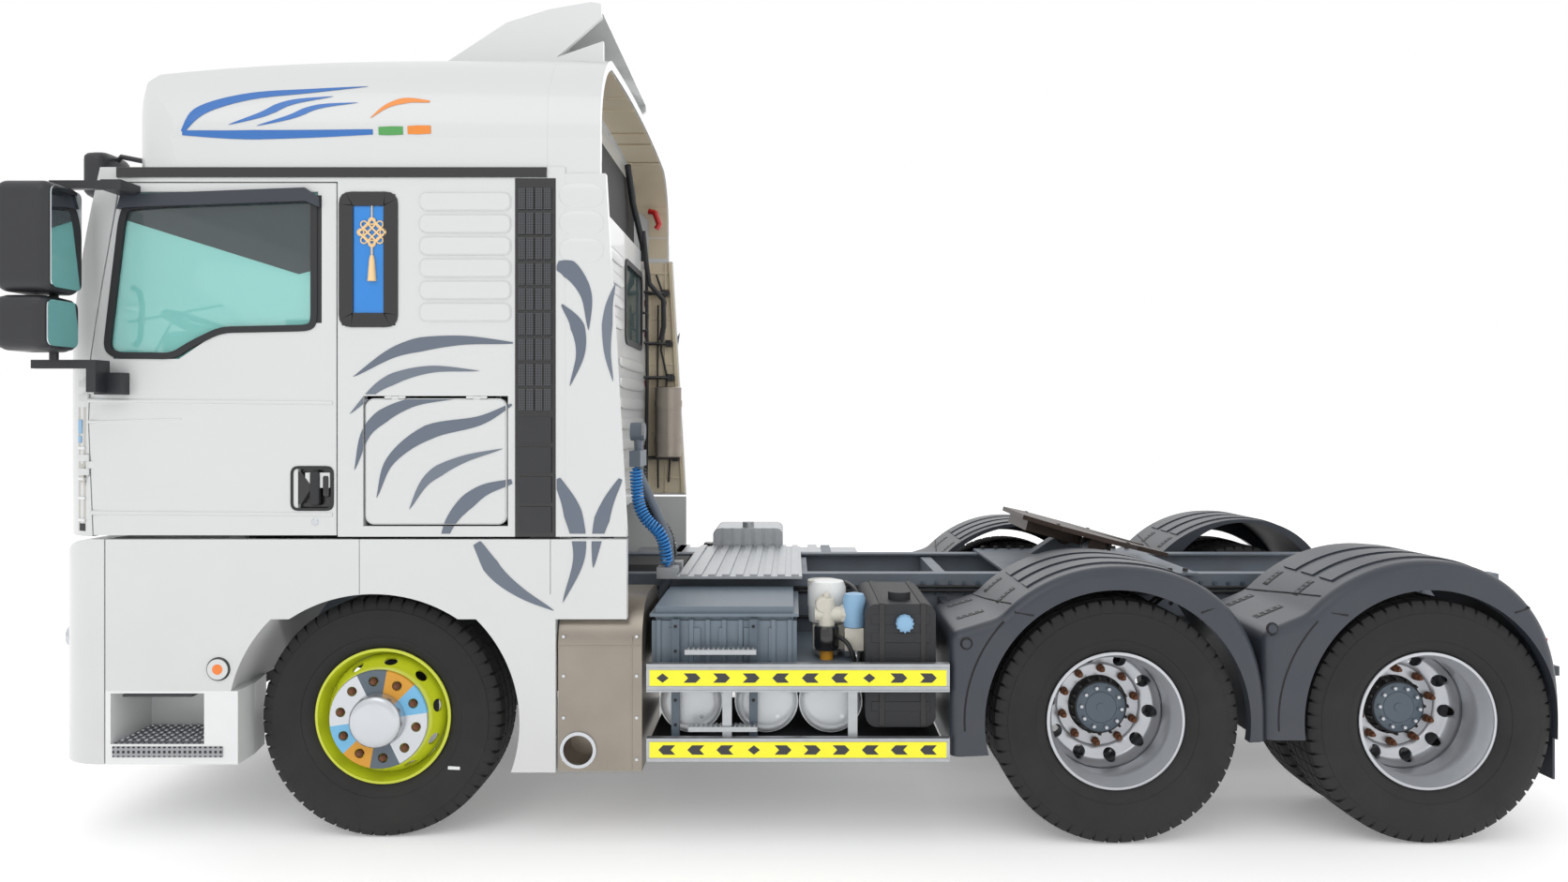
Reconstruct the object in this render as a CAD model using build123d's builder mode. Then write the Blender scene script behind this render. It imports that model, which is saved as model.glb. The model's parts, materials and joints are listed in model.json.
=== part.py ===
from build123d import *
import os

os.makedirs("parts", exist_ok=True)

# Tractor unit, 6x4, cab over engine.  Millimetres.  X runs from the cab's front (-) to the
# tail (+), Y from the driver's side (-) to the far side (+), Z is up and the road is Z = 0.

# ---------------------------------------------------------------- driving sizes
FRONT_OVERHANG = 1450.0
WHEELBASE = 3200.0
BOGIE_SPACING = 1350.0
REAR_OVERHANG = 850.0
OVERALL_LENGTH = FRONT_OVERHANG + WHEELBASE + BOGIE_SPACING + REAR_OVERHANG
FRONT_X = -OVERALL_LENGTH / 2
REAR_X = OVERALL_LENGTH / 2
STEER_X = FRONT_X + FRONT_OVERHANG
DRIVE_1_X = STEER_X + WHEELBASE
DRIVE_2_X = DRIVE_1_X + BOGIE_SPACING

SEAT_GAP = 0.3          # left between pieces that rest on each other
PANEL_GAP = 6.0         # shut line round a door, hatch or flap
RUNNING_GAP = 0.08      # radial play of a pin in its bore

# wheels and tyres
TYRE_DIAMETER = 1060.0
TYRE_WIDTH = 295.0
AXLE_Z = TYRE_DIAMETER / 2
BEAD_R = 286.0
FLANGE_R = 298.5
RIM_WIDTH = 235.0
RIM_WALL = 14.0
RIM_LIP = 12.0
STEER_TRACK = 2050.0
TWIN_TRACK = 1875.0     # to the middle of each twin pair
TWIN_SPACING = 325.0
DISC_WALL = 14.0
NUT_CIRCLE_R = 167.5
NUT_COUNT = 10
NUT_R = 16.0
NUT_LENGTH = 34.0
VENT_COUNT = 10
HUB_R = 140.0
SPINDLE_R = 40.0
DRIVE_SPINDLE_R = 60.0

# chassis frame
RAIL_OUTER_Y = 430.0
RAIL_TOP_Z = 1050.0
RAIL_HEIGHT = 300.0
RAIL_WEB = 10.0
RAIL_FLANGE = 80.0
RAIL_FRONT_X = FRONT_X + 275.0
RAIL_BOTTOM_Z = RAIL_TOP_Z - RAIL_HEIGHT
RAIL_INNER_Y = RAIL_OUTER_Y - RAIL_WEB
FLANGE_INNER_Y = RAIL_OUTER_Y - RAIL_FLANGE

# cab
CAB_WIDTH = 2490.0
CAB_LENGTH = 2275.0
CAB_BOTTOM_Z = 1332.0
CAB_TOP_Z = 2921.0
CAB_WALL = 45.0
CAB_CORNER_R = 280.0
CAB_FRONT_BOW = 40.0
CAB_HALF = CAB_WIDTH / 2
CAB_REAR_X = FRONT_X + CAB_LENGTH
SCREEN_BASE_Z = 1930.0
SCREEN_BASE_BACK = 25.0
SCREEN_TOP_BACK = 275.0
PIVOT_X = FRONT_X + 225.0
PIVOT_Z = 1100.0
PIVOT_PIN_R = 20.0
HINGE_PIN_R = 4.0
HINGE_BARREL_R = 7.0
HINGE_LENGTH = 90.0
HINGE_LEAF = 36.0
HINGE_IN = 7.0          # a barrel hinge's axis, in from the panel's outer face
HINGE_OVER = 4.0        # and above the top of the panel that it carries
LIFT_GAP = 10.0         # shut line along the top of a panel that lifts


def save(builder, label):
    """Label a finished piece and write its STEP file."""
    builder.part.label = label
    export_step(builder.part, "parts/" + label + ".step")


def mirrored(source, label):
    """Write the far-side twin of a driver's-side piece."""
    with BuildPart() as twin:
        mirror(source.part, about=Plane.XZ)
    save(twin, label)


def slab(points, y_inner, thickness):
    """A plate on the driver's side: its X-Z outline, inner face and thickness."""
    with BuildPart() as plate:
        with BuildSketch(Plane.XZ.offset(y_inner)):
            with BuildLine():
                Polyline(points, close=True)
            make_face()
        extrude(amount=thickness)
    return plate.part


def block(x, y, z):
    """A box from its low and high limits along each axis."""
    with BuildPart() as made:
        with Locations(((x[0] + x[1]) / 2, (y[0] + y[1]) / 2, (z[0] + z[1]) / 2)):
            Box(x[1] - x[0], y[1] - y[0], z[1] - z[0])
    return made.part


def hinge(frame, foot_deep=0.0):
    """A barrel hinge in its own plane: z runs along the pin, x towards the leaf that moves.

    Gives the fixed half with its pin, the moving half with its bore, and the room both need.
    """
    knuckle = HINGE_LENGTH / 3
    with BuildPart() as fixed:
        Cylinder(HINGE_PIN_R, HINGE_LENGTH)
        for end in (1, -1):
            with Locations((0, 0, end * knuckle)):
                Cylinder(HINGE_BARREL_R, knuckle - 2)
            with Locations((-HINGE_LEAF / 2, 0, end * knuckle)):
                Box(HINGE_LEAF, HINGE_PIN_R * 2, knuckle - 2)
            if foot_deep:
                with Locations((-HINGE_LEAF / 2 - HINGE_BARREL_R / 2, foot_deep / 2, end * knuckle)):
                    Box(HINGE_LEAF - HINGE_BARREL_R, foot_deep, knuckle - 2)
    with BuildPart() as moving:
        Cylinder(HINGE_BARREL_R, knuckle)
        with Locations((HINGE_LEAF / 2, 0, 0)):
            Box(HINGE_LEAF, HINGE_PIN_R * 2, knuckle)
        Cylinder(HINGE_PIN_R + RUNNING_GAP, knuckle + 1, mode=Mode.SUBTRACT)
    with BuildPart() as room:
        Cylinder(HINGE_BARREL_R + 2.5, HINGE_LENGTH + 4)
    return [frame.location * made.part for made in (fixed, moving, room)]


def both_sides(shape):
    """The shape and its mirror image across the middle of the vehicle."""
    with BuildPart() as pair:
        add(shape)
        mirror(shape, about=Plane.XZ)
    return pair.part


# ---------------------------------------------------------------- wheels
def ring(profile, axle_x, y_middle):
    """Turn a closed (radius, outboard distance) outline round a driver's-side wheel axis."""
    with BuildPart() as turned:
        with BuildSketch(Plane.XY.offset(AXLE_Z)):
            with BuildLine():
                Polyline([(axle_x + r, -y_middle - out) for r, out in profile], close=True)
            make_face()
        revolve(axis=Axis((axle_x, 0, AXLE_Z), (0, 1, 0)))
    return turned.part


def tyre(axle_x, y_middle):
    """One tyre, closed at its bead seat."""
    half = TYRE_WIDTH / 2
    seat = RIM_WIDTH / 2 - RIM_LIP - SEAT_GAP
    tread_half = half * 0.81
    bulge_r = (BEAD_R + AXLE_Z) / 2
    profile = [(BEAD_R, -seat), (FLANGE_R + 8, -seat), (bulge_r, -half), (AXLE_Z, -tread_half),
               (AXLE_Z, tread_half), (bulge_r, half), (FLANGE_R + 8, seat), (BEAD_R, seat)]
    return ring(profile, axle_x, y_middle)


def barrel(axle_x, y_middle):
    """The rim's tube with its two flanges."""
    half = RIM_WIDTH / 2
    inner_r = BEAD_R - SEAT_GAP - RIM_WALL
    seat_r = BEAD_R - SEAT_GAP
    profile = [(inner_r, -half), (FLANGE_R, -half), (FLANGE_R, -half + RIM_LIP), (seat_r, -half + RIM_LIP),
               (seat_r, half - RIM_LIP), (FLANGE_R, half - RIM_LIP), (FLANGE_R, half), (inner_r, half)]
    return ring(profile, axle_x, y_middle)


STEER_Y = STEER_TRACK / 2
FRONT_DISC_OUT = 150.0     # outer face of the front disc, outboard of the tyre's middle
FRONT_CAP_R = 123.0
FRONT_CAP_OUT = 225.0
FRONT_VENT_R = 27.0
FRONT_VENT_CIRCLE_R = 250.0
FRONT_DRUM_R = 190.0
FRONT_HUB_IN = -65.0
COVER_R = 215.0
COVER_OUT = FRONT_DISC_OUT + 18.0

KINGPIN_Y = 870.0
KINGPIN_R = 22.0
BOSS_R = 45.0
BOSS_HALF = 62.0
LUG_GAP = 2.0
LUG_HEIGHT = 40.0
ARM_HEIGHT = 30.0
KNUCKLE_PLATE_Y = 925.0
KNUCKLE_PLATE = 30.0
SPINDLE_END_Y = STEER_Y + 55.0

for side, label in ((1, "left"), (-1, "right")):
    with BuildPart() as steer_tyre:
        add(tyre(STEER_X, STEER_Y))
        if side < 0:
            mirror(about=Plane.XZ, mode=Mode.REPLACE)
    save(steer_tyre, "tyre_front_" + label)

    inner_r = BEAD_R - SEAT_GAP - RIM_WALL
    disc_profile = [(inner_r + 4, 62), (inner_r - 24, 118), (COVER_R, FRONT_DISC_OUT),
                    (HUB_R - 20, FRONT_DISC_OUT),
                    (HUB_R - 20, FRONT_DISC_OUT - DISC_WALL), (COVER_R - 6, FRONT_DISC_OUT - DISC_WALL),
                    (inner_r - 38, 108), (inner_r + 4, 34)]
    hub_profile = [(SPINDLE_R + 0.1, FRONT_HUB_IN), (FRONT_DRUM_R, FRONT_HUB_IN), (FRONT_DRUM_R, 20),
                   (HUB_R, 40),
                   (HUB_R, COVER_OUT), (FRONT_CAP_R, COVER_OUT), (FRONT_CAP_R - 6, FRONT_CAP_OUT - 14),
                   (FRONT_CAP_R - 30, FRONT_CAP_OUT), (0, FRONT_CAP_OUT), (0, 60), (SPINDLE_R + 0.1, 60)]
    cover_profile = [(HUB_R - 10, FRONT_DISC_OUT), (COVER_R, FRONT_DISC_OUT), (COVER_R, COVER_OUT),
                     (HUB_R - 10, COVER_OUT)]
    disc_ring = ring(disc_profile, STEER_X, STEER_Y)
    hub_ring = ring(hub_profile, STEER_X, STEER_Y)
    cover_ring = ring(cover_profile, STEER_X, STEER_Y)
    barrel_ring = barrel(STEER_X, STEER_Y)
    with BuildPart() as steer_rim:
        add(barrel_ring)
        add(disc_ring)
        with Locations(Plane.XZ.offset(STEER_Y) * Location((STEER_X, AXLE_Z, 0))):
            with PolarLocations(FRONT_VENT_CIRCLE_R, VENT_COUNT):
                Cylinder(FRONT_VENT_R, 2 * FRONT_DISC_OUT, mode=Mode.SUBTRACT)
        add(hub_ring)
        add(cover_ring)
        with Locations(Plane.XZ.offset(STEER_Y + COVER_OUT) * Location((STEER_X, AXLE_Z, 0))):
            with PolarLocations(NUT_CIRCLE_R, NUT_COUNT):
                Cylinder(NUT_R, NUT_LENGTH, align=(Align.CENTER, Align.CENTER, Align.MIN))
        if side < 0:
            mirror(about=Plane.XZ, mode=Mode.REPLACE)
    save(steer_rim, "rim_front_" + label)

    with BuildPart() as knuckle:
        with BuildSketch(Plane.XZ.offset(KNUCKLE_PLATE_Y)):
            with Locations((STEER_X, AXLE_Z)):
                RectangleRounded(150, 2 * (BOSS_HALF + LUG_GAP + LUG_HEIGHT), 30)
        extrude(amount=KNUCKLE_PLATE)
        for low in (BOSS_HALF + LUG_GAP, -BOSS_HALF - LUG_GAP - LUG_HEIGHT):
            with BuildSketch(Plane.XY.offset(AXLE_Z + low)):
                with Locations((STEER_X, -KINGPIN_Y)):
                    Circle(BOSS_R)
                with Locations((STEER_X, -(KINGPIN_Y + KNUCKLE_PLATE_Y + 4) / 2)):
                    Rectangle(2 * BOSS_R, KNUCKLE_PLATE_Y - KINGPIN_Y + 4)
            extrude(amount=LUG_HEIGHT)
        with Locations((STEER_X, -KINGPIN_Y, AXLE_Z)):
            Cylinder(KINGPIN_R, 2 * (BOSS_HALF + LUG_GAP + LUG_HEIGHT) - 4)
        with Locations(Plane.XZ.offset(KNUCKLE_PLATE_Y) * Location((STEER_X, AXLE_Z, 0))):
            Cylinder(SPINDLE_R, SPINDLE_END_Y - KNUCKLE_PLATE_Y,
                     align=(Align.CENTER, Align.CENTER, Align.MIN))
        # track-rod arm, from the lower lug towards the rear
        with BuildSketch(Plane.XY.offset(AXLE_Z - BOSS_HALF - LUG_GAP - LUG_HEIGHT - ARM_HEIGHT)):
            with BuildLine():
                Polyline((STEER_X - 30, -KINGPIN_Y + 20), (STEER_X, -KINGPIN_Y - 30),
                         (STEER_X + 190, -KINGPIN_Y + 35),
                         (STEER_X + 190, -KINGPIN_Y + 85), (STEER_X, -KINGPIN_Y + 30), close=True)
            make_face()
        extrude(amount=ARM_HEIGHT)
        if side < 0:
            mirror(about=Plane.XZ, mode=Mode.REPLACE)
    save(knuckle, "knuckle_" + label)

TWIN_Y = TWIN_TRACK / 2
OUTER_TWIN_Y = TWIN_Y + TWIN_SPACING / 2
INNER_TWIN_Y = TWIN_Y - TWIN_SPACING / 2
REAR_VENT_R = 29.0
REAR_VENT_CIRCLE_R = 218.0
REAR_DRUM_R = 205.0
REAR_DRUM_INNER_Y = TWIN_Y - 245.0
AXLE_PLATE_R = 113.0
AXLE_PLATE_OUT = 42.0

for axle_number, axle_x in ((1, DRIVE_1_X), (2, DRIVE_2_X)):
    outer_tyre = tyre(axle_x, OUTER_TWIN_Y)
    inner_tyre = tyre(axle_x, INNER_TWIN_Y)
    inner_r = BEAD_R - SEAT_GAP - RIM_WALL
    outboard = TWIN_SPACING / 2
    # each disc dishes from the inner edge of its own barrel to the face it shares with its twin
    dish = [(inner_r + 4, -78), (inner_r - 22, -112), (REAR_VENT_CIRCLE_R - 30, -outboard + DISC_WALL),
            (HUB_R - 4, -outboard + DISC_WALL), (HUB_R - 4, -outboard),
            (REAR_VENT_CIRCLE_R - 26, -outboard),
            (inner_r - 6, -118), (inner_r + 4, -104)]
    outer_dish = ring(dish, axle_x, OUTER_TWIN_Y)
    inner_dish = ring([(r, -out) for r, out in dish], axle_x, INNER_TWIN_Y)
    outer_barrel = barrel(axle_x, OUTER_TWIN_Y)
    inner_barrel = barrel(axle_x, INNER_TWIN_Y)
    drum_in = REAR_DRUM_INNER_Y - TWIN_Y
    hub = ring([(DRIVE_SPINDLE_R + 0.1, drum_in), (REAR_DRUM_R, drum_in), (REAR_DRUM_R, -DISC_WALL - 8),
                (HUB_R, -DISC_WALL - 8), (HUB_R, DISC_WALL), (AXLE_PLATE_R + 8, DISC_WALL),
                (AXLE_PLATE_R, AXLE_PLATE_OUT), (0, AXLE_PLATE_OUT), (0, 8), (DRIVE_SPINDLE_R + 0.1, 8)],
               axle_x, TWIN_Y)
    for side, label in ((1, "left"), (-1, "right")):
        with BuildPart() as twin_tyres:
            add(outer_tyre)
            add(inner_tyre)
            if side < 0:
                mirror(about=Plane.XZ, mode=Mode.REPLACE)
        save(twin_tyres, "tyres_drive_" + str(axle_number) + "_" + label)
        with BuildPart() as twin_rims:
            add(outer_dish)
            add(inner_dish)
            with Locations(Plane.XZ.offset(TWIN_Y) * Location((axle_x, AXLE_Z, 0))):
                with PolarLocations(REAR_VENT_CIRCLE_R, VENT_COUNT):
                    Cylinder(REAR_VENT_R, TWIN_SPACING, mode=Mode.SUBTRACT)
            add(outer_barrel)
            add(inner_barrel)
            add(hub)
            with Locations(Plane.XZ.offset(TWIN_Y + DISC_WALL) * Location((axle_x, AXLE_Z, 0))):
                with PolarLocations(NUT_CIRCLE_R, NUT_COUNT):
                    Cylinder(NUT_R, NUT_LENGTH, align=(Align.CENTER, Align.CENTER, Align.MIN))
            if side < 0:
                mirror(about=Plane.XZ, mode=Mode.REPLACE)
        save(twin_rims, "rims_drive_" + str(axle_number) + "_" + label)

# ---------------------------------------------------------------- chassis frame
CROSS_THICK = 60.0
CROSS_LOW_Z = RAIL_TOP_Z - 170.0
CROSS_HIGH_Z = RAIL_TOP_Z - 20.0
# where each crossmember stands: its middle along X
CROSSMEMBER_XS = (RAIL_FRONT_X + 35, STEER_X + 1250, STEER_X + 1850, DRIVE_1_X - 620,
                  (DRIVE_1_X + DRIVE_2_X) / 2, DRIVE_2_X + 480, REAR_X - 35)
TOWER_Y = (RAIL_OUTER_Y, RAIL_OUTER_Y + 20)
CAB_ARM_Y = (TOWER_Y[1] + 6, TOWER_Y[1] + 41)
TOWER_R = 45.0
REAR_POST_X = CAB_REAR_X - 110.0
REAR_POST_HALF = 40.0

RAIL_HOLE_R = 8.75      # clears an M16 bolt
RAIL_HOLES_X = (REAR_X - 235, REAR_X - 165)

with BuildPart() as rail:
    with BuildSketch(Plane.YZ.offset(RAIL_FRONT_X)):
        with BuildLine():
            Polyline((-RAIL_OUTER_Y, RAIL_BOTTOM_Z), (-RAIL_OUTER_Y, RAIL_TOP_Z),
                     (-FLANGE_INNER_Y, RAIL_TOP_Z),
                     (-FLANGE_INNER_Y, RAIL_TOP_Z - RAIL_WEB), (-RAIL_INNER_Y, RAIL_TOP_Z - RAIL_WEB),
                     (-RAIL_INNER_Y, RAIL_BOTTOM_Z + RAIL_WEB), (-FLANGE_INNER_Y, RAIL_BOTTOM_Z + RAIL_WEB),
                     (-FLANGE_INNER_Y, RAIL_BOTTOM_Z), close=True)
        make_face()
    extrude(amount=REAR_X - RAIL_FRONT_X)
    # hinge tower of the tilting cab and the post under the cab's rear corner
    with BuildSketch(Plane.XZ.offset(TOWER_Y[0])):
        with BuildLine():
            Polyline((PIVOT_X - TOWER_R, PIVOT_Z), (PIVOT_X + TOWER_R, PIVOT_Z),
                     (RAIL_FRONT_X + 160, RAIL_TOP_Z - 20),
                     (RAIL_FRONT_X + 160, RAIL_BOTTOM_Z + 30), (PIVOT_X + 20, RAIL_BOTTOM_Z + 60),
                     close=True)
        make_face()
        with Locations((PIVOT_X, PIVOT_Z)):
            Circle(TOWER_R)
    extrude(amount=TOWER_Y[1] - TOWER_Y[0])
    with Locations(Plane.XZ.offset(TOWER_Y[0] + 1) * Location((PIVOT_X, PIVOT_Z, 0))):
        Cylinder(PIVOT_PIN_R, CAB_ARM_Y[1] - TOWER_Y[0] + 8, align=(Align.CENTER, Align.CENTER, Align.MIN))
    add(block((REAR_POST_X - REAR_POST_HALF, REAR_POST_X + REAR_POST_HALF),
              (-RAIL_OUTER_Y, -FLANGE_INNER_Y), (RAIL_TOP_Z - 5, CAB_BOTTOM_Z - SEAT_GAP)))
    for hole_x in RAIL_HOLES_X:
        with Locations(Plane.XZ.offset(RAIL_INNER_Y - 5) * Location((hole_x, RAIL_TOP_Z - 60, 0))):
            Cylinder(RAIL_HOLE_R, 2 * RAIL_WEB + 10, align=(Align.CENTER, Align.CENTER, Align.MIN),
                     mode=Mode.SUBTRACT)
rails = both_sides(rail.part)

with BuildPart() as frame_rails:
    add(rails)
    for cross_x in CROSSMEMBER_XS:
        with Locations((cross_x, 0, (CROSS_LOW_Z + CROSS_HIGH_Z) / 2)):
            Box(CROSS_THICK, 2 * RAIL_INNER_Y + 2, CROSS_HIGH_Z - CROSS_LOW_Z)
save(frame_rails, "frame_rails")

# ---------------------------------------------------------------- axles, springs, driveline
BEAM_HALF_X = 45.0
BEAM_LOW_Z = AXLE_Z - 95.0
BEAM_HIGH_Z = AXLE_Z
SPRING_Y = 395.0
SPRING_WIDTH = 80.0
SPRING_THICK = 60.0
FRONT_SPRING_HALF = 760.0
REAR_SPRING_HALF = 560.0

with BuildPart() as front_axle:
    with Locations((STEER_X, 0, (BEAM_LOW_Z + BEAM_HIGH_Z) / 2)):
        Box(2 * BEAM_HALF_X, 2 * (KINGPIN_Y - BOSS_R - 30), BEAM_HIGH_Z - BEAM_LOW_Z)
    for side in (1, -1):
        with Locations((STEER_X, side * (KINGPIN_Y - 50), AXLE_Z)):
            Box(2 * BEAM_HALF_X - 20, 90, 2 * BOSS_HALF - 10)
        with Locations((STEER_X, side * KINGPIN_Y, AXLE_Z)):
            Cylinder(BOSS_R, 2 * BOSS_HALF)
            Cylinder(KINGPIN_R + RUNNING_GAP, 2 * BOSS_HALF + 2, mode=Mode.SUBTRACT)
    edges_to_ease = front_axle.edges().filter_by(Axis.Y).filter_by(lambda e: e.length > 1000)
    chamfer(edges_to_ease, 12)
save(front_axle, "front_axle")


def leaf_pack(middle_x, half_length, seat_z, end_z):
    """A leaf pack on the driver's side: a shallow bow that rests on its axle seat."""
    with BuildPart() as pack:
        with BuildSketch(Plane.XZ.offset(SPRING_Y - SPRING_WIDTH / 2)):
            with BuildLine():
                ThreePointArc((middle_x - half_length, end_z), (middle_x, seat_z),
                              (middle_x + half_length, end_z))
                Line((middle_x + half_length, end_z), (middle_x + half_length, end_z + 22))
                ThreePointArc((middle_x + half_length, end_z + 22), (middle_x, seat_z + SPRING_THICK),
                              (middle_x - half_length, end_z + 22))
                Line((middle_x - half_length, end_z + 22), (middle_x - half_length, end_z))
            make_face()
        extrude(amount=SPRING_WIDTH)
        # hangers from the rail's lower flange down to the spring's two eyes
        for end in (-1, 1):
            eye_x = middle_x + end * (half_length - 30)
            with Locations((eye_x, -SPRING_Y, (end_z - 20 + RAIL_BOTTOM_Z) / 2)):
                Box(70, SPRING_WIDTH + 10, RAIL_BOTTOM_Z - end_z + 20)
        # clamp plates at the seat
        with Locations((middle_x, -SPRING_Y, seat_z + SPRING_THICK / 2)):
            Box(130, SPRING_WIDTH + 24, SPRING_THICK + 20)
    return pack.part


FRONT_SPRING_SEAT_Z = BEAM_HIGH_Z + 10 + SEAT_GAP
DRIVE_TUBE_R = 75.0
REAR_SPRING_SEAT_Z = AXLE_Z + DRIVE_TUBE_R + 10 + SEAT_GAP
front_pack = leaf_pack(STEER_X, FRONT_SPRING_HALF, FRONT_SPRING_SEAT_Z, 650)
rear_packs = [leaf_pack(axle_x, REAR_SPRING_HALF, REAR_SPRING_SEAT_Z, 680) for axle_x in (DRIVE_1_X,
                                                                                          DRIVE_2_X)]
with BuildPart() as leaf_springs:
    for spring in [front_pack] + rear_packs:
        add(spring)
        mirror(spring, about=Plane.XZ)
save(leaf_springs, "leaf_springs")

DIFF_R = 215.0
NOSE_REACH = 355.0       # from a drive axle's middle to the face of its differential's nose
SHAFT_END_Z = AXLE_Z + 40.0
with BuildPart() as drive_axles:
    for axle_x in (DRIVE_1_X, DRIVE_2_X):
        with Locations((axle_x, 0, AXLE_Z)):
            Cylinder(DRIVE_TUBE_R, 2 * (REAR_DRUM_INNER_Y - 6), rotation=(90, 0, 0))
            Cylinder(DRIVE_SPINDLE_R, 2 * (TWIN_Y - 6), rotation=(90, 0, 0))
            Sphere(DIFF_R)
        with Locations((axle_x - NOSE_REACH, 0, SHAFT_END_Z)):
            Cylinder(105, 330, rotation=(0, 90, 0), align=(Align.CENTER, Align.CENTER, Align.MIN))
save(drive_axles, "drive_axles")

ENGINE_X = (STEER_X - 740, STEER_X + 440)
ENGINE_HALF_WIDTH = 335.0
ENGINE_Z = (BEAM_HIGH_Z + 30, CAB_BOTTOM_Z - 42)
with BuildPart() as engine_block:
    add(block(ENGINE_X, (-ENGINE_HALF_WIDTH, ENGINE_HALF_WIDTH), ENGINE_Z))
    chamfer(engine_block.edges().filter_by(Axis.X), 50)
    # four feet that rest on the rails' lower flanges
    for foot_x in (ENGINE_X[0] + 120, ENGINE_X[1] - 120):
        with Locations((foot_x, 0, RAIL_BOTTOM_Z + RAIL_WEB + 30)):
            Box(100, 2 * RAIL_INNER_Y - 20, 60)
save(engine_block, "engine_block")

GEARBOX_X = (ENGINE_X[1], ENGINE_X[1] + 780)
SHAFT_R = 60.0
SHAFT_Z = 800.0


def shaft_between(start, end, radius):
    """A round shaft whose axis lies in the middle plane."""
    with BuildPart() as made:
        with BuildSketch(Plane(origin=(start[0], 0, start[1]),
                               z_dir=(end[0] - start[0], 0, end[1] - start[1]))):
            Circle(radius)
        length = ((end[0] - start[0]) ** 2 + (end[1] - start[1]) ** 2) ** 0.5
        extrude(amount=length)
    return made.part


FLANGE_THICK = 24.0
front_shaft = shaft_between((GEARBOX_X[1] - 20, SHAFT_Z),
                            (DRIVE_1_X - NOSE_REACH - FLANGE_THICK, SHAFT_END_Z), SHAFT_R)
rear_shaft = shaft_between((DRIVE_1_X + DIFF_R, SHAFT_END_Z),
                           (DRIVE_2_X - NOSE_REACH - FLANGE_THICK, SHAFT_END_Z), SHAFT_R)
with BuildPart() as driveline:
    add(block(GEARBOX_X, (-235, 235), (640, RAIL_TOP_Z + 10)))
    chamfer(driveline.edges().filter_by(Axis.X), 60)
    add(front_shaft)
    add(rear_shaft)
    for axle_x in (DRIVE_1_X, DRIVE_2_X):
        with Locations((axle_x - NOSE_REACH - SEAT_GAP - FLANGE_THICK, 0, SHAFT_END_Z)):
            Cylinder(SHAFT_R + 25, FLANGE_THICK, rotation=(0, 90, 0),
                     align=(Align.CENTER, Align.CENTER, Align.MIN))
save(driveline, "driveline")

RADIATOR_X = (RAIL_FRONT_X + 75, RAIL_FRONT_X + 200)
with BuildPart() as radiator:
    add(block(RADIATOR_X, (-ENGINE_HALF_WIDTH, ENGINE_HALF_WIDTH), (450, CAB_BOTTOM_Z - 62)))
    add(block((RADIATOR_X[0] + 20, RADIATOR_X[1] - 20), (-RAIL_INNER_Y + 10, RAIL_INNER_Y - 10),
              (RAIL_BOTTOM_Z + RAIL_WEB, RAIL_BOTTOM_Z + RAIL_WEB + 50)))
save(radiator, "radiator")

# ---------------------------------------------------------------- cab envelope
def cab_envelope(inset):
    """The cab's closed outer form, every face moved inwards by the inset."""
    front = FRONT_X + inset
    rear = CAB_REAR_X - inset
    half = CAB_HALF - inset
    low = CAB_BOTTOM_Z + inset
    with BuildPart() as envelope:
        with BuildSketch(Plane.XY.offset(low)):
            with BuildLine():
                Line((rear, -half), (front + CAB_FRONT_BOW, -half))
                ThreePointArc((front + CAB_FRONT_BOW, -half), (front, 0), (front + CAB_FRONT_BOW, half))
                Line((front + CAB_FRONT_BOW, half), (rear, half))
                Line((rear, half), (rear, -half))
            corners = make_face().vertices().sort_by(Axis.X)[0:2]
            fillet(corners, CAB_CORNER_R - inset)
        extrude(amount=CAB_TOP_Z - low)
        with BuildSketch(Plane.XZ.offset(-CAB_HALF)):
            with BuildLine():
                Polyline((rear, low), (front + 20, low), (front, low + 170), (front, SCREEN_BASE_Z - 130),
                         (front + SCREEN_BASE_BACK, SCREEN_BASE_Z), (front + SCREEN_TOP_BACK, CAB_TOP_Z),
                         (rear, CAB_TOP_Z), close=True)
            make_face()
        extrude(amount=CAB_WIDTH, mode=Mode.INTERSECT)
    return envelope.part


cab_outer = cab_envelope(0)
cab_inner = cab_envelope(CAB_WALL)
with BuildPart() as cab_walls:
    add(cab_outer)
    add(cab_inner, mode=Mode.SUBTRACT)
    # the walls are open upwards, into the high roof
    with BuildSketch(Plane.XY.offset(CAB_TOP_Z - 60)):
        with Locations(((FRONT_X + SCREEN_TOP_BACK + CAB_REAR_X) / 2, 0)):
            Rectangle(CAB_LENGTH - SCREEN_TOP_BACK - 2 * CAB_WALL, CAB_WIDTH - 2 * CAB_WALL - 120)
    extrude(amount=100, mode=Mode.SUBTRACT)

# outlines on the cab's side, in X and Z
DOOR_FRONT_X = FRONT_X + 220.0
DOOR_REAR_X = FRONT_X + 1291.0
DOOR_LOW_Z = CAB_BOTTOM_Z + 6.0
DOOR_TOP_Z = 2852.0
WINDOW_TOP_Z = 2815.0
HATCH_X = (FRONT_X + 1412.0, FRONT_X + 2023.0)
HATCH_Z = (1383.0, 1927.0)
HATCH_R = 40.0
QUARTER_X = (FRONT_X + 1315.0, FRONT_X + 1545.0)
QUARTER_Z = (2240.0, 2805.0)
STRIP_X = (FRONT_X + 2060.0, FRONT_X + 2233.0)


def door_outline(grow):
    """The door's outline, grown by a shut line."""
    return [(DOOR_FRONT_X + 24 - grow, DOOR_LOW_Z - grow), (DOOR_FRONT_X - grow, 1826),
            (DOOR_FRONT_X + 12 - grow, 2108),
            (DOOR_FRONT_X + 145 - grow, DOOR_TOP_Z + grow), (DOOR_REAR_X + grow, DOOR_TOP_Z + grow),
            (DOOR_REAR_X + grow, DOOR_LOW_Z - grow)]


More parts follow.
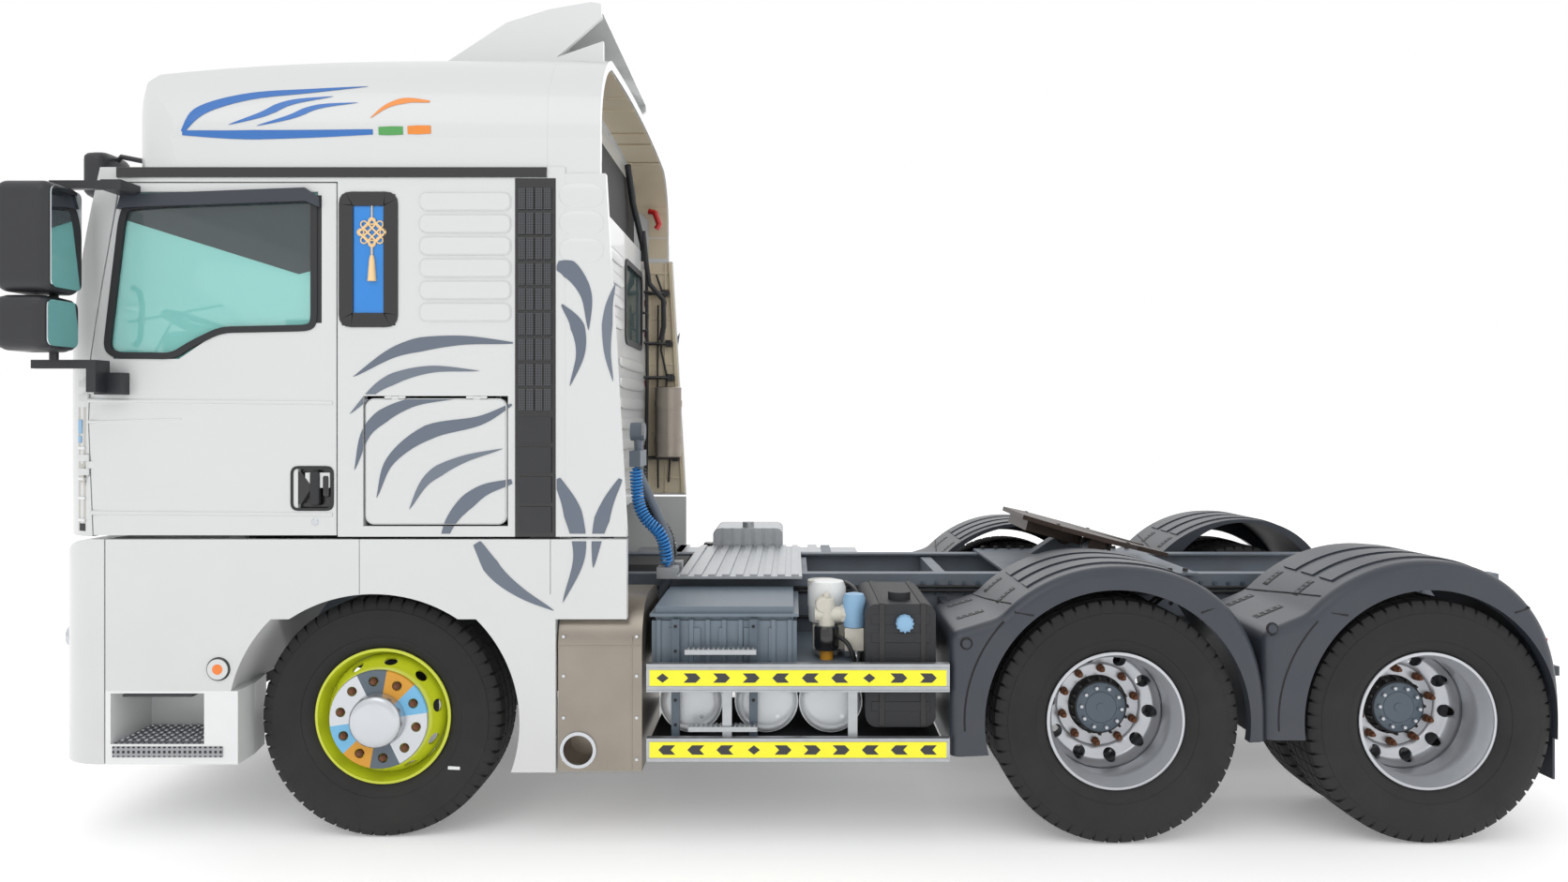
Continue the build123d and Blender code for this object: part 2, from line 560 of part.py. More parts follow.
def window_outline(inset):
    """The door window: a stepped sill that drops towards the front."""
    return [(DOOR_FRONT_X + 86 + inset, 2148), (DOOR_FRONT_X + 162 + inset, WINDOW_TOP_Z - inset),
            (DOOR_REAR_X - 78 - inset, WINDOW_TOP_Z - inset), (DOOR_REAR_X - 78 - inset, 2269),
            (DOOR_REAR_X - 128, 2228 + inset), (DOOR_REAR_X - 492, 2222 + inset),
            (DOOR_REAR_X - 676, 2096 + inset),
            (DOOR_FRONT_X + 116, 2096 + inset)]


FLAP_HALF = 1120.0
FLAP_Z = (CAB_BOTTOM_Z + 6.0, 1906.0)
FLAP_WALL = 45.0
BAY_BACK_X = FRONT_X + 165.0
SCREEN_HALF = 1085.0
SCREEN_Z = (2010.0, 2835.0)
REAR_PANE_Y = (330.0, 950.0)
REAR_PANE_Z = (2300.0, 2760.0)
WALL_DEPTH = CAB_HALF - 1100.0

door_hole = both_sides(slab(door_outline(PANEL_GAP), 1100, WALL_DEPTH + 10))
hatch_hole = both_sides(block((HATCH_X[0] - PANEL_GAP, HATCH_X[1] + PANEL_GAP), (-CAB_HALF - 10, -1100),
                              (HATCH_Z[0] - PANEL_GAP, HATCH_Z[1] + LIFT_GAP)))
quarter_hole = both_sides(block(QUARTER_X, (-CAB_HALF - 10, -1100), QUARTER_Z))
strip_hole = both_sides(block((STRIP_X[0] - 1, STRIP_X[1] + 1), (-CAB_HALF - 10, -CAB_HALF + 25),
                              (CAB_BOTTOM_Z - 1, 2873)))
flap_hole = block((FRONT_X - 10, BAY_BACK_X), (-FLAP_HALF - PANEL_GAP, FLAP_HALF + PANEL_GAP),
                  (CAB_BOTTOM_Z - 10, FLAP_Z[1] + LIFT_GAP))
screen_hole = block((FRONT_X - 10, FRONT_X + 420), (-SCREEN_HALF, SCREEN_HALF), SCREEN_Z)
rear_hole = both_sides(block((CAB_REAR_X - 200, CAB_REAR_X + 10), (-REAR_PANE_Y[1], -REAR_PANE_Y[0]),
                             REAR_PANE_Z))
gooseneck = both_sides(slab([(PIVOT_X, PIVOT_Z - 40), (PIVOT_X + 270, PIVOT_Z - 40),
                             (PIVOT_X + 270, CAB_BOTTOM_Z + 2),
                             (PIVOT_X + 190, CAB_BOTTOM_Z + 2), (PIVOT_X + 190, PIVOT_Z + 40),
                             (PIVOT_X, PIVOT_Z + 40)],
                            CAB_ARM_Y[0], CAB_ARM_Y[1] - CAB_ARM_Y[0]))

# hinges: two to a door, a hatch and the front flap
HINGE_X = DOOR_FRONT_X - 3.0
HINGE_Y = CAB_HALF - 9.0
DOOR_HINGE_ZS = (1640.0, 1960.0)
HATCH_HINGE_XS = (HATCH_X[0] + 130, HATCH_X[1] - 130)
FLAP_HINGE_YS = (-430.0, 430.0)
door_hinges = [hinge(Plane(origin=(HINGE_X, -HINGE_Y, z), x_dir=(1, 0, 0), z_dir=(0, 0, 1)), 46)
               for z in DOOR_HINGE_ZS]
hatch_hinges = [hinge(Plane(origin=(x, -CAB_HALF + HINGE_IN, HATCH_Z[1] + HINGE_OVER), x_dir=(0, 0, -1),
                            z_dir=(1, 0, 0)))
                for x in HATCH_HINGE_XS]
flap_hinges = [hinge(Plane(origin=(FRONT_X + HINGE_IN, y, FLAP_Z[1] + HINGE_OVER), x_dir=(0, 0, -1),
                           z_dir=(0, 1, 0)))
               for y in FLAP_HINGE_YS]

PAD_X = (FRONT_X + 1649.0, FRONT_X + 2043.0)
PAD_Z = (2249.0, 2820.0)
PAD_COUNT = 6
PAD_PROUD = 9.0
pad_pitch = (PAD_Z[1] - PAD_Z[0]) / PAD_COUNT
with BuildPart() as side_pads:
    # a ladder of shallow cushions pressed into the side behind the small window
    with BuildSketch(Plane.XZ.offset(CAB_HALF - 2)):
        for row in range(PAD_COUNT):
            with Locations(((PAD_X[0] + PAD_X[1]) / 2, PAD_Z[0] + (row + 0.5) * pad_pitch)):
                RectangleRounded(PAD_X[1] - PAD_X[0], pad_pitch - 14, 30)
    extrude(amount=PAD_PROUD + 2)
    chamfer(side_pads.faces().filter_by(Axis.Y).sort_by(Axis.Y)[:PAD_COUNT].edges(), PAD_PROUD - 2)

with BuildPart() as cab_shell:
    add(cab_walls.part)
    for hole in (door_hole, hatch_hole, quarter_hole, strip_hole, flap_hole, screen_hole, rear_hole):
        add(hole, mode=Mode.SUBTRACT)
    for fixed, moving, room in door_hinges + hatch_hinges:
        add(both_sides(room), mode=Mode.SUBTRACT)
        add(both_sides(fixed))
    for fixed, moving, room in flap_hinges:
        add(room, mode=Mode.SUBTRACT)
        add(fixed)
    add(both_sides(side_pads.part))
    # firewall behind the front flap, with its shelf under the windscreen
    add(block((BAY_BACK_X, BAY_BACK_X + 40), (-1180, 1180), (CAB_BOTTOM_Z, SCREEN_Z[0] - 20)))
    add(block((FRONT_X + 60, BAY_BACK_X + 10), (-1000, 1000), (FLAP_Z[1] + 12, FLAP_Z[1] + 42)))
    add(gooseneck)
    for side in (1, -1):
        with Locations(Plane.XZ.offset(side * (CAB_ARM_Y[0] + CAB_ARM_Y[1]) / 2) * Location((PIVOT_X,
                                                                                             PIVOT_Z, 0))):
            Cylinder(40, CAB_ARM_Y[1] - CAB_ARM_Y[0])
            Cylinder(PIVOT_PIN_R + RUNNING_GAP, 200, mode=Mode.SUBTRACT)
save(cab_shell, "cab_shell")

# ---------------------------------------------------------------- doors, glass, mirrors
HANDLE_X = (DOOR_REAR_X - 165.0, DOOR_REAR_X - 22.0)
HANDLE_Z = (1447.0, 1632.0)
GLASS_THICK = 6.0
GLASS_IN = 12.0

door_zone = slab(door_outline(0), 1100, WALL_DEPTH + 10)
window_zone = slab(window_outline(0), 1100, WALL_DEPTH + 10)
with BuildPart() as door:
    add(cab_walls.part)
    add(door_zone, mode=Mode.INTERSECT)
    add(window_zone, mode=Mode.SUBTRACT)
    # grip recess
    add(block(HANDLE_X, (-CAB_HALF - 1, -CAB_HALF + 30), HANDLE_Z), mode=Mode.SUBTRACT)
    add(block((HANDLE_X[0] + 30, HANDLE_X[1] - 8), (-CAB_HALF + 4, -CAB_HALF + 31),
              (HANDLE_Z[0] + 95, HANDLE_Z[1] - 25)))
    for fixed, moving, room in door_hinges:
        add(room, mode=Mode.SUBTRACT)
        add(moving)
save(door, "door_left")
mirrored(door, "door_right")

with BuildPart() as door_glass:
    add(slab(window_outline(SEAT_GAP), CAB_HALF - GLASS_IN - GLASS_THICK, GLASS_THICK))
save(door_glass, "door_glass_left")
mirrored(door_glass, "door_glass_right")

with BuildPart() as cab_glass:
    add(cab_envelope(GLASS_IN))
    add(cab_envelope(GLASS_IN + GLASS_THICK), mode=Mode.SUBTRACT)
    add(block((FRONT_X - 10, FRONT_X + 420), (-SCREEN_HALF + SEAT_GAP, SCREEN_HALF - SEAT_GAP),
              (SCREEN_Z[0] + SEAT_GAP, SCREEN_Z[1] - SEAT_GAP)), mode=Mode.INTERSECT)
    for side in (1, -1):
        y = side * (CAB_HALF - GLASS_IN)
        add(block((QUARTER_X[0] + SEAT_GAP, QUARTER_X[1] - SEAT_GAP), sorted((y, y - side * GLASS_THICK)),
                  (QUARTER_Z[0] + SEAT_GAP, QUARTER_Z[1] - SEAT_GAP)))
        y_pair = sorted((side * (REAR_PANE_Y[0] + SEAT_GAP), side * (REAR_PANE_Y[1] - SEAT_GAP)))
        add(block((CAB_REAR_X - GLASS_IN - GLASS_THICK, CAB_REAR_X - GLASS_IN), y_pair,
                  (REAR_PANE_Z[0] + SEAT_GAP, REAR_PANE_Z[1] - SEAT_GAP)))
save(cab_glass, "cab_glass")

MIRROR_Y = (CAB_HALF + 88.0, CAB_HALF + 300.0)
MIRROR_X = (FRONT_X + 40.0, FRONT_X + 270.0)
MAIN_MIRROR_Z = (2352.0, 2802.0)
WIDE_MIRROR_Z = (2115.0, 2340.0)
ARM_R = 17.0
ARM_Y = CAB_HALF + 60.0
with BuildPart() as main_mirror:
    add(block(MIRROR_X, (-MIRROR_Y[1], -MIRROR_Y[0]), MAIN_MIRROR_Z))
    fillet(main_mirror.edges(), 45)
with BuildPart() as wide_mirror:
    add(block((MIRROR_X[0], MIRROR_X[1] - 20), (-MIRROR_Y[1], -MIRROR_Y[0]), WIDE_MIRROR_Z))
    fillet(wide_mirror.edges(), 45)
with BuildPart() as mirrors:
    add(main_mirror.part)
    add(wide_mirror.part)
    # bar behind both housings, then the upper and lower arms to the door
    with Locations((FRONT_X + 165, -ARM_Y - 60, (WIDE_MIRROR_Z[0] + MAIN_MIRROR_Z[1]) / 2)):
        Cylinder(ARM_R, MAIN_MIRROR_Z[1] - WIDE_MIRROR_Z[0] + 60)
    add(block((FRONT_X + 150, FRONT_X + 395), (-ARM_Y - 70, -ARM_Y - 38),
              (MAIN_MIRROR_Z[1] - 2, MAIN_MIRROR_Z[1] + 32)))
    add(block((FRONT_X + 365, FRONT_X + 450), (-ARM_Y - 70, -CAB_HALF - SEAT_GAP),
              (MAIN_MIRROR_Z[1] - 6, MAIN_MIRROR_Z[1] + 36)))
    add(block((FRONT_X + 75, FRONT_X + 330), (-ARM_Y - 70, -ARM_Y - 38),
              (WIDE_MIRROR_Z[0] - 66, WIDE_MIRROR_Z[0] - 30)))
    add(block((FRONT_X + 305, FRONT_X + 345), (-ARM_Y - 70, -ARM_Y + 20), (1950, WIDE_MIRROR_Z[0] - 30)))
    add(block((FRONT_X + 290, FRONT_X + 403), (-ARM_Y, -CAB_HALF - 20), (1942, 2035)))
    add(block((FRONT_X + 325, FRONT_X + 403), (-CAB_HALF - 25, -CAB_HALF - SEAT_GAP), (1942, 2035)))
save(mirrors, "mirrors_left")
mirrored(mirrors, "mirrors_right")

# ---------------------------------------------------------------- hatches and front flap
with BuildPart() as hatch:
    with BuildSketch(Plane.XZ.offset(CAB_HALF - CAB_WALL)):
        with Locations(((HATCH_X[0] + HATCH_X[1]) / 2, (HATCH_Z[0] + HATCH_Z[1]) / 2)):
            RectangleRounded(HATCH_X[1] - HATCH_X[0], HATCH_Z[1] - HATCH_Z[0], HATCH_R)
    extrude(amount=CAB_WALL)
    chamfer(hatch.edges().filter_by(Axis.X).group_by(Axis.Z)[-1].sort_by(Axis.Y)[0], HINGE_IN + 1)
    for fixed, moving, room in hatch_hinges:
        add(room, mode=Mode.SUBTRACT)
        add(moving)
save(hatch, "hatch_left")
mirrored(hatch, "hatch_right")

SLAT_COUNT = 5
flap_inner = cab_envelope(FLAP_WALL)
flap_bevel = slab([(FRONT_X - 20, FLAP_Z[1] - 28), (FRONT_X - 20, FLAP_Z[1] + 1),
                   (FRONT_X + HINGE_IN + 1, FLAP_Z[1] + 1)],
                  -FLAP_HALF - 5, 2 * FLAP_HALF + 10)
flap_zone = block((FRONT_X - 10, BAY_BACK_X - 12), (-FLAP_HALF, FLAP_HALF), FLAP_Z)
with BuildPart() as front_flap:
    add(cab_outer)
    add(flap_inner, mode=Mode.SUBTRACT)
    add(flap_zone, mode=Mode.INTERSECT)
    # grille mouths between level slats
    for row in range(SLAT_COUNT):
        slat_z = FLAP_Z[0] + 95 + row * 90
        add(block((FRONT_X - 10, FRONT_X + 32), (-820, 820), (slat_z, slat_z + 52)), mode=Mode.SUBTRACT)
    add(flap_bevel, mode=Mode.SUBTRACT)
    for fixed, moving, room in flap_hinges:
        add(room, mode=Mode.SUBTRACT)
        add(moving)
save(front_flap, "front_flap")

# ---------------------------------------------------------------- roof, spoiler, fairings
ROOF_WALL = 35.0
ROOF_REAR_X = FRONT_X + 2196.0
ROOF_EDGE_Z = 3480.0


def roof_form(inset):
    """The high roof as the overlap of its side, end and plan outlines."""
    low = CAB_TOP_Z + SEAT_GAP - (5 if inset else 0)
    rear = ROOF_REAR_X
    half = CAB_HALF - 5 - inset
    with BuildPart() as form:
        with BuildSketch(Plane.XZ.offset(-CAB_HALF)):
            with BuildLine():
                nose = FRONT_X + SCREEN_TOP_BACK + inset
                ThreePointArc((nose, low), (nose + 80, 3165 - inset), (nose + 200, 3352 - inset))
                ThreePointArc((nose + 200, 3352 - inset), (nose + 830, 3432 - inset),
                              (rear, ROOF_EDGE_Z - inset))
                Line((rear, ROOF_EDGE_Z - inset), (rear, low))
                Line((rear, low), (nose, low))
            make_face()
        extrude(amount=CAB_WIDTH)
        with BuildSketch(Plane.YZ.offset(FRONT_X)):
            with BuildLine():
                Line((-half, low), (-half + 5, 3050))
                ThreePointArc((-half + 5, 3050), (-half + 70, 3320 - inset),
                              (-half + 290, ROOF_EDGE_Z - inset))
                ThreePointArc((-half + 290, ROOF_EDGE_Z - inset), (0, ROOF_EDGE_Z + 40 - inset),
                              (half - 290, ROOF_EDGE_Z - inset))
                ThreePointArc((half - 290, ROOF_EDGE_Z - inset), (half - 70, 3320 - inset),
                              (half - 5, 3050))
                Line((half - 5, 3050), (half, low))
                Line((half, low), (-half, low))
            make_face()
        extrude(amount=CAB_LENGTH, mode=Mode.INTERSECT)
        with BuildSketch(Plane.XY.offset(low)):
            with BuildLine():
                nose_x = FRONT_X + SCREEN_TOP_BACK + inset
                Line((rear, -half), (nose_x + 60, -half))
                ThreePointArc((nose_x + 60, -half), (nose_x, 0), (nose_x + 60, half))
                Line((nose_x + 60, half), (rear, half))
                Line((rear, half), (rear, -half))
            corners = make_face().vertices().sort_by(Axis.X)[0:2]
            fillet(corners, 320)
        extrude(amount=800, mode=Mode.INTERSECT)
    return form.part


roof_outer = roof_form(0)
roof_inner = roof_form(ROOF_WALL)
roof_front = block((FRONT_X, ROOF_REAR_X - ROOF_WALL), (-CAB_HALF, CAB_HALF), (CAB_TOP_Z - 10, 3800))
with BuildPart() as roof_cap:
    add(roof_outer)
    add(roof_inner & roof_front, mode=Mode.SUBTRACT)
save(roof_cap, "roof_cap")

SPOILER_HALF = 750.0
SPOILER_TOP_Z = 3834.0
SPOILER_WALL = 25.0
SPOILER_FRONT_X = FRONT_X + 1435.0
SPOILER_REAR_X = FRONT_X + 2335.0
with BuildPart() as roof_spoiler:
    with BuildSketch(Plane.XZ.offset(-SPOILER_HALF)):
        with BuildLine():
            Polyline((SPOILER_FRONT_X, 3440), (SPOILER_FRONT_X + 450, 3736), (SPOILER_FRONT_X + 650, 3798),
                     (SPOILER_REAR_X - 50, SPOILER_TOP_Z), (SPOILER_REAR_X, SPOILER_TOP_Z - 8),
                     (SPOILER_REAR_X + 12, 3640), (SPOILER_REAR_X + 12, 3440), close=True)
        make_face()
    extrude(amount=2 * SPOILER_HALF)
    with BuildSketch(Plane.XZ.offset(-SPOILER_HALF + SPOILER_WALL)):
        with BuildLine():
            Polyline((SPOILER_FRONT_X + 90, 3400), (SPOILER_FRONT_X + 455, 3736 - SPOILER_WALL),
                     (SPOILER_FRONT_X + 650, 3798 - SPOILER_WALL),
                     (SPOILER_REAR_X + 20, SPOILER_TOP_Z - 40),
                     (SPOILER_REAR_X + 20, 3400), close=True)
        make_face()
    extrude(amount=2 * (SPOILER_HALF - SPOILER_WALL), mode=Mode.SUBTRACT)
    # slanting rear cut-out of the side plates
    with BuildSketch(Plane.XZ.offset(-SPOILER_HALF - 5)):
        with BuildLine():
            Polyline((SPOILER_FRONT_X + 690, 3570), (SPOILER_REAR_X + 20, 3775),
                     (SPOILER_REAR_X + 20, 3650), close=True)
        make_face()
    extrude(amount=2 * SPOILER_HALF + 10, mode=Mode.SUBTRACT)
    add(roof_outer, mode=Mode.SUBTRACT)
    add(block((ROOF_REAR_X - 100, SPOILER_REAR_X + 50), (-SPOILER_HALF - 1, SPOILER_HALF + 1),
              (3400, 3525)),
        mode=Mode.SUBTRACT)
save(roof_spoiler, "roof_spoiler")

FAIRING_WALL = 40.0
FAIRING_REAR_LOW_X = FRONT_X + 2539.0
FAIRING_REAR_TOP_X = FRONT_X + 2448.0
FAIRING_TOP_Z = 2893.0
with BuildPart() as roof_apron:
    # the roof's own end outline carried on behind the cab, open to the rear
    with BuildSketch(Plane.YZ.offset(ROOF_REAR_X + SEAT_GAP)):
        half = CAB_HALF - 5
        with BuildLine():
            Line((-half, FAIRING_TOP_Z), (-half + 5, 3050))
            ThreePointArc((-half + 5, 3050), (-half + 70, 3320), (-half + 290, ROOF_EDGE_Z))
            ThreePointArc((-half + 290, ROOF_EDGE_Z), (0, ROOF_EDGE_Z + 40), (half - 290, ROOF_EDGE_Z))
            ThreePointArc((half - 290, ROOF_EDGE_Z), (half - 70, 3320), (half - 5, 3050))
            Line((half - 5, 3050), (half, FAIRING_TOP_Z))
            Line((half, FAIRING_TOP_Z), (-half, FAIRING_TOP_Z))
        outline = make_face()
        offset(outline, amount=-FAIRING_WALL, mode=Mode.SUBTRACT)
        with Locations((0, FAIRING_TOP_Z)):
            Rectangle(2 * half - 2 * FAIRING_WALL, 120, mode=Mode.SUBTRACT)
    extrude(amount=FAIRING_REAR_TOP_X - 25 - ROOF_REAR_X)
side_fairing = slab([(STRIP_X[1] + 2, CAB_BOTTOM_Z), (STRIP_X[1] + 2, FAIRING_TOP_Z + 1),
                     (FAIRING_REAR_TOP_X, FAIRING_TOP_Z + 1),
                     (FAIRING_REAR_LOW_X, CAB_BOTTOM_Z)], CAB_HALF - FAIRING_WALL, FAIRING_WALL)
with BuildPart() as cab_fairings:
    add(roof_apron.part)
    add(side_fairing)
    mirror(side_fairing, about=Plane.XZ)
    # the fairings clear the cab's own rear corner
    add(block((CAB_REAR_X - 300, CAB_REAR_X + SEAT_GAP), (-CAB_HALF - 1, CAB_HALF + 1),
              (CAB_BOTTOM_Z - 1, CAB_TOP_Z + SEAT_GAP)),
        mode=Mode.SUBTRACT)
save(cab_fairings, "cab_fairings")

GUTTER_Z = (2876.0, 2919.0)
GUTTER_PROUD = 7.0
CANISTER_R = 86.0
CANISTER_X = FAIRING_REAR_LOW_X - 108.0
CANISTER_Z = (1588.0, 2052.0)
CANISTER_Y = CAB_HALF - FAIRING_WALL - CANISTER_R - 12.0
with BuildPart() as side_canister:
    with Locations((CANISTER_X, CANISTER_Y, CANISTER_Z[0])):
        Cylinder(CANISTER_R, CANISTER_Z[1] - CANISTER_Z[0], align=(Align.CENTER, Align.CENTER, Align.MIN))
    fillet(side_canister.edges(), 14)
    for band_z in (CANISTER_Z[0] + 90, CANISTER_Z[1] - 130):
        with Locations((CANISTER_X, CANISTER_Y, band_z)):
            Cylinder(CANISTER_R + 5, 40, align=(Align.CENTER, Align.CENTER, Align.MIN))
        add(block((CANISTER_X - 70, CANISTER_X + 10), (CANISTER_Y, CAB_HALF - FAIRING_WALL - SEAT_GAP),
                  (band_z, band_z + 40)))
save(side_canister, "side_canister")

with BuildPart() as intake_strips:
    for side in (1, -1):
        y_pair = sorted((side * (CAB_HALF - 25 + SEAT_GAP), side * (CAB_HALF + 3)))
        add(block(STRIP_X, y_pair, (CAB_BOTTOM_Z, 2872)))
        # rain gutter along the cab's side, under the high roof
        y_pair = sorted((side * (CAB_HALF + SEAT_GAP), side * (CAB_HALF + GUTTER_PROUD)))
        add(block((DOOR_FRONT_X + 130, ROOF_REAR_X), y_pair, GUTTER_Z))
save(intake_strips, "intake_strips")

# ---------------------------------------------------------------- cab interior
FLOOR_Z = CAB_BOTTOM_Z + CAB_WALL
DASH_TOP_Z = 2150.0
INTERIOR_HALF = CAB_HALF - CAB_WALL - 12
WHEEL_CENTRE = (FRONT_X + 395.0, -600.0, 2275.0)
WHEEL_R = 215.0
with BuildPart() as dashboard:
    with BuildSketch(Plane.XZ.offset(-INTERIOR_HALF + 130)):
        with BuildLine():
            Polyline((BAY_BACK_X + 40 + SEAT_GAP, FLOOR_Z + 350),
                     (BAY_BACK_X + 40 + SEAT_GAP, DASH_TOP_Z - 20), (BAY_BACK_X + 120, DASH_TOP_Z),
                     (FRONT_X + 480, DASH_TOP_Z - 60), (FRONT_X + 520, DASH_TOP_Z - 260),
                     (FRONT_X + 330, FLOOR_Z + 350),
                     close=True)
        make_face()
    extrude(amount=2 * (INTERIOR_HALF - 130))
    # steering column and wheel
    column_plane = Plane(origin=(WHEEL_CENTRE[0], WHEEL_CENTRE[1], WHEEL_CENTRE[2]), z_dir=(0.42, 0, 1))
    with Locations(column_plane):
        Torus(WHEEL_R, 16)
        Cylinder(60, 30)
        with PolarLocations(WHEEL_R / 2, 3):
            Box(WHEEL_R, 26, 14)
        Cylinder(34, 300, align=(Align.CENTER, Align.CENTER, Align.MAX))
save(dashboard, "dashboard")

SEAT_X = (FRONT_X + 720.0, FRONT_X + 1240.0)
SEAT_Y = 600.0
SEAT_HALF = 250.0
CUSHION_Z = (1850.0, 1985.0)
BACK_TOP_Z = 2640.0
with BuildPart() as seats:
    for side in (1, -1):
        middle = side * SEAT_Y
        add(block(SEAT_X, (middle - SEAT_HALF, middle + SEAT_HALF), CUSHION_Z))
        add(block((SEAT_X[1] - 110, SEAT_X[1] + 20), (middle - SEAT_HALF, middle + SEAT_HALF),
                  (CUSHION_Z[1] - 20, BACK_TOP_Z)))
        add(block((SEAT_X[0] + 90, SEAT_X[1] - 90), (middle - 170, middle + 170),
                  (FLOOR_Z, CUSHION_Z[0] + 1)))

BUNK_X = (SEAT_X[1] + 130.0, CAB_REAR_X - CAB_WALL - SEAT_GAP)
with BuildPart() as seats_and_bunk:
    add(seats.part)
    add(block(BUNK_X, (-INTERIOR_HALF + 6, INTERIOR_HALF - 6), (2010, 2170)))
    add(block((BUNK_X[0] + 30, BUNK_X[0] + 55), (-650, 650), (FLOOR_Z, 2011)))
    for board_y in (-650, 625):
        add(block((BUNK_X[0] + 30, BUNK_X[1]), (board_y, board_y + 25), (FLOOR_Z, 2011)))
save(seats_and_bunk, "seats_and_bunk")

# ---------------------------------------------------------------- front bumper and lamps
BUMPER_LOW_Z = 353.0
BUMPER_TOP_Z = 1320.0
BUMPER_WALL = 50.0
BUMPER_REAR_X = FRONT_X + 293.0
TILT_CLEAR_R = CAB_BOTTOM_Z - PIVOT_Z - 12.0
LAMP_Y = (700.0, 1130.0)
LAMP_Z = (760.0, 985.0)
LAMP_DEPTH = 120.0
MOUTH_HALF = 620.0


def bumper_form(inset):
    """The bumper's outer form: the cab's plan below a nose that rounds back round the tilt axis."""
    front = FRONT_X + inset
    half = CAB_HALF - inset
    with BuildPart() as form:
        with BuildSketch(Plane.XY.offset(BUMPER_LOW_Z)):
            with BuildLine():
                Line((BUMPER_REAR_X, -half), (front + CAB_FRONT_BOW, -half))
                ThreePointArc((front + CAB_FRONT_BOW, -half), (front, 0), (front + CAB_FRONT_BOW, half))
                Line((front + CAB_FRONT_BOW, half), (BUMPER_REAR_X, half))
                Line((BUMPER_REAR_X, half), (BUMPER_REAR_X, -half))
            corners = make_face().vertices().sort_by(Axis.X)[0:2]
            fillet(corners, 240 - inset)
        extrude(amount=BUMPER_TOP_Z - BUMPER_LOW_Z)
        with BuildSketch(Plane.XZ.offset(-CAB_HALF)):
            radius = TILT_CLEAR_R - inset
            with BuildLine():
                Polyline((BUMPER_REAR_X, PIVOT_Z + radius), (BUMPER_REAR_X, BUMPER_LOW_Z),
                         (front + 70, BUMPER_LOW_Z),
                         (front + 8, BUMPER_LOW_Z + 110), (front, BUMPER_LOW_Z + 225), (front, PIVOT_Z),
                         (PIVOT_X - radius, PIVOT_Z))
                ThreePointArc((PIVOT_X - radius, PIVOT_Z),
                              (PIVOT_X - radius * 0.7071, PIVOT_Z + radius * 0.7071),
                              (PIVOT_X, PIVOT_Z + radius))
                Line((PIVOT_X, PIVOT_Z + radius), (BUMPER_REAR_X, PIVOT_Z + radius))
            make_face()
        extrude(amount=CAB_WIDTH, mode=Mode.INTERSECT)
    return form.part


bumper_outer = bumper_form(0)
bumper_inner = bumper_form(BUMPER_WALL)
with BuildPart() as front_bumper:
    add(bumper_outer)
    add(bumper_inner, mode=Mode.SUBTRACT)
    # the top of the nose stays open between the corners, over the hinge arms
    add(block((FRONT_X + 60, BUMPER_REAR_X + 10), (-700, 700), (PIVOT_Z + 40, BUMPER_TOP_Z + 20)),
        mode=Mode.SUBTRACT)
    for side in (1, -1):
        lamp_y = sorted((side * LAMP_Y[0], side * LAMP_Y[1]))
        add(block((FRONT_X - 10, FRONT_X + LAMP_DEPTH + 60), lamp_y, LAMP_Z), mode=Mode.SUBTRACT)
    # upper and lower air mouths, crossed by bars
    for row in range(3):
        low = BUMPER_LOW_Z + 90 + row * 80
        add(block((FRONT_X - 10, FRONT_X + 80), (-MOUTH_HALF, MOUTH_HALF), (low, low + 52)),
            mode=Mode.SUBTRACT)
    for row in range(3):
        low = PIVOT_Z - 225 + row * 85
        add(block((FRONT_X - 10, FRONT_X + 80), (-MOUTH_HALF, MOUTH_HALF), (low, low + 55)),
            mode=Mode.SUBTRACT)
    # arms that bolt to the rails' front ends
    for side in (1, -1):
        arm_y = sorted((side * (RAIL_OUTER_Y - 5), side * (FLANGE_INNER_Y - 5)))
        add(block((FRONT_X + 44, RAIL_FRONT_X), arm_y, (RAIL_BOTTOM_Z + 40, RAIL_BOTTOM_Z + 150)))
save(front_bumper, "front_bumper")

with BuildPart() as headlamps:
    add(bumper_form(4))
    add(bumper_form(LAMP_DEPTH), mode=Mode.SUBTRACT)
    add(both_sides(block((FRONT_X - 10, FRONT_X + LAMP_DEPTH + 50),
                         (-LAMP_Y[1] + SEAT_GAP, -LAMP_Y[0] - SEAT_GAP),
                         (LAMP_Z[0] + SEAT_GAP, LAMP_Z[1] - SEAT_GAP))), mode=Mode.INTERSECT)
save(headlamps, "headlamps")

# ---------------------------------------------------------------- lower panels, arches, steps
PANEL_WALL = 40.0
PANEL_TOP_Z = 1320.0
PANEL_LOW_Z = 668.0
SKIRT_LOW_Z = 977.0
QUARTER_LOW_Z = 318.0
QUARTER_REAR_X = FRONT_X + 2233.0
ARCH_R = 628.0
ARCH_TOP = 555.0
ARCH_HALF = 612.0
LINER_R = 640.0
LINER_WALL = 8.0
LINER_INNER_Y = 580.0
PANEL_FRONT_X = BUMPER_REAR_X + 6.0

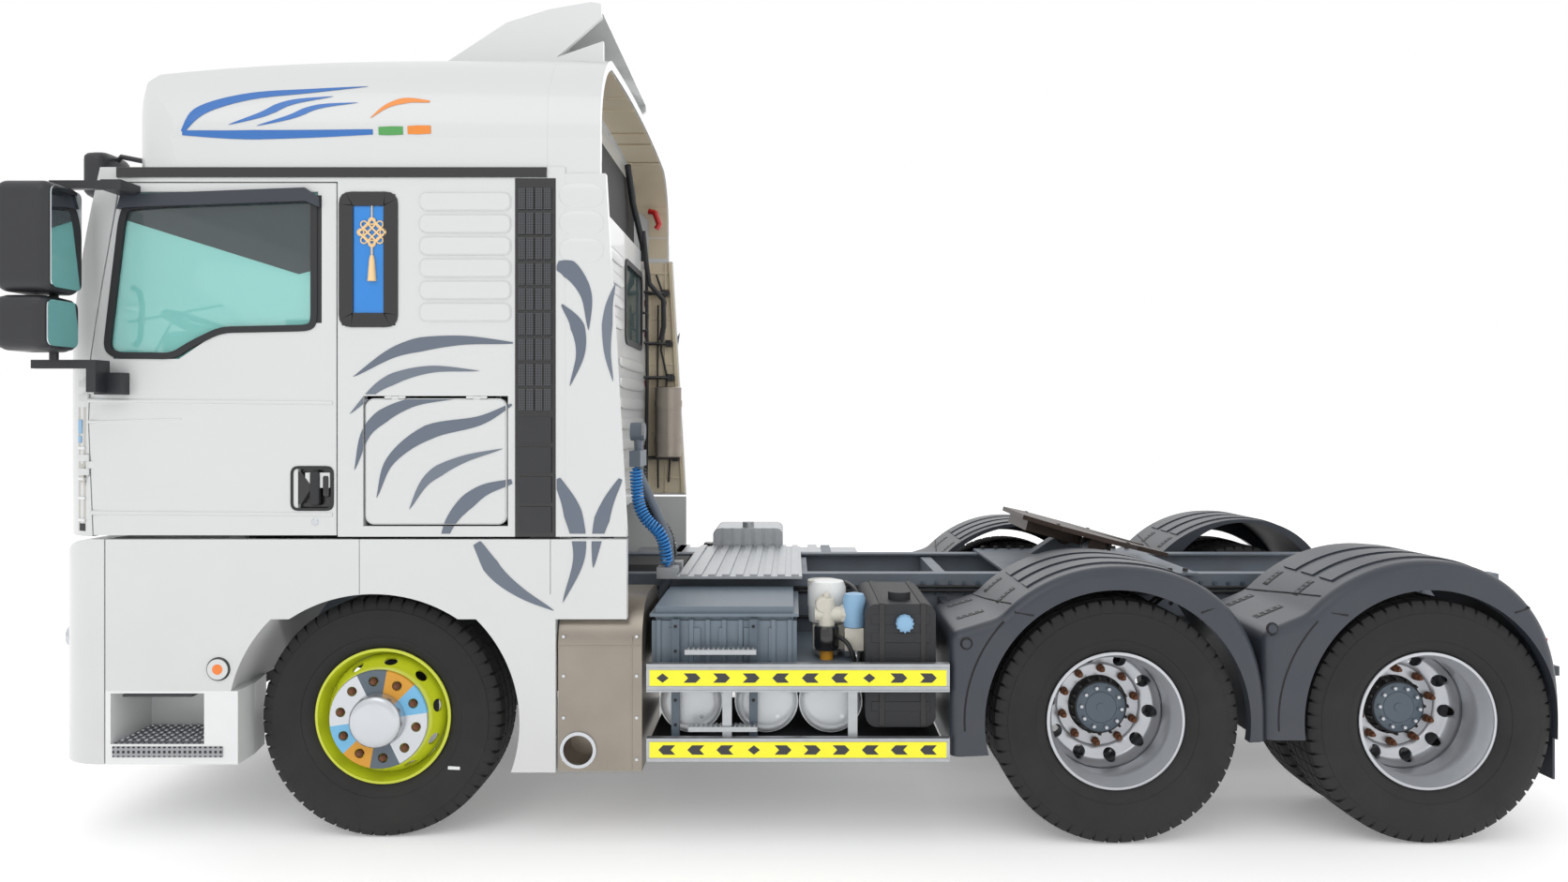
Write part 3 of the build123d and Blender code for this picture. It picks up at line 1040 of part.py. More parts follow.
with BuildPart() as lower_panel:
    with BuildSketch(Plane.XZ.offset(CAB_HALF - PANEL_WALL)):
        with BuildLine():
            Polyline((PANEL_FRONT_X, PANEL_TOP_Z), (FAIRING_REAR_LOW_X, PANEL_TOP_Z),
                     (FAIRING_REAR_LOW_X, SKIRT_LOW_Z),
                     (QUARTER_REAR_X, SKIRT_LOW_Z), (QUARTER_REAR_X, QUARTER_LOW_Z),
                     (STEER_X + 300, QUARTER_LOW_Z),
                     (STEER_X + 300, AXLE_Z), (STEER_X - 300, AXLE_Z), (STEER_X - 300, PANEL_LOW_Z),
                     (PANEL_FRONT_X, PANEL_LOW_Z), close=True)
        make_face()
        with Locations((STEER_X, AXLE_Z)):
            Ellipse(ARCH_HALF, ARCH_TOP, mode=Mode.SUBTRACT)
        with BuildSketch(mode=Mode.SUBTRACT):
            with Locations((STEER_X, AXLE_Z)):
                Circle(ARCH_R)
            with Locations((STEER_X, SKIRT_LOW_Z + 500)):
                Rectangle(2000, 1000, mode=Mode.SUBTRACT)
    extrude(amount=PANEL_WALL)
    # wheel-arch liner, from the panel in towards the rail
    with BuildSketch(Plane.XZ.offset(LINER_INNER_Y)):
        with Locations((STEER_X, AXLE_Z)):
            Circle(LINER_R + LINER_WALL)
            Circle(LINER_R, mode=Mode.SUBTRACT)
        with Locations((STEER_X, PANEL_LOW_Z - 1000)):
            Rectangle(2000, 2000, mode=Mode.SUBTRACT)
    extrude(amount=CAB_HALF - PANEL_WALL - LINER_INNER_Y + 5)
    # stay from the liner's crown to the rail's top flange
    add(block((STEER_X - 30, STEER_X + 30), (-LINER_INNER_Y - 30, -FLANGE_INNER_Y - 5),
              (AXLE_Z + LINER_R + 2, AXLE_Z + LINER_R + 40)))
    add(block((STEER_X - 30, STEER_X + 30), (-RAIL_OUTER_Y + 10, -FLANGE_INNER_Y - 5),
              (RAIL_TOP_Z, AXLE_Z + LINER_R + 4)))
    # round marker lamp ahead of the arch
    with Locations(Plane.XZ.offset(CAB_HALF - 2) * Location((STEER_X - 665, 763, 0))):
        Cylinder(44, 12, align=(Align.CENTER, Align.CENTER, Align.MIN))
    # joints between the moulded pieces
    for seam_x in (STEER_X - 60, QUARTER_REAR_X - 22):
        seam_low = max(SKIRT_LOW_Z, AXLE_Z + ARCH_TOP)
        add(block((seam_x - 2, seam_x + 2), (-CAB_HALF - 1, -CAB_HALF + 6), (seam_low, PANEL_TOP_Z + 1)),
            mode=Mode.SUBTRACT)
save(lower_panel, "lower_panels_left")
mirrored(lower_panel, "lower_panels_right")

STEP_X = (PANEL_FRONT_X, STEER_X - 582.0)
STEP_INNER_Y = 940.0
STEP_LOW_Z = BUMPER_LOW_Z
TREAD_Z = 440.0
with BuildPart() as step:
    # the inner rear corner is cut back for the steered tyre
    with BuildSketch(Plane.XY.offset(STEP_LOW_Z)):
        with BuildLine():
            Polyline((STEP_X[0], -CAB_HALF), (STEP_X[1], -CAB_HALF), (STEP_X[1], -STEP_INNER_Y - 170),
                     (STEP_X[1] - 35, -STEP_INNER_Y), (STEP_X[0], -STEP_INNER_Y), close=True)
        make_face()
    extrude(amount=PANEL_LOW_Z - STEP_LOW_Z)
    # foot well, open outwards
    add(block((STEP_X[0] + 22, STEP_X[1] - 145), (-CAB_HALF - 1, -STEP_INNER_Y - 25),
              (TREAD_Z, PANEL_LOW_Z - 10)),
        mode=Mode.SUBTRACT)
    add(block((STEP_X[0] + 40, STEP_X[1] - 30), (-CAB_HALF + 25, -STEP_INNER_Y + 1),
              (STEP_LOW_Z - 1, TREAD_Z - 30)),
        mode=Mode.SUBTRACT)
with BuildPart() as steps:
    add(step.part)
    mirror(step.part, about=Plane.XZ)
save(steps, "steps")

# ---------------------------------------------------------------- driver's-side equipment
EXHAUST_X = (QUARTER_REAR_X + 8.0, QUARTER_REAR_X + 369.0)
EXHAUST_Y = (640.0, CAB_HALF - 15.0)
EXHAUST_Z = (318.0, 1058.0)
OUTLET_R = 66.0
OUTLET_WALL = 7.0
OUTLET_X = EXHAUST_X[0] + 87.0
OUTLET_Z = 411.0
with BuildPart() as exhaust_box:
    add(block(EXHAUST_X, (-EXHAUST_Y[1], -EXHAUST_Y[0]), EXHAUST_Z))
    top_edges = exhaust_box.edges().filter_by(Axis.X).sort_by(Axis.Z)[-2:]
    fillet(top_edges, 200)
    with Locations(Plane.XZ.offset(EXHAUST_Y[1] - 150) * Location((OUTLET_X, OUTLET_Z, 0))):
        Cylinder(OUTLET_R + OUTLET_WALL, 158, align=(Align.CENTER, Align.CENTER, Align.MIN))
        Cylinder(OUTLET_R, 160, align=(Align.CENTER, Align.CENTER, Align.MIN), mode=Mode.SUBTRACT)
    # brackets to the rail's web
    for bracket_x in (EXHAUST_X[0] + 60, EXHAUST_X[1] - 140):
        add(block((bracket_x - 20, bracket_x + 20), (-EXHAUST_Y[0] - 5, -RAIL_OUTER_Y), (800, 950)))
save(exhaust_box, "exhaust_box")

SHELF_X = (EXHAUST_X[1] + 20.0, EXHAUST_X[1] + 940.0)
SHELF_OUTER_Y = 1150.0
SHELF_Z = (725.0, 755.0)
BATTERY_X = (EXHAUST_X[1] + 30.0, EXHAUST_X[1] + 668.0)
BATTERY_Y = (560.0, 1140.0)
BATTERY_TOP_Z = 1010.0
with BuildPart() as battery_box:
    # support shelf off the rail's web
    add(block(SHELF_X, (-SHELF_OUTER_Y, -RAIL_OUTER_Y), SHELF_Z))
    for arm_x in (SHELF_X[0] + 40, (SHELF_X[0] + SHELF_X[1]) / 2, SHELF_X[1] - 40):
        add(slab([(arm_x - 15, SHELF_Z[1] - 1), (arm_x - 15, SHELF_Z[1] + 150),
                  (arm_x + 15, SHELF_Z[1] + 150),
                  (arm_x + 15, SHELF_Z[1] - 1)], RAIL_OUTER_Y, 90))
    add(block(BATTERY_X, (-BATTERY_Y[1], -BATTERY_Y[0]), (SHELF_Z[1] - 1, BATTERY_TOP_Z - 60)))
    add(block((BATTERY_X[0] + 15, BATTERY_X[1] - 15), (-BATTERY_Y[1] + 15, -BATTERY_Y[0] - 15),
              (SHELF_Z[1], BATTERY_TOP_Z)))
    for row in range(5):
        rib_x = BATTERY_X[0] + 90 + row * 110
        add(block((rib_x - 14, rib_x + 14), (-BATTERY_Y[1] - 8, -BATTERY_Y[1] + 1),
                  (SHELF_Z[1] + 20, BATTERY_TOP_Z - 90)))
save(battery_box, "battery_box")

TANK_R = 140.0
TANK_LENGTH = 560.0
TANK_OUTER_Y = 1120.0
TANK_Z = SHELF_Z[0] - SEAT_GAP - TANK_R
TANK_XS = (EXHAUST_X[1] + 198.0, EXHAUST_X[1] + 533.0, EXHAUST_X[1] + 818.5)
with BuildPart() as air_tanks:
    for tank_x in TANK_XS:
        with Locations(Plane.XZ.offset(TANK_OUTER_Y - TANK_LENGTH) * Location((tank_x, TANK_Z, 0))):
            Cylinder(TANK_R, TANK_LENGTH, align=(Align.CENTER, Align.CENTER, Align.MIN))
    fillet(air_tanks.edges().filter_by(GeomType.CIRCLE), 50)
save(air_tanks, "air_tanks")

DRYER_X = SHELF_X[1] - 130.0
DRYER_Y = 900.0
with BuildPart() as air_dryer:
    with Locations((DRYER_X, -DRYER_Y, SHELF_Z[1])):
        Cylinder(62, 150, align=(Align.CENTER, Align.CENTER, Align.MIN))
    with Locations((DRYER_X, -DRYER_Y, SHELF_Z[1] + 150)):
        Cylinder(84, 70, align=(Align.CENTER, Align.CENTER, Align.MIN))
    with Locations((DRYER_X - 20, -DRYER_Y + 20, SHELF_Z[1] + 215)):
        Cylinder(70, 120, align=(Align.CENTER, Align.CENTER, Align.MIN))
save(air_dryer, "air_dryer")

UREA_X = (SHELF_X[1] + 28.0, SHELF_X[1] + 335.0)
UREA_Y = (560.0, 1175.0)
UREA_Z = (493.0, 1030.0)
with BuildPart() as urea_tank:
    add(block(UREA_X, (-UREA_Y[1], -UREA_Y[0]), UREA_Z))
    fillet(urea_tank.edges().filter_by(Axis.Y), 50)
    with Locations((UREA_X[0] + 160, -UREA_Y[1] + 130, UREA_Z[1] - 5)):
        Cylinder(50, 40, align=(Align.CENTER, Align.CENTER, Align.MIN))
    add(block((UREA_X[0] + 60, UREA_X[0] + 120), (-UREA_Y[0] - 5, -RAIL_OUTER_Y),
              (RAIL_BOTTOM_Z + 30, RAIL_BOTTOM_Z + 200)))
    add(block((UREA_X[1] - 120, UREA_X[1] - 60), (-UREA_Y[0] - 5, -RAIL_OUTER_Y),
              (RAIL_BOTTOM_Z + 30, RAIL_BOTTOM_Z + 200)))
save(urea_tank, "urea_tank")

GUARD_X = (EXHAUST_X[1] + 21.0, EXHAUST_X[1] + 1325.0)
GUARD_Y = (CAB_HALF - 30.0, CAB_HALF)
UPPER_GUARD_Z = (664.0, 785.0)
LOWER_GUARD_Z = (365.0, 466.0)
POST_Y = (GUARD_Y[0] - 30.0, GUARD_Y[0])
with BuildPart() as side_guards:
    for z_pair in (UPPER_GUARD_Z, LOWER_GUARD_Z):
        add(block(GUARD_X, (-GUARD_Y[1], -GUARD_Y[0]), z_pair))
    for post_x in (TANK_XS[0] + 168, SHELF_X[1] - 30):
        add(block((post_x - 20, post_x + 20), (-POST_Y[1] - 1, -POST_Y[0]),
                  (LOWER_GUARD_Z[0] + 10, UPPER_GUARD_Z[1] - 10)))
        add(block((post_x - 20, post_x + 20), (-POST_Y[0] - 1, -SHELF_OUTER_Y), SHELF_Z))

# ---------------------------------------------------------------- far-side equipment
FUEL_X = (EXHAUST_X[0] + 20.0, EXHAUST_X[0] + 1420.0)
FUEL_Y = (500.0, 1170.0)
FUEL_Z = (400.0, 1000.0)
with BuildPart() as fuel_tank:
    add(block(FUEL_X, FUEL_Y, FUEL_Z))
    fillet(fuel_tank.edges().filter_by(Axis.X), 110)
    for strap_x in (FUEL_X[0] + 280, FUEL_X[1] - 280):
        with Locations((strap_x, (FUEL_Y[0] + FUEL_Y[1]) / 2, (FUEL_Z[0] + FUEL_Z[1]) / 2)):
            Box(60, FUEL_Y[1] - FUEL_Y[0] + 8, FUEL_Z[1] - FUEL_Z[0] + 8)
        add(block((strap_x - 30, strap_x + 30), (RAIL_OUTER_Y, FUEL_Y[0] + 2),
                  (RAIL_BOTTOM_Z + 10, RAIL_TOP_Z - 110)))
    with Locations((FUEL_X[0] + 180, FUEL_Y[1] - 190, FUEL_Z[1] - 2)):
        Cylinder(55, 45, align=(Align.CENTER, Align.CENTER, Align.MIN))
save(fuel_tank, "fuel_tank")

RIBBED_X = (FUEL_X[0] + 505.0, FUEL_X[0] + 930.0)
RIBBED_Y = (600.0, 1010.0)
RIBBED_Z = (FUEL_Z[1] + 4 + SEAT_GAP, 1172.0)
with BuildPart() as ribbed_tank:
    add(block(RIBBED_X, RIBBED_Y, RIBBED_Z))
    fillet(ribbed_tank.edges().filter_by(Axis.Y).sort_by(Axis.Z)[-2:], 40)
    for row in range(6):
        groove_x = RIBBED_X[0] + 55 + row * 63
        add(block((groove_x - 9, groove_x + 9), (RIBBED_Y[0] - 1, RIBBED_Y[0] + 12),
                  (RIBBED_Z[0] + 10, RIBBED_Z[1] + 1)),
            mode=Mode.SUBTRACT)
    with Locations(((RIBBED_X[0] + RIBBED_X[1]) / 2, RIBBED_Y[0] + 90, RIBBED_Z[1] - 3)):
        Cylinder(36, 34, align=(Align.CENTER, Align.CENTER, Align.MIN))
save(ribbed_tank, "ribbed_tank")

with BuildPart() as all_guards:
    add(side_guards.part)
    for z_pair in (UPPER_GUARD_Z, LOWER_GUARD_Z):
        add(block((FUEL_X[1] + 20, GUARD_X[1]), GUARD_Y, z_pair))
    add(block((FUEL_X[1] + 90, FUEL_X[1] + 130), POST_Y, (LOWER_GUARD_Z[0] + 10, UPPER_GUARD_Z[1] - 10)))
    add(block((FUEL_X[1] + 90, FUEL_X[1] + 130), (RAIL_OUTER_Y, POST_Y[0] + 1),
              (RAIL_BOTTOM_Z + 10, RAIL_BOTTOM_Z + 30)))
save(all_guards, "side_guards")

# ---------------------------------------------------------------- walkway and hose stand
WALKWAY_X = (EXHAUST_X[1] + 79.0, EXHAUST_X[1] + 697.0)
WALKWAY_HALF = 600.0
WALKWAY_THICK = 12.0
RIB_COUNT = 9
HOSE_FOOT_Y = (552.0, 360.0)
HOSE_FOOT_Z = 1105.0
with BuildPart() as walkway:
    add(block(WALKWAY_X, (-WALKWAY_HALF, WALKWAY_HALF), (RAIL_TOP_Z, RAIL_TOP_Z + WALKWAY_THICK)))
    rib_pitch = (WALKWAY_X[1] - WALKWAY_X[0]) / RIB_COUNT
    for row in range(RIB_COUNT):
        rib_x = WALKWAY_X[0] + (row + 0.5) * rib_pitch
        add(block((rib_x - 18, rib_x + 18), (-WALKWAY_HALF + 5, WALKWAY_HALF - 5),
                  (RAIL_TOP_Z + 2, RAIL_TOP_Z + WALKWAY_THICK + 10)))
    # two blocks that the air hoses run down to, one on each side of the hose stand's foot
    for hose_y in HOSE_FOOT_Y:
        add(block((WALKWAY_X[0] - 100, WALKWAY_X[0] + 2), (-hose_y - 46, -hose_y + 46),
                  (RAIL_TOP_Z, HOSE_FOOT_Z)))
save(walkway, "walkway")

STAND_R = 21.0
STAND_Y = RAIL_OUTER_Y + 26.0
# stand tube, foot to top, in X and Z
STAND_POINTS = ((-862.0, 905.0), (-790.0, 1060.0), (-800.0, 1230.0), (-950.0, 1560.0), (-957.0, 1745.0))
with BuildPart() as hose_stand:
    with BuildLine() as stand_line:
        FilletPolyline([(x, -STAND_Y, z) for x, z in STAND_POINTS], radius=90)
    with BuildSketch(Plane(origin=stand_line.line @ 0, z_dir=stand_line.line % 0)):
        Circle(STAND_R)
    sweep(path=stand_line.line)
    add(block((-915, -815), (-STAND_Y - 6, -RAIL_OUTER_Y), (820, 925)))
    # head with two hose couplings and the work lamp
    add(block((-985, -930), (-STAND_Y - 105, -STAND_Y + 105), (1600, 1680)))
    with Locations((-957, -STAND_Y, 1775)):
        Cylinder(46, 70, rotation=(0, 90, 0))
save(hose_stand, "hose_stand")

HOSE_COIL_R = 33.0
HOSE_BEND_R = 100.0
# the middle line of each coiled air hose, from the stand's head to the walkway's front edge
HOSE_BLUE = ((-957.0, -525.0, 1599.5), (-957.0, -525.0, 1490.0), (-925.0, -545.0, 1350.0),
             (-800.0, -552.0, 1250.0),
             (-800.0, -552.0, 1105.5))
HOSE_BLACK = ((-957.0, -385.0, 1599.5), (-957.0, -385.0, 1490.0), (-925.0, -372.0, 1350.0),
              (-800.0, -360.0, 1250.0),
              (-800.0, -360.0, 1105.5))
for label, route in (("hose_blue", HOSE_BLUE), ("hose_black", HOSE_BLACK)):
    with BuildPart() as hose:
        with BuildLine() as hose_line:
            FilletPolyline(route, radius=HOSE_BEND_R)
        with BuildSketch(Plane(origin=hose_line.line @ 0, z_dir=hose_line.line % 0)):
            Circle(HOSE_COIL_R)
        sweep(path=hose_line.line)
    save(hose, label)
    print(label, "bend radius", HOSE_BEND_R, "tube radius", HOSE_COIL_R, "length",
          round(hose_line.wires()[0].length, 1))

# ---------------------------------------------------------------- fifth wheel
FIFTH_X = DRIVE_1_X + 165.0
FIFTH_Z = 1215.0
FIFTH_TILT = 15.0
FIFTH_PLATE = 24.0
FIFTH_RIB = 55.0
FIFTH_HALF_WIDTH = 450.0
FIFTH_FRONT = 380.0
FIFTH_REAR = 420.0
THROAT_R = 25.5
EAR_Y = 305.0
BASE_PLATE = 12.0
with BuildPart() as fifth_wheel_base:
    add(block((FIFTH_X - 480, FIFTH_X + 480), (-RAIL_OUTER_Y - 60, RAIL_OUTER_Y + 60),
              (RAIL_TOP_Z, RAIL_TOP_Z + BASE_PLATE)))
    for side in (1, -1):
        with BuildSketch(Plane.XZ.offset(side * EAR_Y - 45)):
            with BuildLine():
                Polyline((FIFTH_X - 190, RAIL_TOP_Z + BASE_PLATE - 1),
                         (FIFTH_X + 190, RAIL_TOP_Z + BASE_PLATE - 1),
                         (FIFTH_X + 42, FIFTH_Z - 55), (FIFTH_X - 42, FIFTH_Z - 55), close=True)
            make_face()
        extrude(amount=90)
        with Locations((FIFTH_X, -side * EAR_Y, FIFTH_Z - 55)):
            Cylinder(42, 90, rotation=(90, 0, 0))
            Cylinder(22 + RUNNING_GAP, 92, rotation=(90, 0, 0), mode=Mode.SUBTRACT)
save(fifth_wheel_base, "fifth_wheel_base")

with BuildPart() as fifth_flat:
    # the coupling plate, drawn level about its pivot
    with BuildSketch(Plane.XY.offset(FIFTH_Z)):
        with BuildLine():
            Polyline((FIFTH_X - 220, -FIFTH_HALF_WIDTH), (FIFTH_X + 60, -FIFTH_HALF_WIDTH),
                     (FIFTH_X + 220, -330),
                     (FIFTH_X + FIFTH_REAR, -230), (FIFTH_X + FIFTH_REAR, -150), (FIFTH_X + 60, -THROAT_R),
                     (FIFTH_X + 60, THROAT_R), (FIFTH_X + FIFTH_REAR, 150), (FIFTH_X + FIFTH_REAR, 230),
                     (FIFTH_X + 220, 330), (FIFTH_X + 60, FIFTH_HALF_WIDTH),
                     (FIFTH_X - 220, FIFTH_HALF_WIDTH),
                     (FIFTH_X - FIFTH_FRONT, 260), (FIFTH_X - FIFTH_FRONT, -260), close=True)
        make_face()
        with Locations((FIFTH_X, 0)):
            Circle(THROAT_R, mode=Mode.SUBTRACT)
        with Locations((FIFTH_X + 40, 0)):
            Rectangle(80, 2 * THROAT_R, mode=Mode.SUBTRACT)
    extrude(amount=FIFTH_PLATE)
    # skirt under the plate
    with BuildSketch(Plane.XY.offset(FIFTH_Z - FIFTH_RIB)):
        with Locations((FIFTH_X - 190, 0)):
            Rectangle(300, 440)
            Rectangle(250, 390, mode=Mode.SUBTRACT)
    extrude(amount=FIFTH_RIB + 1)
    for rib_x in (FIFTH_X - 70, FIFTH_X + 110):
        for side in (1, -1):
            y_pair = sorted((side * (THROAT_R + 45), side * (EAR_Y - 70)))
            add(block((rib_x - 8, rib_x + 8), y_pair, (FIFTH_Z - FIFTH_RIB + 10, FIFTH_Z + 1)))
    for side in (1, -1):
        # a cheek each side of the pedestal, with the pin between them
        for cheek_y in (side * (EAR_Y - 60), side * (EAR_Y + 60)):
            with BuildSketch(Plane.XZ.offset(-cheek_y - 9)):
                with Locations((FIFTH_X, FIFTH_Z - 27)):
                    Rectangle(84, 56)
                with Locations((FIFTH_X, FIFTH_Z - 55)):
                    Circle(42)
            extrude(amount=18)
        with Locations((FIFTH_X, side * EAR_Y, FIFTH_Z - 55)):
            Cylinder(22, 130, rotation=(90, 0, 0))
PIVOT_AXIS = Axis((FIFTH_X, 0, FIFTH_Z - 55), (0, 1, 0))
with BuildPart() as fifth_wheel_plate:
    add(fifth_flat.part.rotate(PIVOT_AXIS, FIFTH_TILT))
save(fifth_wheel_plate, "fifth_wheel_plate")

# ---------------------------------------------------------------- rear mudguards and tail
GUARD_SKIN = 20.0
GUARD_LIP_R = 572.0
GUARD_LIP = 50.0        # how wide the outer lip is across the vehicle
GUARD_ROUND = 45.0
GUARD_INNER_Y = 600.0
GUARD_FRONT = 716.0
SHOULDER_Z = AXLE_Z + 385.0
SHOULDER_BLEND = 150.0
SHOULDER_CORNER = 60.0
ARCH_TURN = 48.0        # how far the arch keeps its round forward of the top
ARCH_FULLNESS = 0.745   # where the arch's rear quarter stands half way down
# per axle: its X, the arch's height over the axle, heights of the front and of the rear end,
# how far the rear leg reaches, half the opening in the lip
GUARDS = ((DRIVE_1_X, 672.0, 383.0, 450.0, 645.0, 572.0), (DRIVE_2_X, 697.0, 456.0, 456.0, 564.0, 548.0))


def guard_outline(axle_x, arch, front_low, rear_low, rear_reach):
    """Side outline of a mudguard's outside, before the wheel's space is cut away."""
    shoulder = (axle_x - GUARD_FRONT, SHOULDER_Z)
    rear_x = axle_x + rear_reach
    with BuildSketch(Plane.XZ) as outline:
        with BuildLine():
            Spline((rear_x, AXLE_Z),
                   (axle_x + ARCH_FULLNESS * rear_reach, AXLE_Z + ARCH_FULLNESS * arch),
                   (axle_x, AXLE_Z + arch), tangents=((0, 1), (-1, 0)))
            front = CenterArc((axle_x, AXLE_Z), arch, 90, ARCH_TURN)
            Polyline(front @ 1, shoulder, (shoulder[0], front_low), (rear_x, rear_low), (rear_x, AXLE_Z))
        make_face()
        fillet(outline.vertices().sort_by_distance(front @ 1)[0], radius=SHOULDER_BLEND)
        fillet(outline.vertices().sort_by_distance(shoulder)[0], radius=SHOULDER_CORNER)
    return outline.sketch


def guard_hollow(axle_x, arch, rear_reach, skin):
    """The wheel's space under a mudguard, its skin left standing round it."""
    with BuildSketch(Plane.XZ) as hollow:
        with Locations((axle_x, AXLE_Z)):
            Ellipse(rear_reach - skin, arch - skin)
        with Locations((axle_x, AXLE_Z - 500)):
            Rectangle(2 * (rear_reach - skin), 1000)
    return hollow.sketch


def guard_pocket(axle_x, arch, front_low, rear_reach):
    """The hollow between a mudguard's front skin and its arch."""
    front_x = axle_x - GUARD_FRONT + GUARD_SKIN
    with BuildSketch(Plane.XZ) as pocket:
        with BuildLine():
            Polyline((front_x, front_low - 1), (front_x, SHOULDER_Z - 2 * GUARD_SKIN),
                     (front_x + 40, SHOULDER_Z - GUARD_SKIN), (axle_x - 520, SHOULDER_Z + GUARD_SKIN),
                     (axle_x - 300, SHOULDER_Z), (axle_x - 300, front_low - 1), close=True)
        make_face()
        add(guard_hollow(axle_x, arch, rear_reach, -5), mode=Mode.SUBTRACT)
    return pocket.sketch


def guard_band(axle_x, arch, front_low, rear_low, rear_reach):
    """A raised band that follows the arch over part of its turn."""
    reach = 2 * arch
    with BuildSketch(Plane.XZ) as band:
        add(guard_outline(axle_x, arch + BAND_PROUD, front_low, rear_low, rear_reach + BAND_PROUD))
        with BuildSketch(Plane.XZ, mode=Mode.INTERSECT):
            with BuildLine():
                Polyline((axle_x, AXLE_Z), (axle_x + BAND_SPREAD[1], AXLE_Z + reach),
                         (axle_x - BAND_SPREAD[0], AXLE_Z + reach), close=True)
            make_face()
        add(guard_hollow(axle_x, arch, rear_reach, GUARD_SKIN - 5), mode=Mode.SUBTRACT)
    return band.sketch


BAND_PROUD = 7.0
BAND_YS = (690.0, 855.0, 1020.0)
BAND_WIDTH = 110.0
BAND_SPREAD = (870.0, 1255.0)   # a band's reach forward and rearward at twice the arch's height
guard_outlines = [guard_outline(*guard[:5]) for guard in GUARDS]
guard_bands = [guard_band(*guard[:5]) for guard in GUARDS]
guard_pockets = [guard_pocket(guard[0], guard[1], guard[2], guard[4]) for guard in GUARDS]
guard_hollows = [guard_hollow(guard[0], guard[1], guard[4], GUARD_SKIN) for guard in GUARDS]
guard_bodies = []
for guard, whole, pocket, hollow, band in zip(GUARDS, guard_outlines, guard_pockets, guard_hollows,
                                              guard_bands):
    axle_x, lip_half = guard[0], guard[5]
    with BuildPart() as mudguard:
        with BuildSketch(Plane.XZ.offset(GUARD_INNER_Y)):
            add(whole)
        extrude(amount=CAB_HALF - GUARD_INNER_Y)
        outside = mudguard.faces().sort_by(Axis.Y)[0]
        fillet([edge for edge in outside.edges()
                if max(corner.Z for corner in edge.vertices()) > AXLE_Z - 60], radius=GUARD_ROUND)
        for space in (hollow, pocket):
            with BuildSketch(Plane.XZ.offset(GUARD_INNER_Y - 1)):
                add(space)
            extrude(amount=CAB_HALF - GUARD_LIP - GUARD_INNER_Y + 1, mode=Mode.SUBTRACT)
        with BuildSketch(Plane.XZ.offset(CAB_HALF - GUARD_LIP - 1)):
            with Locations((axle_x, AXLE_Z)):
                Ellipse(lip_half, GUARD_LIP_R)
        extrude(amount=GUARD_LIP + 2, mode=Mode.SUBTRACT)
        for band_y in BAND_YS:
            with BuildSketch(Plane.XZ.offset(band_y)):
                add(band)
            extrude(amount=BAND_WIDTH)
        # stay from the guard's inner edge to the rail
        add(block((axle_x - 660, axle_x - 620), (-GUARD_INNER_Y - 20, -RAIL_OUTER_Y),
                  (SHOULDER_Z - 20, SHOULDER_Z + 20)))
    guard_bodies.append(mudguard.part)
FLAP_X = DRIVE_2_X + GUARDS[1][4] - 2.0
with BuildPart() as mud_flap:
    add(block((FLAP_X, FLAP_X + 10), (-CAB_HALF + 60, -GUARD_INNER_Y - 10), (268, 720)))
    # its bar ends against the spring's rear shackle
    add(block((FLAP_X - 20, FLAP_X + 30),
              (-CAB_HALF + 60, -SPRING_Y - SPRING_WIDTH / 2 - 5 - SEAT_GAP), (719, 760)))
with BuildPart() as rear_mudguards:
    for piece in (*guard_bodies, mud_flap.part):
        add(piece)
        mirror(piece, about=Plane.XZ)
save(rear_mudguards, "rear_mudguards")

TAIL_X = REAR_X - 190.0
LAMP_CLUSTER_Y = (560.0, 940.0)
TAIL_Z = (700.0, 830.0)
with BuildPart() as tail_lamps:
    for side in (1, -1):
        arm = sorted((side * RAIL_OUTER_Y, side * 700))
        lamp = sorted((side * LAMP_CLUSTER_Y[0], side * LAMP_CLUSTER_Y[1]))
        add(block((TAIL_X - 40, TAIL_X), arm, (TAIL_Z[1] - 60, TAIL_Z[1] - 20)))
        add(block((TAIL_X - 1, TAIL_X + 62), lamp, TAIL_Z))
save(tail_lamps, "tail_lamps")
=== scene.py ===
"""Looks of a cab-over tractor unit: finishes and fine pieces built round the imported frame."""

import json
import logging
import math
from dataclasses import dataclass
from enum import Enum
from typing import Iterable, Sequence, Union

import bmesh
import bpy
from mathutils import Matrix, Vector
from mathutils.bvhtree import BVHTree

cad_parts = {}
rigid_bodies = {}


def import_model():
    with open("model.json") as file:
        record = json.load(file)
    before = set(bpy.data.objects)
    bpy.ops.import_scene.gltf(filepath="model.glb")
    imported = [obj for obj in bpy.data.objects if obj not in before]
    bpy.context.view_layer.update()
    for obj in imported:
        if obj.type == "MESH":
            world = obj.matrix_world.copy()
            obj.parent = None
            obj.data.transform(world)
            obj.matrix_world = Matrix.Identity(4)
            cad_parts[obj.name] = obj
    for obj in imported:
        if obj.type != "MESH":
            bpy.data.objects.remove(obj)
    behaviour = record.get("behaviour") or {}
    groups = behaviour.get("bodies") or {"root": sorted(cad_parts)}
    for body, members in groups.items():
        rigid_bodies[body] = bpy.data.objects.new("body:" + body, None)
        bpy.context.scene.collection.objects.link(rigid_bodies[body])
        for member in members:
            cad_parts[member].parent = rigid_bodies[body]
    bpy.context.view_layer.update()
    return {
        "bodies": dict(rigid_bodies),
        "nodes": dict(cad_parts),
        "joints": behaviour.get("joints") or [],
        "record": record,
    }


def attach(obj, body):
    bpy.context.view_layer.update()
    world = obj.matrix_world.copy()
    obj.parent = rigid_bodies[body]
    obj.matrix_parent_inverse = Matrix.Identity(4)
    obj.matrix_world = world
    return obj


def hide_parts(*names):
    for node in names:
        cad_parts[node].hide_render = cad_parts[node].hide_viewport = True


LOG = logging.getLogger("tractor_unit")
Point = Sequence[float]
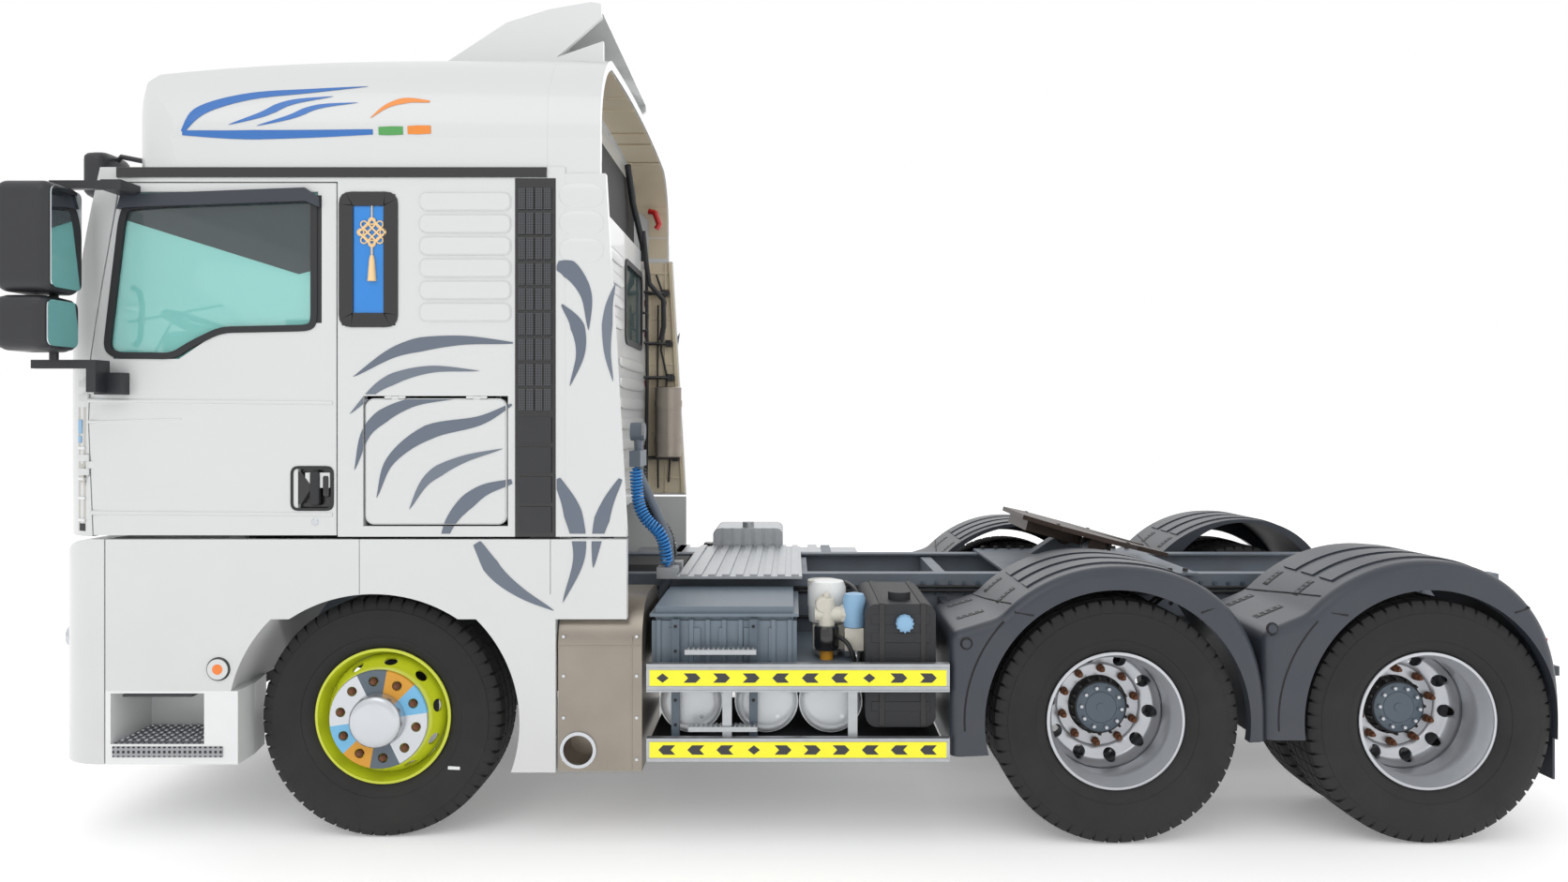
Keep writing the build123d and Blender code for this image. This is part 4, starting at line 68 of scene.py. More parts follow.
Value = Union[bpy.types.NodeSocket, float, tuple]
FRAME_WIDTH, FRAME_HEIGHT = 1672, 941


class Side(Enum):
    """The two sides of the vehicle, with the sign of Y on each."""
    LEFT = -1
    RIGHT = 1

    @property
    def word(self) -> str:
        """The side's name as the nodes write it."""
        return self.name.lower()


# ------------------------------------------------------------------ finishes
class Nodes:
    """A small writer of shader nodes for one material."""

    def __init__(self, name: str) -> None:
        """Start an empty material.

        Args:
            name: The material's name.
        """
        self.material = bpy.data.materials.new(name)
        self.material.use_nodes = True
        self.tree = self.material.node_tree
        self.tree.nodes.clear()
        self.shader = self.tree.nodes.new("ShaderNodeBsdfPrincipled")
        out = self.tree.nodes.new("ShaderNodeOutputMaterial")
        self.tree.links.new(self.shader.outputs[0], out.inputs[0])
        self.place = self.tree.nodes.new("ShaderNodeTexCoord").outputs["Object"]

    def add(self, kind: str, inputs: dict, **settings: object) -> bpy.types.NodeSocket:
        """Add a node and give back its first output.

        Args:
            kind: The node's type without its ShaderNode prefix.
            inputs: Socket index or name to a value or to another node's output.
            settings: The node's own properties.

        Returns:
            The new node's first output.
        """
        node = self.tree.nodes.new("ShaderNode" + kind)
        for key, value in settings.items():
            setattr(node, key, value)
        for key, value in inputs.items():
            if isinstance(value, bpy.types.NodeSocket):
                self.tree.links.new(value, node.inputs[key])
            else:
                node.inputs[key].default_value = value
        return node.outputs[0]

    def math(self, operation: str, first: Value, second: Value = 0.0) -> bpy.types.NodeSocket:
        """One step of arithmetic on two sockets or numbers."""
        return self.add("Math", {0: first, 1: second}, operation=operation)

    def axis(self, index: int) -> bpy.types.NodeSocket:
        """The object coordinate along one axis.

        Args:
            index: 0, 1 or 2 for X, Y or Z.

        Returns:
            The coordinate's socket.
        """
        node = self.tree.nodes.new("ShaderNodeSeparateXYZ")
        self.tree.links.new(self.place, node.inputs[0])
        return node.outputs[index]

    def noise(self, scale: float, detail: float = 3.0, stretch: Point = (1, 1, 1)) -> bpy.types.NodeSocket:
        """Grey noise over the surface.

        Args:
            scale: How fine the noise is, per metre.
            detail: Octaves.
            stretch: Scale along each axis.

        Returns:
            The noise's value.
        """
        where = self.add("Mapping", {0: self.place, 3: tuple(stretch)})
        return self.add("TexNoise", {"Vector": where, "Scale": scale, "Detail": detail})

    def ramp(self, value: Value, stops: Sequence[tuple]) -> bpy.types.NodeSocket:
        """Colours or greys along a value.

        Args:
            value: The socket that is looked up.
            stops: Pairs of position and grey, or position and colour.

        Returns:
            The ramp's colour.
        """
        node = self.tree.nodes.new("ShaderNodeValToRGB")
        self.tree.links.new(value, node.inputs[0])
        elements = node.color_ramp.elements
        while len(elements) < len(stops):
            elements.new(0.5)
        for element, (position, colour) in zip(elements, stops):
            element.position = position
            shade = (colour, colour, colour) if isinstance(colour, (int, float)) else colour
            element.color = (*shade[:3], 1.0)
        return node.outputs[0]

    def mix(self, factor: Value, first: Value, second: Value) -> bpy.types.NodeSocket:
        """Blend of two colours or sockets.

        Args:
            factor: Share of the second one.
            first: Colour or socket.
            second: Colour or socket.

        Returns:
            The blended colour.
        """
        node = self.tree.nodes.new("ShaderNodeMix")
        node.data_type = "RGBA"
        for index, value in ((0, factor), (6, first), (7, second)):
            if isinstance(value, bpy.types.NodeSocket):
                self.tree.links.new(value, node.inputs[index])
            else:
                node.inputs[index].default_value = value if index == 0 else (*value[:3], 1.0)
        return node.outputs[2]

    def bump(self, height: Value, strength: float, distance: float) -> None:
        """Raise the surface by a grey height.

        Args:
            height: Socket from 0 to 1.
            strength: How much of the bump shows.
            distance: Metres from low to high.
        """
        normal = self.add("Bump", {"Height": height, "Strength": strength, "Distance": distance})
        self.tree.links.new(normal, self.shader.inputs["Normal"])

    def set(self, **values: Value) -> None:
        """Set shader sockets, spaces in their names written as underscores."""
        for key, value in values.items():
            socket = self.shader.inputs[key.replace("_", " ")]
            if isinstance(value, bpy.types.NodeSocket):
                self.tree.links.new(value, socket)
            else:
                is_colour = isinstance(value, tuple) and len(value) == 3
                socket.default_value = (*value, 1.0) if is_colour else value


@dataclass(frozen=True)
class Finish:
    """A plain finish with slight unevenness and, where wanted, road dirt low down."""
    name: str
    colour: tuple
    rough: float = 0.45
    metal: float = 0.0
    coat: float = 0.0
    uneven: float = 0.06
    grain: float = 9.0
    grain_depth: float = 0.0
    dirt: float = 0.0
    dirt_colour: tuple = (0.23, 0.19, 0.15)
    dirt_top: float = 1.2

    def make(self) -> bpy.types.Material:
        """Build the material.

        Returns:
            The new material.
        """
        nodes = Nodes(self.name)
        cloud = nodes.noise(self.grain, 4)
        dark = tuple(c * (1 - self.uneven) for c in self.colour)
        light = tuple(min(1.0, c * (1 + self.uneven)) for c in self.colour)
        colour = nodes.mix(cloud, dark, light)
        if self.dirt:
            low = nodes.math("DIVIDE", nodes.axis(2), self.dirt_top)
            patch = nodes.noise(6.0, 6)
            share = nodes.math("SUBTRACT", nodes.math("ADD", patch, 0.25), nodes.math("MULTIPLY", low, 0.6))
            share = nodes.math("MULTIPLY", nodes.ramp(share, ((0.2, 0.0), (0.7, 1.0))), self.dirt)
            colour = nodes.mix(share, colour, self.dirt_colour)
            nodes.set(Roughness=nodes.math("ADD", nodes.math("MULTIPLY", share, 0.35), self.rough))
        else:
            nodes.set(Roughness=self.rough)
        nodes.set(Base_Color=colour, Metallic=self.metal, Coat_Weight=self.coat, Coat_Roughness=0.06)
        if self.grain_depth:
            nodes.bump(nodes.noise(260.0, 2), 0.5, self.grain_depth)
        return nodes.material


@dataclass(frozen=True)
class Glass:
    """See-through glass, tinted."""
    name: str
    colour: tuple
    alpha: float

    def make(self) -> bpy.types.Material:
        """Build the material.

        Returns:
            The new material.
        """
        nodes = Nodes(self.name)
        nodes.set(Base_Color=self.colour, Roughness=0.03, Alpha=self.alpha, Specular_IOR_Level=0.8)
        nodes.set(Coat_Weight=0.6, Coat_Roughness=0.02)
        return nodes.material


# ------------------------------------------------------------------ shapes
class Form:
    """A mesh put together from closed shapes, all placed in the row frame."""

    def __init__(self) -> None:
        """Start with nothing."""
        self.mesh = bmesh.new()

    def loft(self, rings: Sequence[Sequence[Point]], mark: int = 0, loop: bool = False) -> "Form":
        """Skin over rings of equally many points, capped at both ends.

        Args:
            rings: Rings of points in order.
            mark: Index of the finish.
            loop: Whether the last ring joins the first, with no caps.

        Returns:
            The form itself.
        """
        rows = [[self.mesh.verts.new(p) for p in ring] for ring in rings]
        count = len(rows[0])
        pairs = list(zip(rows, rows[1:])) + ([(rows[-1], rows[0])] if loop else [])
        faces = [self.mesh.faces.new((a[i], a[(i + 1) % count], b[(i + 1) % count], b[i]))
                 for a, b in pairs for i in range(count)]
        if not loop:
            faces += [self.mesh.faces.new(rows[0][::-1]), self.mesh.faces.new(rows[-1])]
        for face in faces:
            face.material_index = mark
        return self

    def box(self, low: Point, high: Point, mark: int = 0) -> "Form":
        """A block from its low to its high corner."""
        ring = [(low[0], low[1]), (high[0], low[1]), (high[0], high[1]), (low[0], high[1])]
        return self.loft([[(x, y, z) for x, y in ring] for z in (low[2], high[2])], mark)

    def slab(self, outline: Sequence[Point], low: float, high: float, axis: int = 1, mark: int = 0) -> "Form":
        """A flat outline given a thickness along one axis.

        Args:
            outline: Points in the two other axes, in alphabetical order.
            low: One face's place on the axis.
            high: The other face's place.
            axis: 0, 1 or 2 for X, Y or Z.
            mark: Index of the finish.

        Returns:
            The form itself.
        """
        def put(p: Point, level: float) -> tuple:
            """The outline's point at a level of the axis.

            Args:
                p: The outline's point.
                level: Place on the axis.

            Returns:
                The point in three axes.
            """
            parts = list(p)
            parts.insert(axis, level)
            return tuple(parts)
        return self.loft([[put(p, level) for p in outline] for level in (low, high)], mark)

    def lathe(self, profile: Sequence[Point], centre: Point, out: float = 1.0, mark: int = 0,
              steps: int = 64, loop: bool = True) -> "Form":
        """Turn an outline of (radius, outboard distance) round an axis along Y.

        Args:
            profile: The outline's points.
            centre: Middle of the turned part.
            out: Sign of the outboard direction on Y.
            mark: Index of the finish.
            steps: Facets round the axis.
            loop: Whether the outline closes on itself; if not, it ends on the axis.

        Returns:
            The form itself.
        """
        def ring(angle: float) -> list:
            """The outline at one angle."""
            return [(centre[0] + max(r, 1e-5) * math.cos(angle), centre[1] + out * y,
                     centre[2] + max(r, 1e-5) * math.sin(angle)) for r, y in profile]
        turn = [2 * math.pi * i / steps for i in range(steps)]
        rows = [[self.mesh.verts.new(p) for p in ring(a)] for a in turn]
        count = len(profile)
        for a, b in zip(rows, rows[1:] + rows[:1]):
            for i in range(count if loop else count - 1):
                j = (i + 1) % count
                self.mesh.faces.new((a[i], a[j], b[j], b[i])).material_index = mark
        return self

    def post(self, middle: Point, profile: Sequence[Point], steps: int, mark: int = 0) -> "Form":
        """An upright round body through rings of (radius, height), closed at both ends.

        Args:
            middle: Its axis in X and Y.
            profile: Radius and height of each ring.
            steps: Facets round it.
            mark: Index of the finish.

        Returns:
            The form itself.
        """
        turn = [2 * math.pi * k / steps for k in range(steps)]
        return self.loft([[(middle[0] + r * math.cos(t), middle[1] + r * math.sin(t), z) for t in turn]
                          for r, z in profile], mark)

    def drum(self, centre: Point, profile: Sequence[Point], steps: int, mark: int = 0) -> "Form":
        """A round body along X through rings of (radius, distance from the centre), closed at both ends.

        Args:
            centre: Where its distances start.
            profile: Radius and distance along X of each ring.
            steps: Facets round it.
            mark: Index of the finish.

        Returns:
            The form itself.
        """
        turn, (x, y, z) = [2 * math.pi * k / steps for k in range(steps)], centre
        return self.loft([[(x + along, y + r * math.cos(t), z + r * math.sin(t)) for t in turn]
                          for r, along in profile], mark)

    def tube(self, points: Sequence[Point], radius: Union[float, Sequence[float]], mark: int = 0,
             sides: int = 12) -> "Form":
        """A round bar along a line of points.

        Args:
            points: The middle line.
            radius: One radius, or one for each point.
            mark: Index of the finish.
            sides: Facets round the bar.

        Returns:
            The form itself.
        """
        line = [Vector(p) for p in points]
        radii = radius if isinstance(radius, (list, tuple)) else [radius] * len(line)
        rings, side = [], None
        for i, p in enumerate(line):
            along = (line[min(i + 1, len(line) - 1)] - line[max(i - 1, 0)]).normalized()
            if side is None:
                side = along.orthogonal().normalized()
            side = (side - along * side.dot(along)).normalized()
            other = along.cross(side)
            rings.append([p + radii[i] * (side * math.cos(t) + other * math.sin(t))
                          for t in (2 * math.pi * k / sides for k in range(sides))])
        return self.loft(rings, mark)

    def capsule(self, low: Point, high: Point, corner: float, mark: int = 0, power: float = 4.0,
                rows: int = 12, sides: int = 24) -> "Form":
        """A block with strongly rounded faces.

        Args:
            low: Low corner.
            high: High corner.
            corner: Height of the rounded ends as a share of the height.
            mark: Index of the finish.
            power: How square the plan is.
            rows: Rings from bottom to top.
            sides: Points round each ring.

        Returns:
            The form itself.
        """
        mid = [(a + b) / 2 for a, b in zip(low, high)]
        half = [(b - a) / 2 for a, b in zip(low, high)]
        rings = []
        for row in range(rows + 1):
            t = -1 + 2 * row / rows
            t = math.copysign(1 - (1 - abs(t)) ** 1.6, t) if abs(t) < 1 else t
            over = min(1.0, max(0.0, (abs(t) - (1 - corner)) / corner))
            shrink = max(0.02, (1 - over ** 2.4) ** (1 / 2.4))
            ring = []
            for k in range(sides):
                a = 2 * math.pi * k / sides
                c, s = math.cos(a), math.sin(a)
                ring.append((mid[0] + half[0] * shrink * math.copysign(abs(c) ** (2 / power), c),
                             mid[1] + half[1] * shrink * math.copysign(abs(s) ** (2 / power), s),
                             mid[2] + half[2] * t))
            rings.append(ring)
        return self.loft(rings, mark)

    def done(self, name: str, finishes: Sequence[bpy.types.Material], body: str, slot: str = "",
             replaces: Iterable[str] = (), bevel: float = 0.0, smooth: float = 32.0,
             segments: int = 2) -> bpy.types.Object:
        """Turn the form into a piece that rides on a body.

        Args:
            name: The piece's name.
            finishes: Materials in the order of the marks.
            body: The CAD body that it rides on.
            slot: The record's material slot; not used.
            replaces: CAD nodes that it stands for.
            bevel: Width of the broken edges, in metres.
            smooth: Edges sharper than this many degrees stay sharp.
            segments: Facets of the broken edges.

        Returns:
            The new object.
        """
        bmesh.ops.recalc_face_normals(self.mesh, faces=self.mesh.faces)
        data = bpy.data.meshes.new(name)
        self.mesh.to_mesh(data)
        self.mesh.free()
        return place(data, name, finishes, body, replaces, bevel, smooth, segments)


def place(data: bpy.types.Mesh, name: str, finishes: Sequence[bpy.types.Material], body: str,
          replaces: Iterable[str] = (), bevel: float = 0.0, smooth: float = 32.0,
          segments: int = 2) -> bpy.types.Object:
    """Link a finished mesh as a piece of the vehicle.

    Args:
        data: The mesh, already in the row frame.
        name: The piece's name.
        finishes: Materials by index.
        body: The CAD body that it rides on.
        replaces: CAD nodes that it stands for.
        bevel: Width of broken edges.
        smooth: Angle of sharp edges, in degrees.
        segments: Facets of the broken edges.

    Returns:
        The new object.
    """
    data.name = name
    marks = [polygon.material_index for polygon in data.polygons]
    data.materials.clear()
    for finish in finishes:
        data.materials.append(finish)
    data.polygons.foreach_set("material_index", marks)
    data.shade_smooth()
    data.set_sharp_from_angle(angle=math.radians(smooth))
    piece = bpy.data.objects.new(name, data)
    bpy.context.scene.collection.objects.link(piece)
    if bevel:
        edge = piece.modifiers.new("edges", "BEVEL")
        edge.width, edge.segments, edge.limit_method = bevel, segments, "ANGLE"
        edge.angle_limit = math.radians(38)
        edge.harden_normals = True
    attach(piece, body)
    if replaces:
        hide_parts(*replaces)
    LOG.info("%s: %d faces on %s", name, len(data.polygons), body)
    return piece


def cut_out(data: bpy.types.Mesh, tool: Form) -> bpy.types.Mesh:
    """The mesh with the tool's shape taken away.

    Args:
        data: Closed mesh.
        tool: Closed form that is removed.

    Returns:
        A new mesh.
    """
    bmesh.ops.recalc_face_normals(tool.mesh, faces=tool.mesh.faces)
    knife_data = bpy.data.meshes.new("tool")
    tool.mesh.to_mesh(knife_data)
    tool.mesh.free()
    body = bpy.data.objects.new("work", data)
    knife = bpy.data.objects.new("tool", knife_data)
    for item in (body, knife):
        bpy.context.scene.collection.objects.link(item)
    modifier = body.modifiers.new("cut", "BOOLEAN")
    modifier.operation, modifier.object, modifier.solver = "DIFFERENCE", knife, "EXACT"
    graph = bpy.context.evaluated_depsgraph_get()
    result = bpy.data.meshes.new_from_object(body.evaluated_get(graph), depsgraph=graph)
    for item in (body, knife):
        bpy.data.objects.remove(item)
    return result


def plain_mesh(form: Form) -> bpy.types.Mesh:
    """The form's mesh with its faces turned outwards.

    Args:
        form: What becomes a mesh.

    Returns:
        The new mesh.
    """
    bmesh.ops.recalc_face_normals(form.mesh, faces=form.mesh.faces)
    data = bpy.data.meshes.new("part")
    form.mesh.to_mesh(data)
    form.mesh.free()
    return data


# ------------------------------------------------------------------ repeats
class Small(Enum):
    """The small solids that are repeated."""
    BOLT = "bolt"
    DISC = "disc"


class Repeat:
    """A Geometry Nodes tree that sets one small solid on every point of a mesh."""

    def __init__(self, small: Small) -> None:
        """Build the tree for one kind of solid.

        Args:
            small: What is repeated.
        """
        tree = self.tree = bpy.data.node_groups.new("repeat_" + small.value, "GeometryNodeTree")
        face = tree.interface
        face.new_socket("Points", in_out="INPUT", socket_type="NodeSocketGeometry")
        for label in ("Width", "Height"):
            face.new_socket(label, in_out="INPUT", socket_type="NodeSocketFloat")
        face.new_socket("Finish", in_out="INPUT", socket_type="NodeSocketMaterial")
        face.new_socket("Solids", in_out="OUTPUT", socket_type="NodeSocketGeometry")
        source = tree.nodes.new("NodeGroupInput")
        sink = tree.nodes.new("NodeGroupOutput")
        solid = tree.nodes.new("GeometryNodeMeshCone")
        solid.inputs["Vertices"].default_value = 6 if small is Small.BOLT else 16
        for name, share in (("Radius Top", 0.42), ("Radius Bottom", 0.5)):
            half = tree.nodes.new("ShaderNodeMath")
            half.operation = "MULTIPLY"
            half.inputs[1].default_value = share
            tree.links.new(source.outputs["Width"], half.inputs[0])
            tree.links.new(half.outputs[0], solid.inputs[name])
        tree.links.new(source.outputs["Height"], solid.inputs["Depth"])
        turn = tree.nodes.new("GeometryNodeInputNamedAttribute")
        turn.data_type = "FLOAT_VECTOR"
        turn.inputs["Name"].default_value = "turn"
        euler = tree.nodes.new("FunctionNodeEulerToRotation")
        tree.links.new(turn.outputs["Attribute"], euler.inputs[0])
        on_points = tree.nodes.new("GeometryNodeInstanceOnPoints")
        tree.links.new(source.outputs["Points"], on_points.inputs["Points"])
        tree.links.new(solid.outputs["Mesh"], on_points.inputs["Instance"])
        tree.links.new(euler.outputs[0], on_points.inputs["Rotation"])
        realize = tree.nodes.new("GeometryNodeRealizeInstances")
        tree.links.new(on_points.outputs[0], realize.inputs[0])
        paint = tree.nodes.new("GeometryNodeSetMaterial")
        tree.links.new(realize.outputs[0], paint.inputs["Geometry"])
        tree.links.new(source.outputs["Finish"], paint.inputs["Material"])
        tree.links.new(paint.outputs[0], sink.inputs[0])

    def spread(self, name: str, spots: Sequence[tuple], size: Point, finish: bpy.types.Material, body: str,
               smooth: float = 32.0) -> bpy.types.Object:
        """Put the solid at each spot, its height along the spot's direction.

        Args:
            name: The piece's name.
            spots: Pairs of place and direction.
            size: Width and height, in metres.
            finish: The solids' material.
            body: The CAD body that they ride on.
            smooth: Angle of sharp edges.

        Returns:
            The new piece.
        """
        points = bpy.data.meshes.new("points")
        points.from_pydata([tuple(where) for where, _ in spots], [], [])
        turn = points.attributes.new("turn", "FLOAT_VECTOR", "POINT")
        for index, (_, facing) in enumerate(spots):
            turn.data[index].vector = Vector(facing).to_track_quat("Z", "Y").to_euler()
        carrier = bpy.data.objects.new("carrier", points)
        bpy.context.scene.collection.objects.link(carrier)
        modifier = carrier.modifiers.new("repeat", "NODES")
        modifier.node_group = self.tree
        values = {"Width": size[0], "Height": size[1], "Finish": finish}
        for item in self.tree.interface.items_tree:
            if item.in_out == "INPUT" and item.name in values:
                modifier[item.identifier] = values[item.name]
        graph = bpy.context.evaluated_depsgraph_get()
        data = bpy.data.meshes.new_from_object(carrier.evaluated_get(graph), depsgraph=graph)
        bpy.data.objects.remove(carrier)
        return place(data, name, (finish,), body, smooth=smooth)


def circle_spots(centre: Point, radius: float, count: int, out: float, start: float = 0.0) -> list:
    """Spots on a circle round an axis along Y, facing outboard.

    Args:
        centre: Middle of the circle.
        radius: Its radius.
        count: How many spots.
        out: Sign of the outboard direction.
        start: First spot's angle in degrees.

    Returns:
        Pairs of place and direction.
    """
    angles = (math.radians(start) + 2 * math.pi * i / count for i in range(count))
    return [((centre[0] + radius * math.cos(a), centre[1], centre[2] + radius * math.sin(a)), (0, out, 0))
            for a in angles]


def row_spots(start: Point, end: Point, count: int, facing: Point) -> list:
    """Evenly spread spots from start to end, all facing one way."""
    a, b = Vector(start), Vector(end)
    return [(a.lerp(b, i / max(1, count - 1)), facing) for i in range(count)]


# ------------------------------------------------------------------ wheels
@dataclass
class Tyre:
    """One road tyre, turned block by block round its axis."""
    radius: float = 0.530
    width: float = 0.295
    bead: float = 0.2955
    pitches: int = 56
    tread_depth: float = 0.013

    def profile(self) -> list:
        """The outline from the inner bead over the tread to the outer bead, with each point's groove share.

        Returns:
            Triples of outboard distance, radius and groove share.
        """
        half = self.width / 2
        side = ((0.104, self.bead, 0), (0.112, 0.304, 0), (0.124, 0.318, 0), (0.1345, 0.345, 0),
                (0.1345, 0.352, 0), (0.137, 0.354, 0), (0.1455, 0.395, 0), (half, 0.425, 0),
                (0.1466, 0.445, 0),
                (0.1425, 0.468, 0), (0.1425, 0.472, 0), (0.1400, 0.474, 0), (0.1345, 0.497, 0.55),
                (0.1290, 0.513, 0.8), (0.1215, 0.5235, 1.0), (0.1080, 0.5275, 1.0), (0.0905, 0.5288, 0.25))
        tread = ((0.0895, 0.5165, 0), (0.0795, 0.5165, 0), (0.0785, 0.5292, 0.2), (0.0390, 0.5297, 0.2),
                 (0.0380, 0.5170, 0), (0.0280, 0.5170, 0), (0.0270, self.radius, 0.15),
                 (0.0, self.radius, 0.15))
        outer = list(side) + list(tread)
        inner = [(-y, r, g) for y, r, g in outer[:-1]]
        return inner + outer[::-1]

    def form(self, form: Form, centre: Point, phase: float = 0.0) -> None:
        """Add the tyre to a form.

        Args:
            form: Where it goes.
            centre: Middle of the tyre.
            phase: Turn of the tread pattern.
        """
        rows = []
        outline = self.profile()
        steps = (0.0, 0.10, 0.13, 0.87, 0.90)
        for pitch in range(self.pitches):
            for index, step in enumerate(steps):
                angle = 2 * math.pi * (pitch + step + phase) / self.pitches
                deep = self.tread_depth if index in (0, 1) else 0.0
                row = []
                for y, r, share in outline:
                    r = r - deep * share
                    row.append(form.mesh.verts.new((centre[0] + r * math.cos(angle), centre[1] + y,
                                                    centre[2] + r * math.sin(angle))))
                rows.append(row)
        count = len(outline)
        for a, b in zip(rows, rows[1:] + rows[:1]):
            for i in range(count):
                j = (i + 1) % count
                form.mesh.faces.new((a[i], a[j], b[j], b[i]))


@dataclass
class Rim:
    """A rim's tube with its lips, and the dish that carries it."""
    lip: float = 0.2985
    seat: float = 0.2810
    well: float = 0.2520
    half: float = 0.1195
    wall: float = 0.009

    def tube_profile(self) -> list:
        """The outline of the tube, (radius, outboard) from one lip to the other and back.

        Returns:
            Pairs of radius and outboard distance.
        """
        h = self.half
        upper = [(self.lip, -h + 0.002), (self.lip - 0.003, -h), (self.lip - 0.012, -h),
                 (self.lip - 0.014, -h + 0.012),
                 (self.seat, -h + 0.016), (self.seat - 0.002, -h + 0.045), (self.well + 0.012, -h + 0.058),
                 (self.well + 0.008, h - 0.10), (self.well + 0.012, h - 0.062),
                 (self.seat - 0.003, h - 0.046),
                 (self.seat, h - 0.016), (self.lip - 0.014, h - 0.012), (self.lip - 0.012, h),
                 (self.lip - 0.003, h),
                 (self.lip, h - 0.002), (self.lip, h - 0.010), (self.lip - 0.010, h - 0.011)]
        inner = [(self.seat + self.wall, h - 0.018), (self.seat + self.wall - 0.002, -h + 0.018),
                 (self.lip - 0.010, -h + 0.011), (self.lip, -h + 0.010)]
        return upper + inner


class Wheel:
    """What every wheel has: its side, its middle, the body that it turns with and its nuts' circle."""

    nut_circle: float = 0.1675
    nut_count: int = 10

    def __init__(self, side: Side, centre: Point, body: str) -> None:
        """Place the wheel.

        Args:
            side: Which side of the vehicle.
            centre: Middle of the tyre, or between the two tyres.
            body: The CAD body that it turns with.
        """
        self.side, self.centre, self.body, self.out = side, centre, body, float(side.value)

    def at(self, out: float) -> tuple:
        """The axis at a distance outboard of the middle."""
        return (self.centre[0], self.centre[1] + self.out * out, self.centre[2])

    def bored(self, turned: Form, circle: float, angles: Iterable[float], reach: tuple,
              bore: float) -> bpy.types.Mesh:
        """A turned form with a circle of holes along the axis.

        Args:
            turned: What is bored.
            circle: Radius of the circle of holes.
            angles: The holes' angles.
            reach: How far the bore goes, as two distances outboard.
            bore: Radius of the holes.

        Returns:
            The mesh with its holes.
        """
        disc, knives = plain_mesh(turned), Form()
        for angle in angles:
            x, z = self.centre[0] + circle * math.cos(angle), self.centre[2] + circle * math.sin(angle)
            knives.tube([(x, self.at(out)[1], z) for out in reach], bore, sides=20)
        return cut_out(disc, knives)

    def ring(self, repeat: Repeat, name: str, out: float, size: Point, finish: bpy.types.Material,
             start: float, radius: float = nut_circle) -> None:
        """Ten small solids on a circle round the axis.

        Args:
            repeat: The solid.
            name: The piece's name.
            out: Distance outboard.
            size: Width and height, in metres.
            finish: The solids' material.
            start: First one's angle in degrees.
            radius: The circle's radius.
        """
        spots = circle_spots(self.at(out), radius, self.nut_count, self.out, start)
        repeat.spread(name, spots, size, finish, self.body)


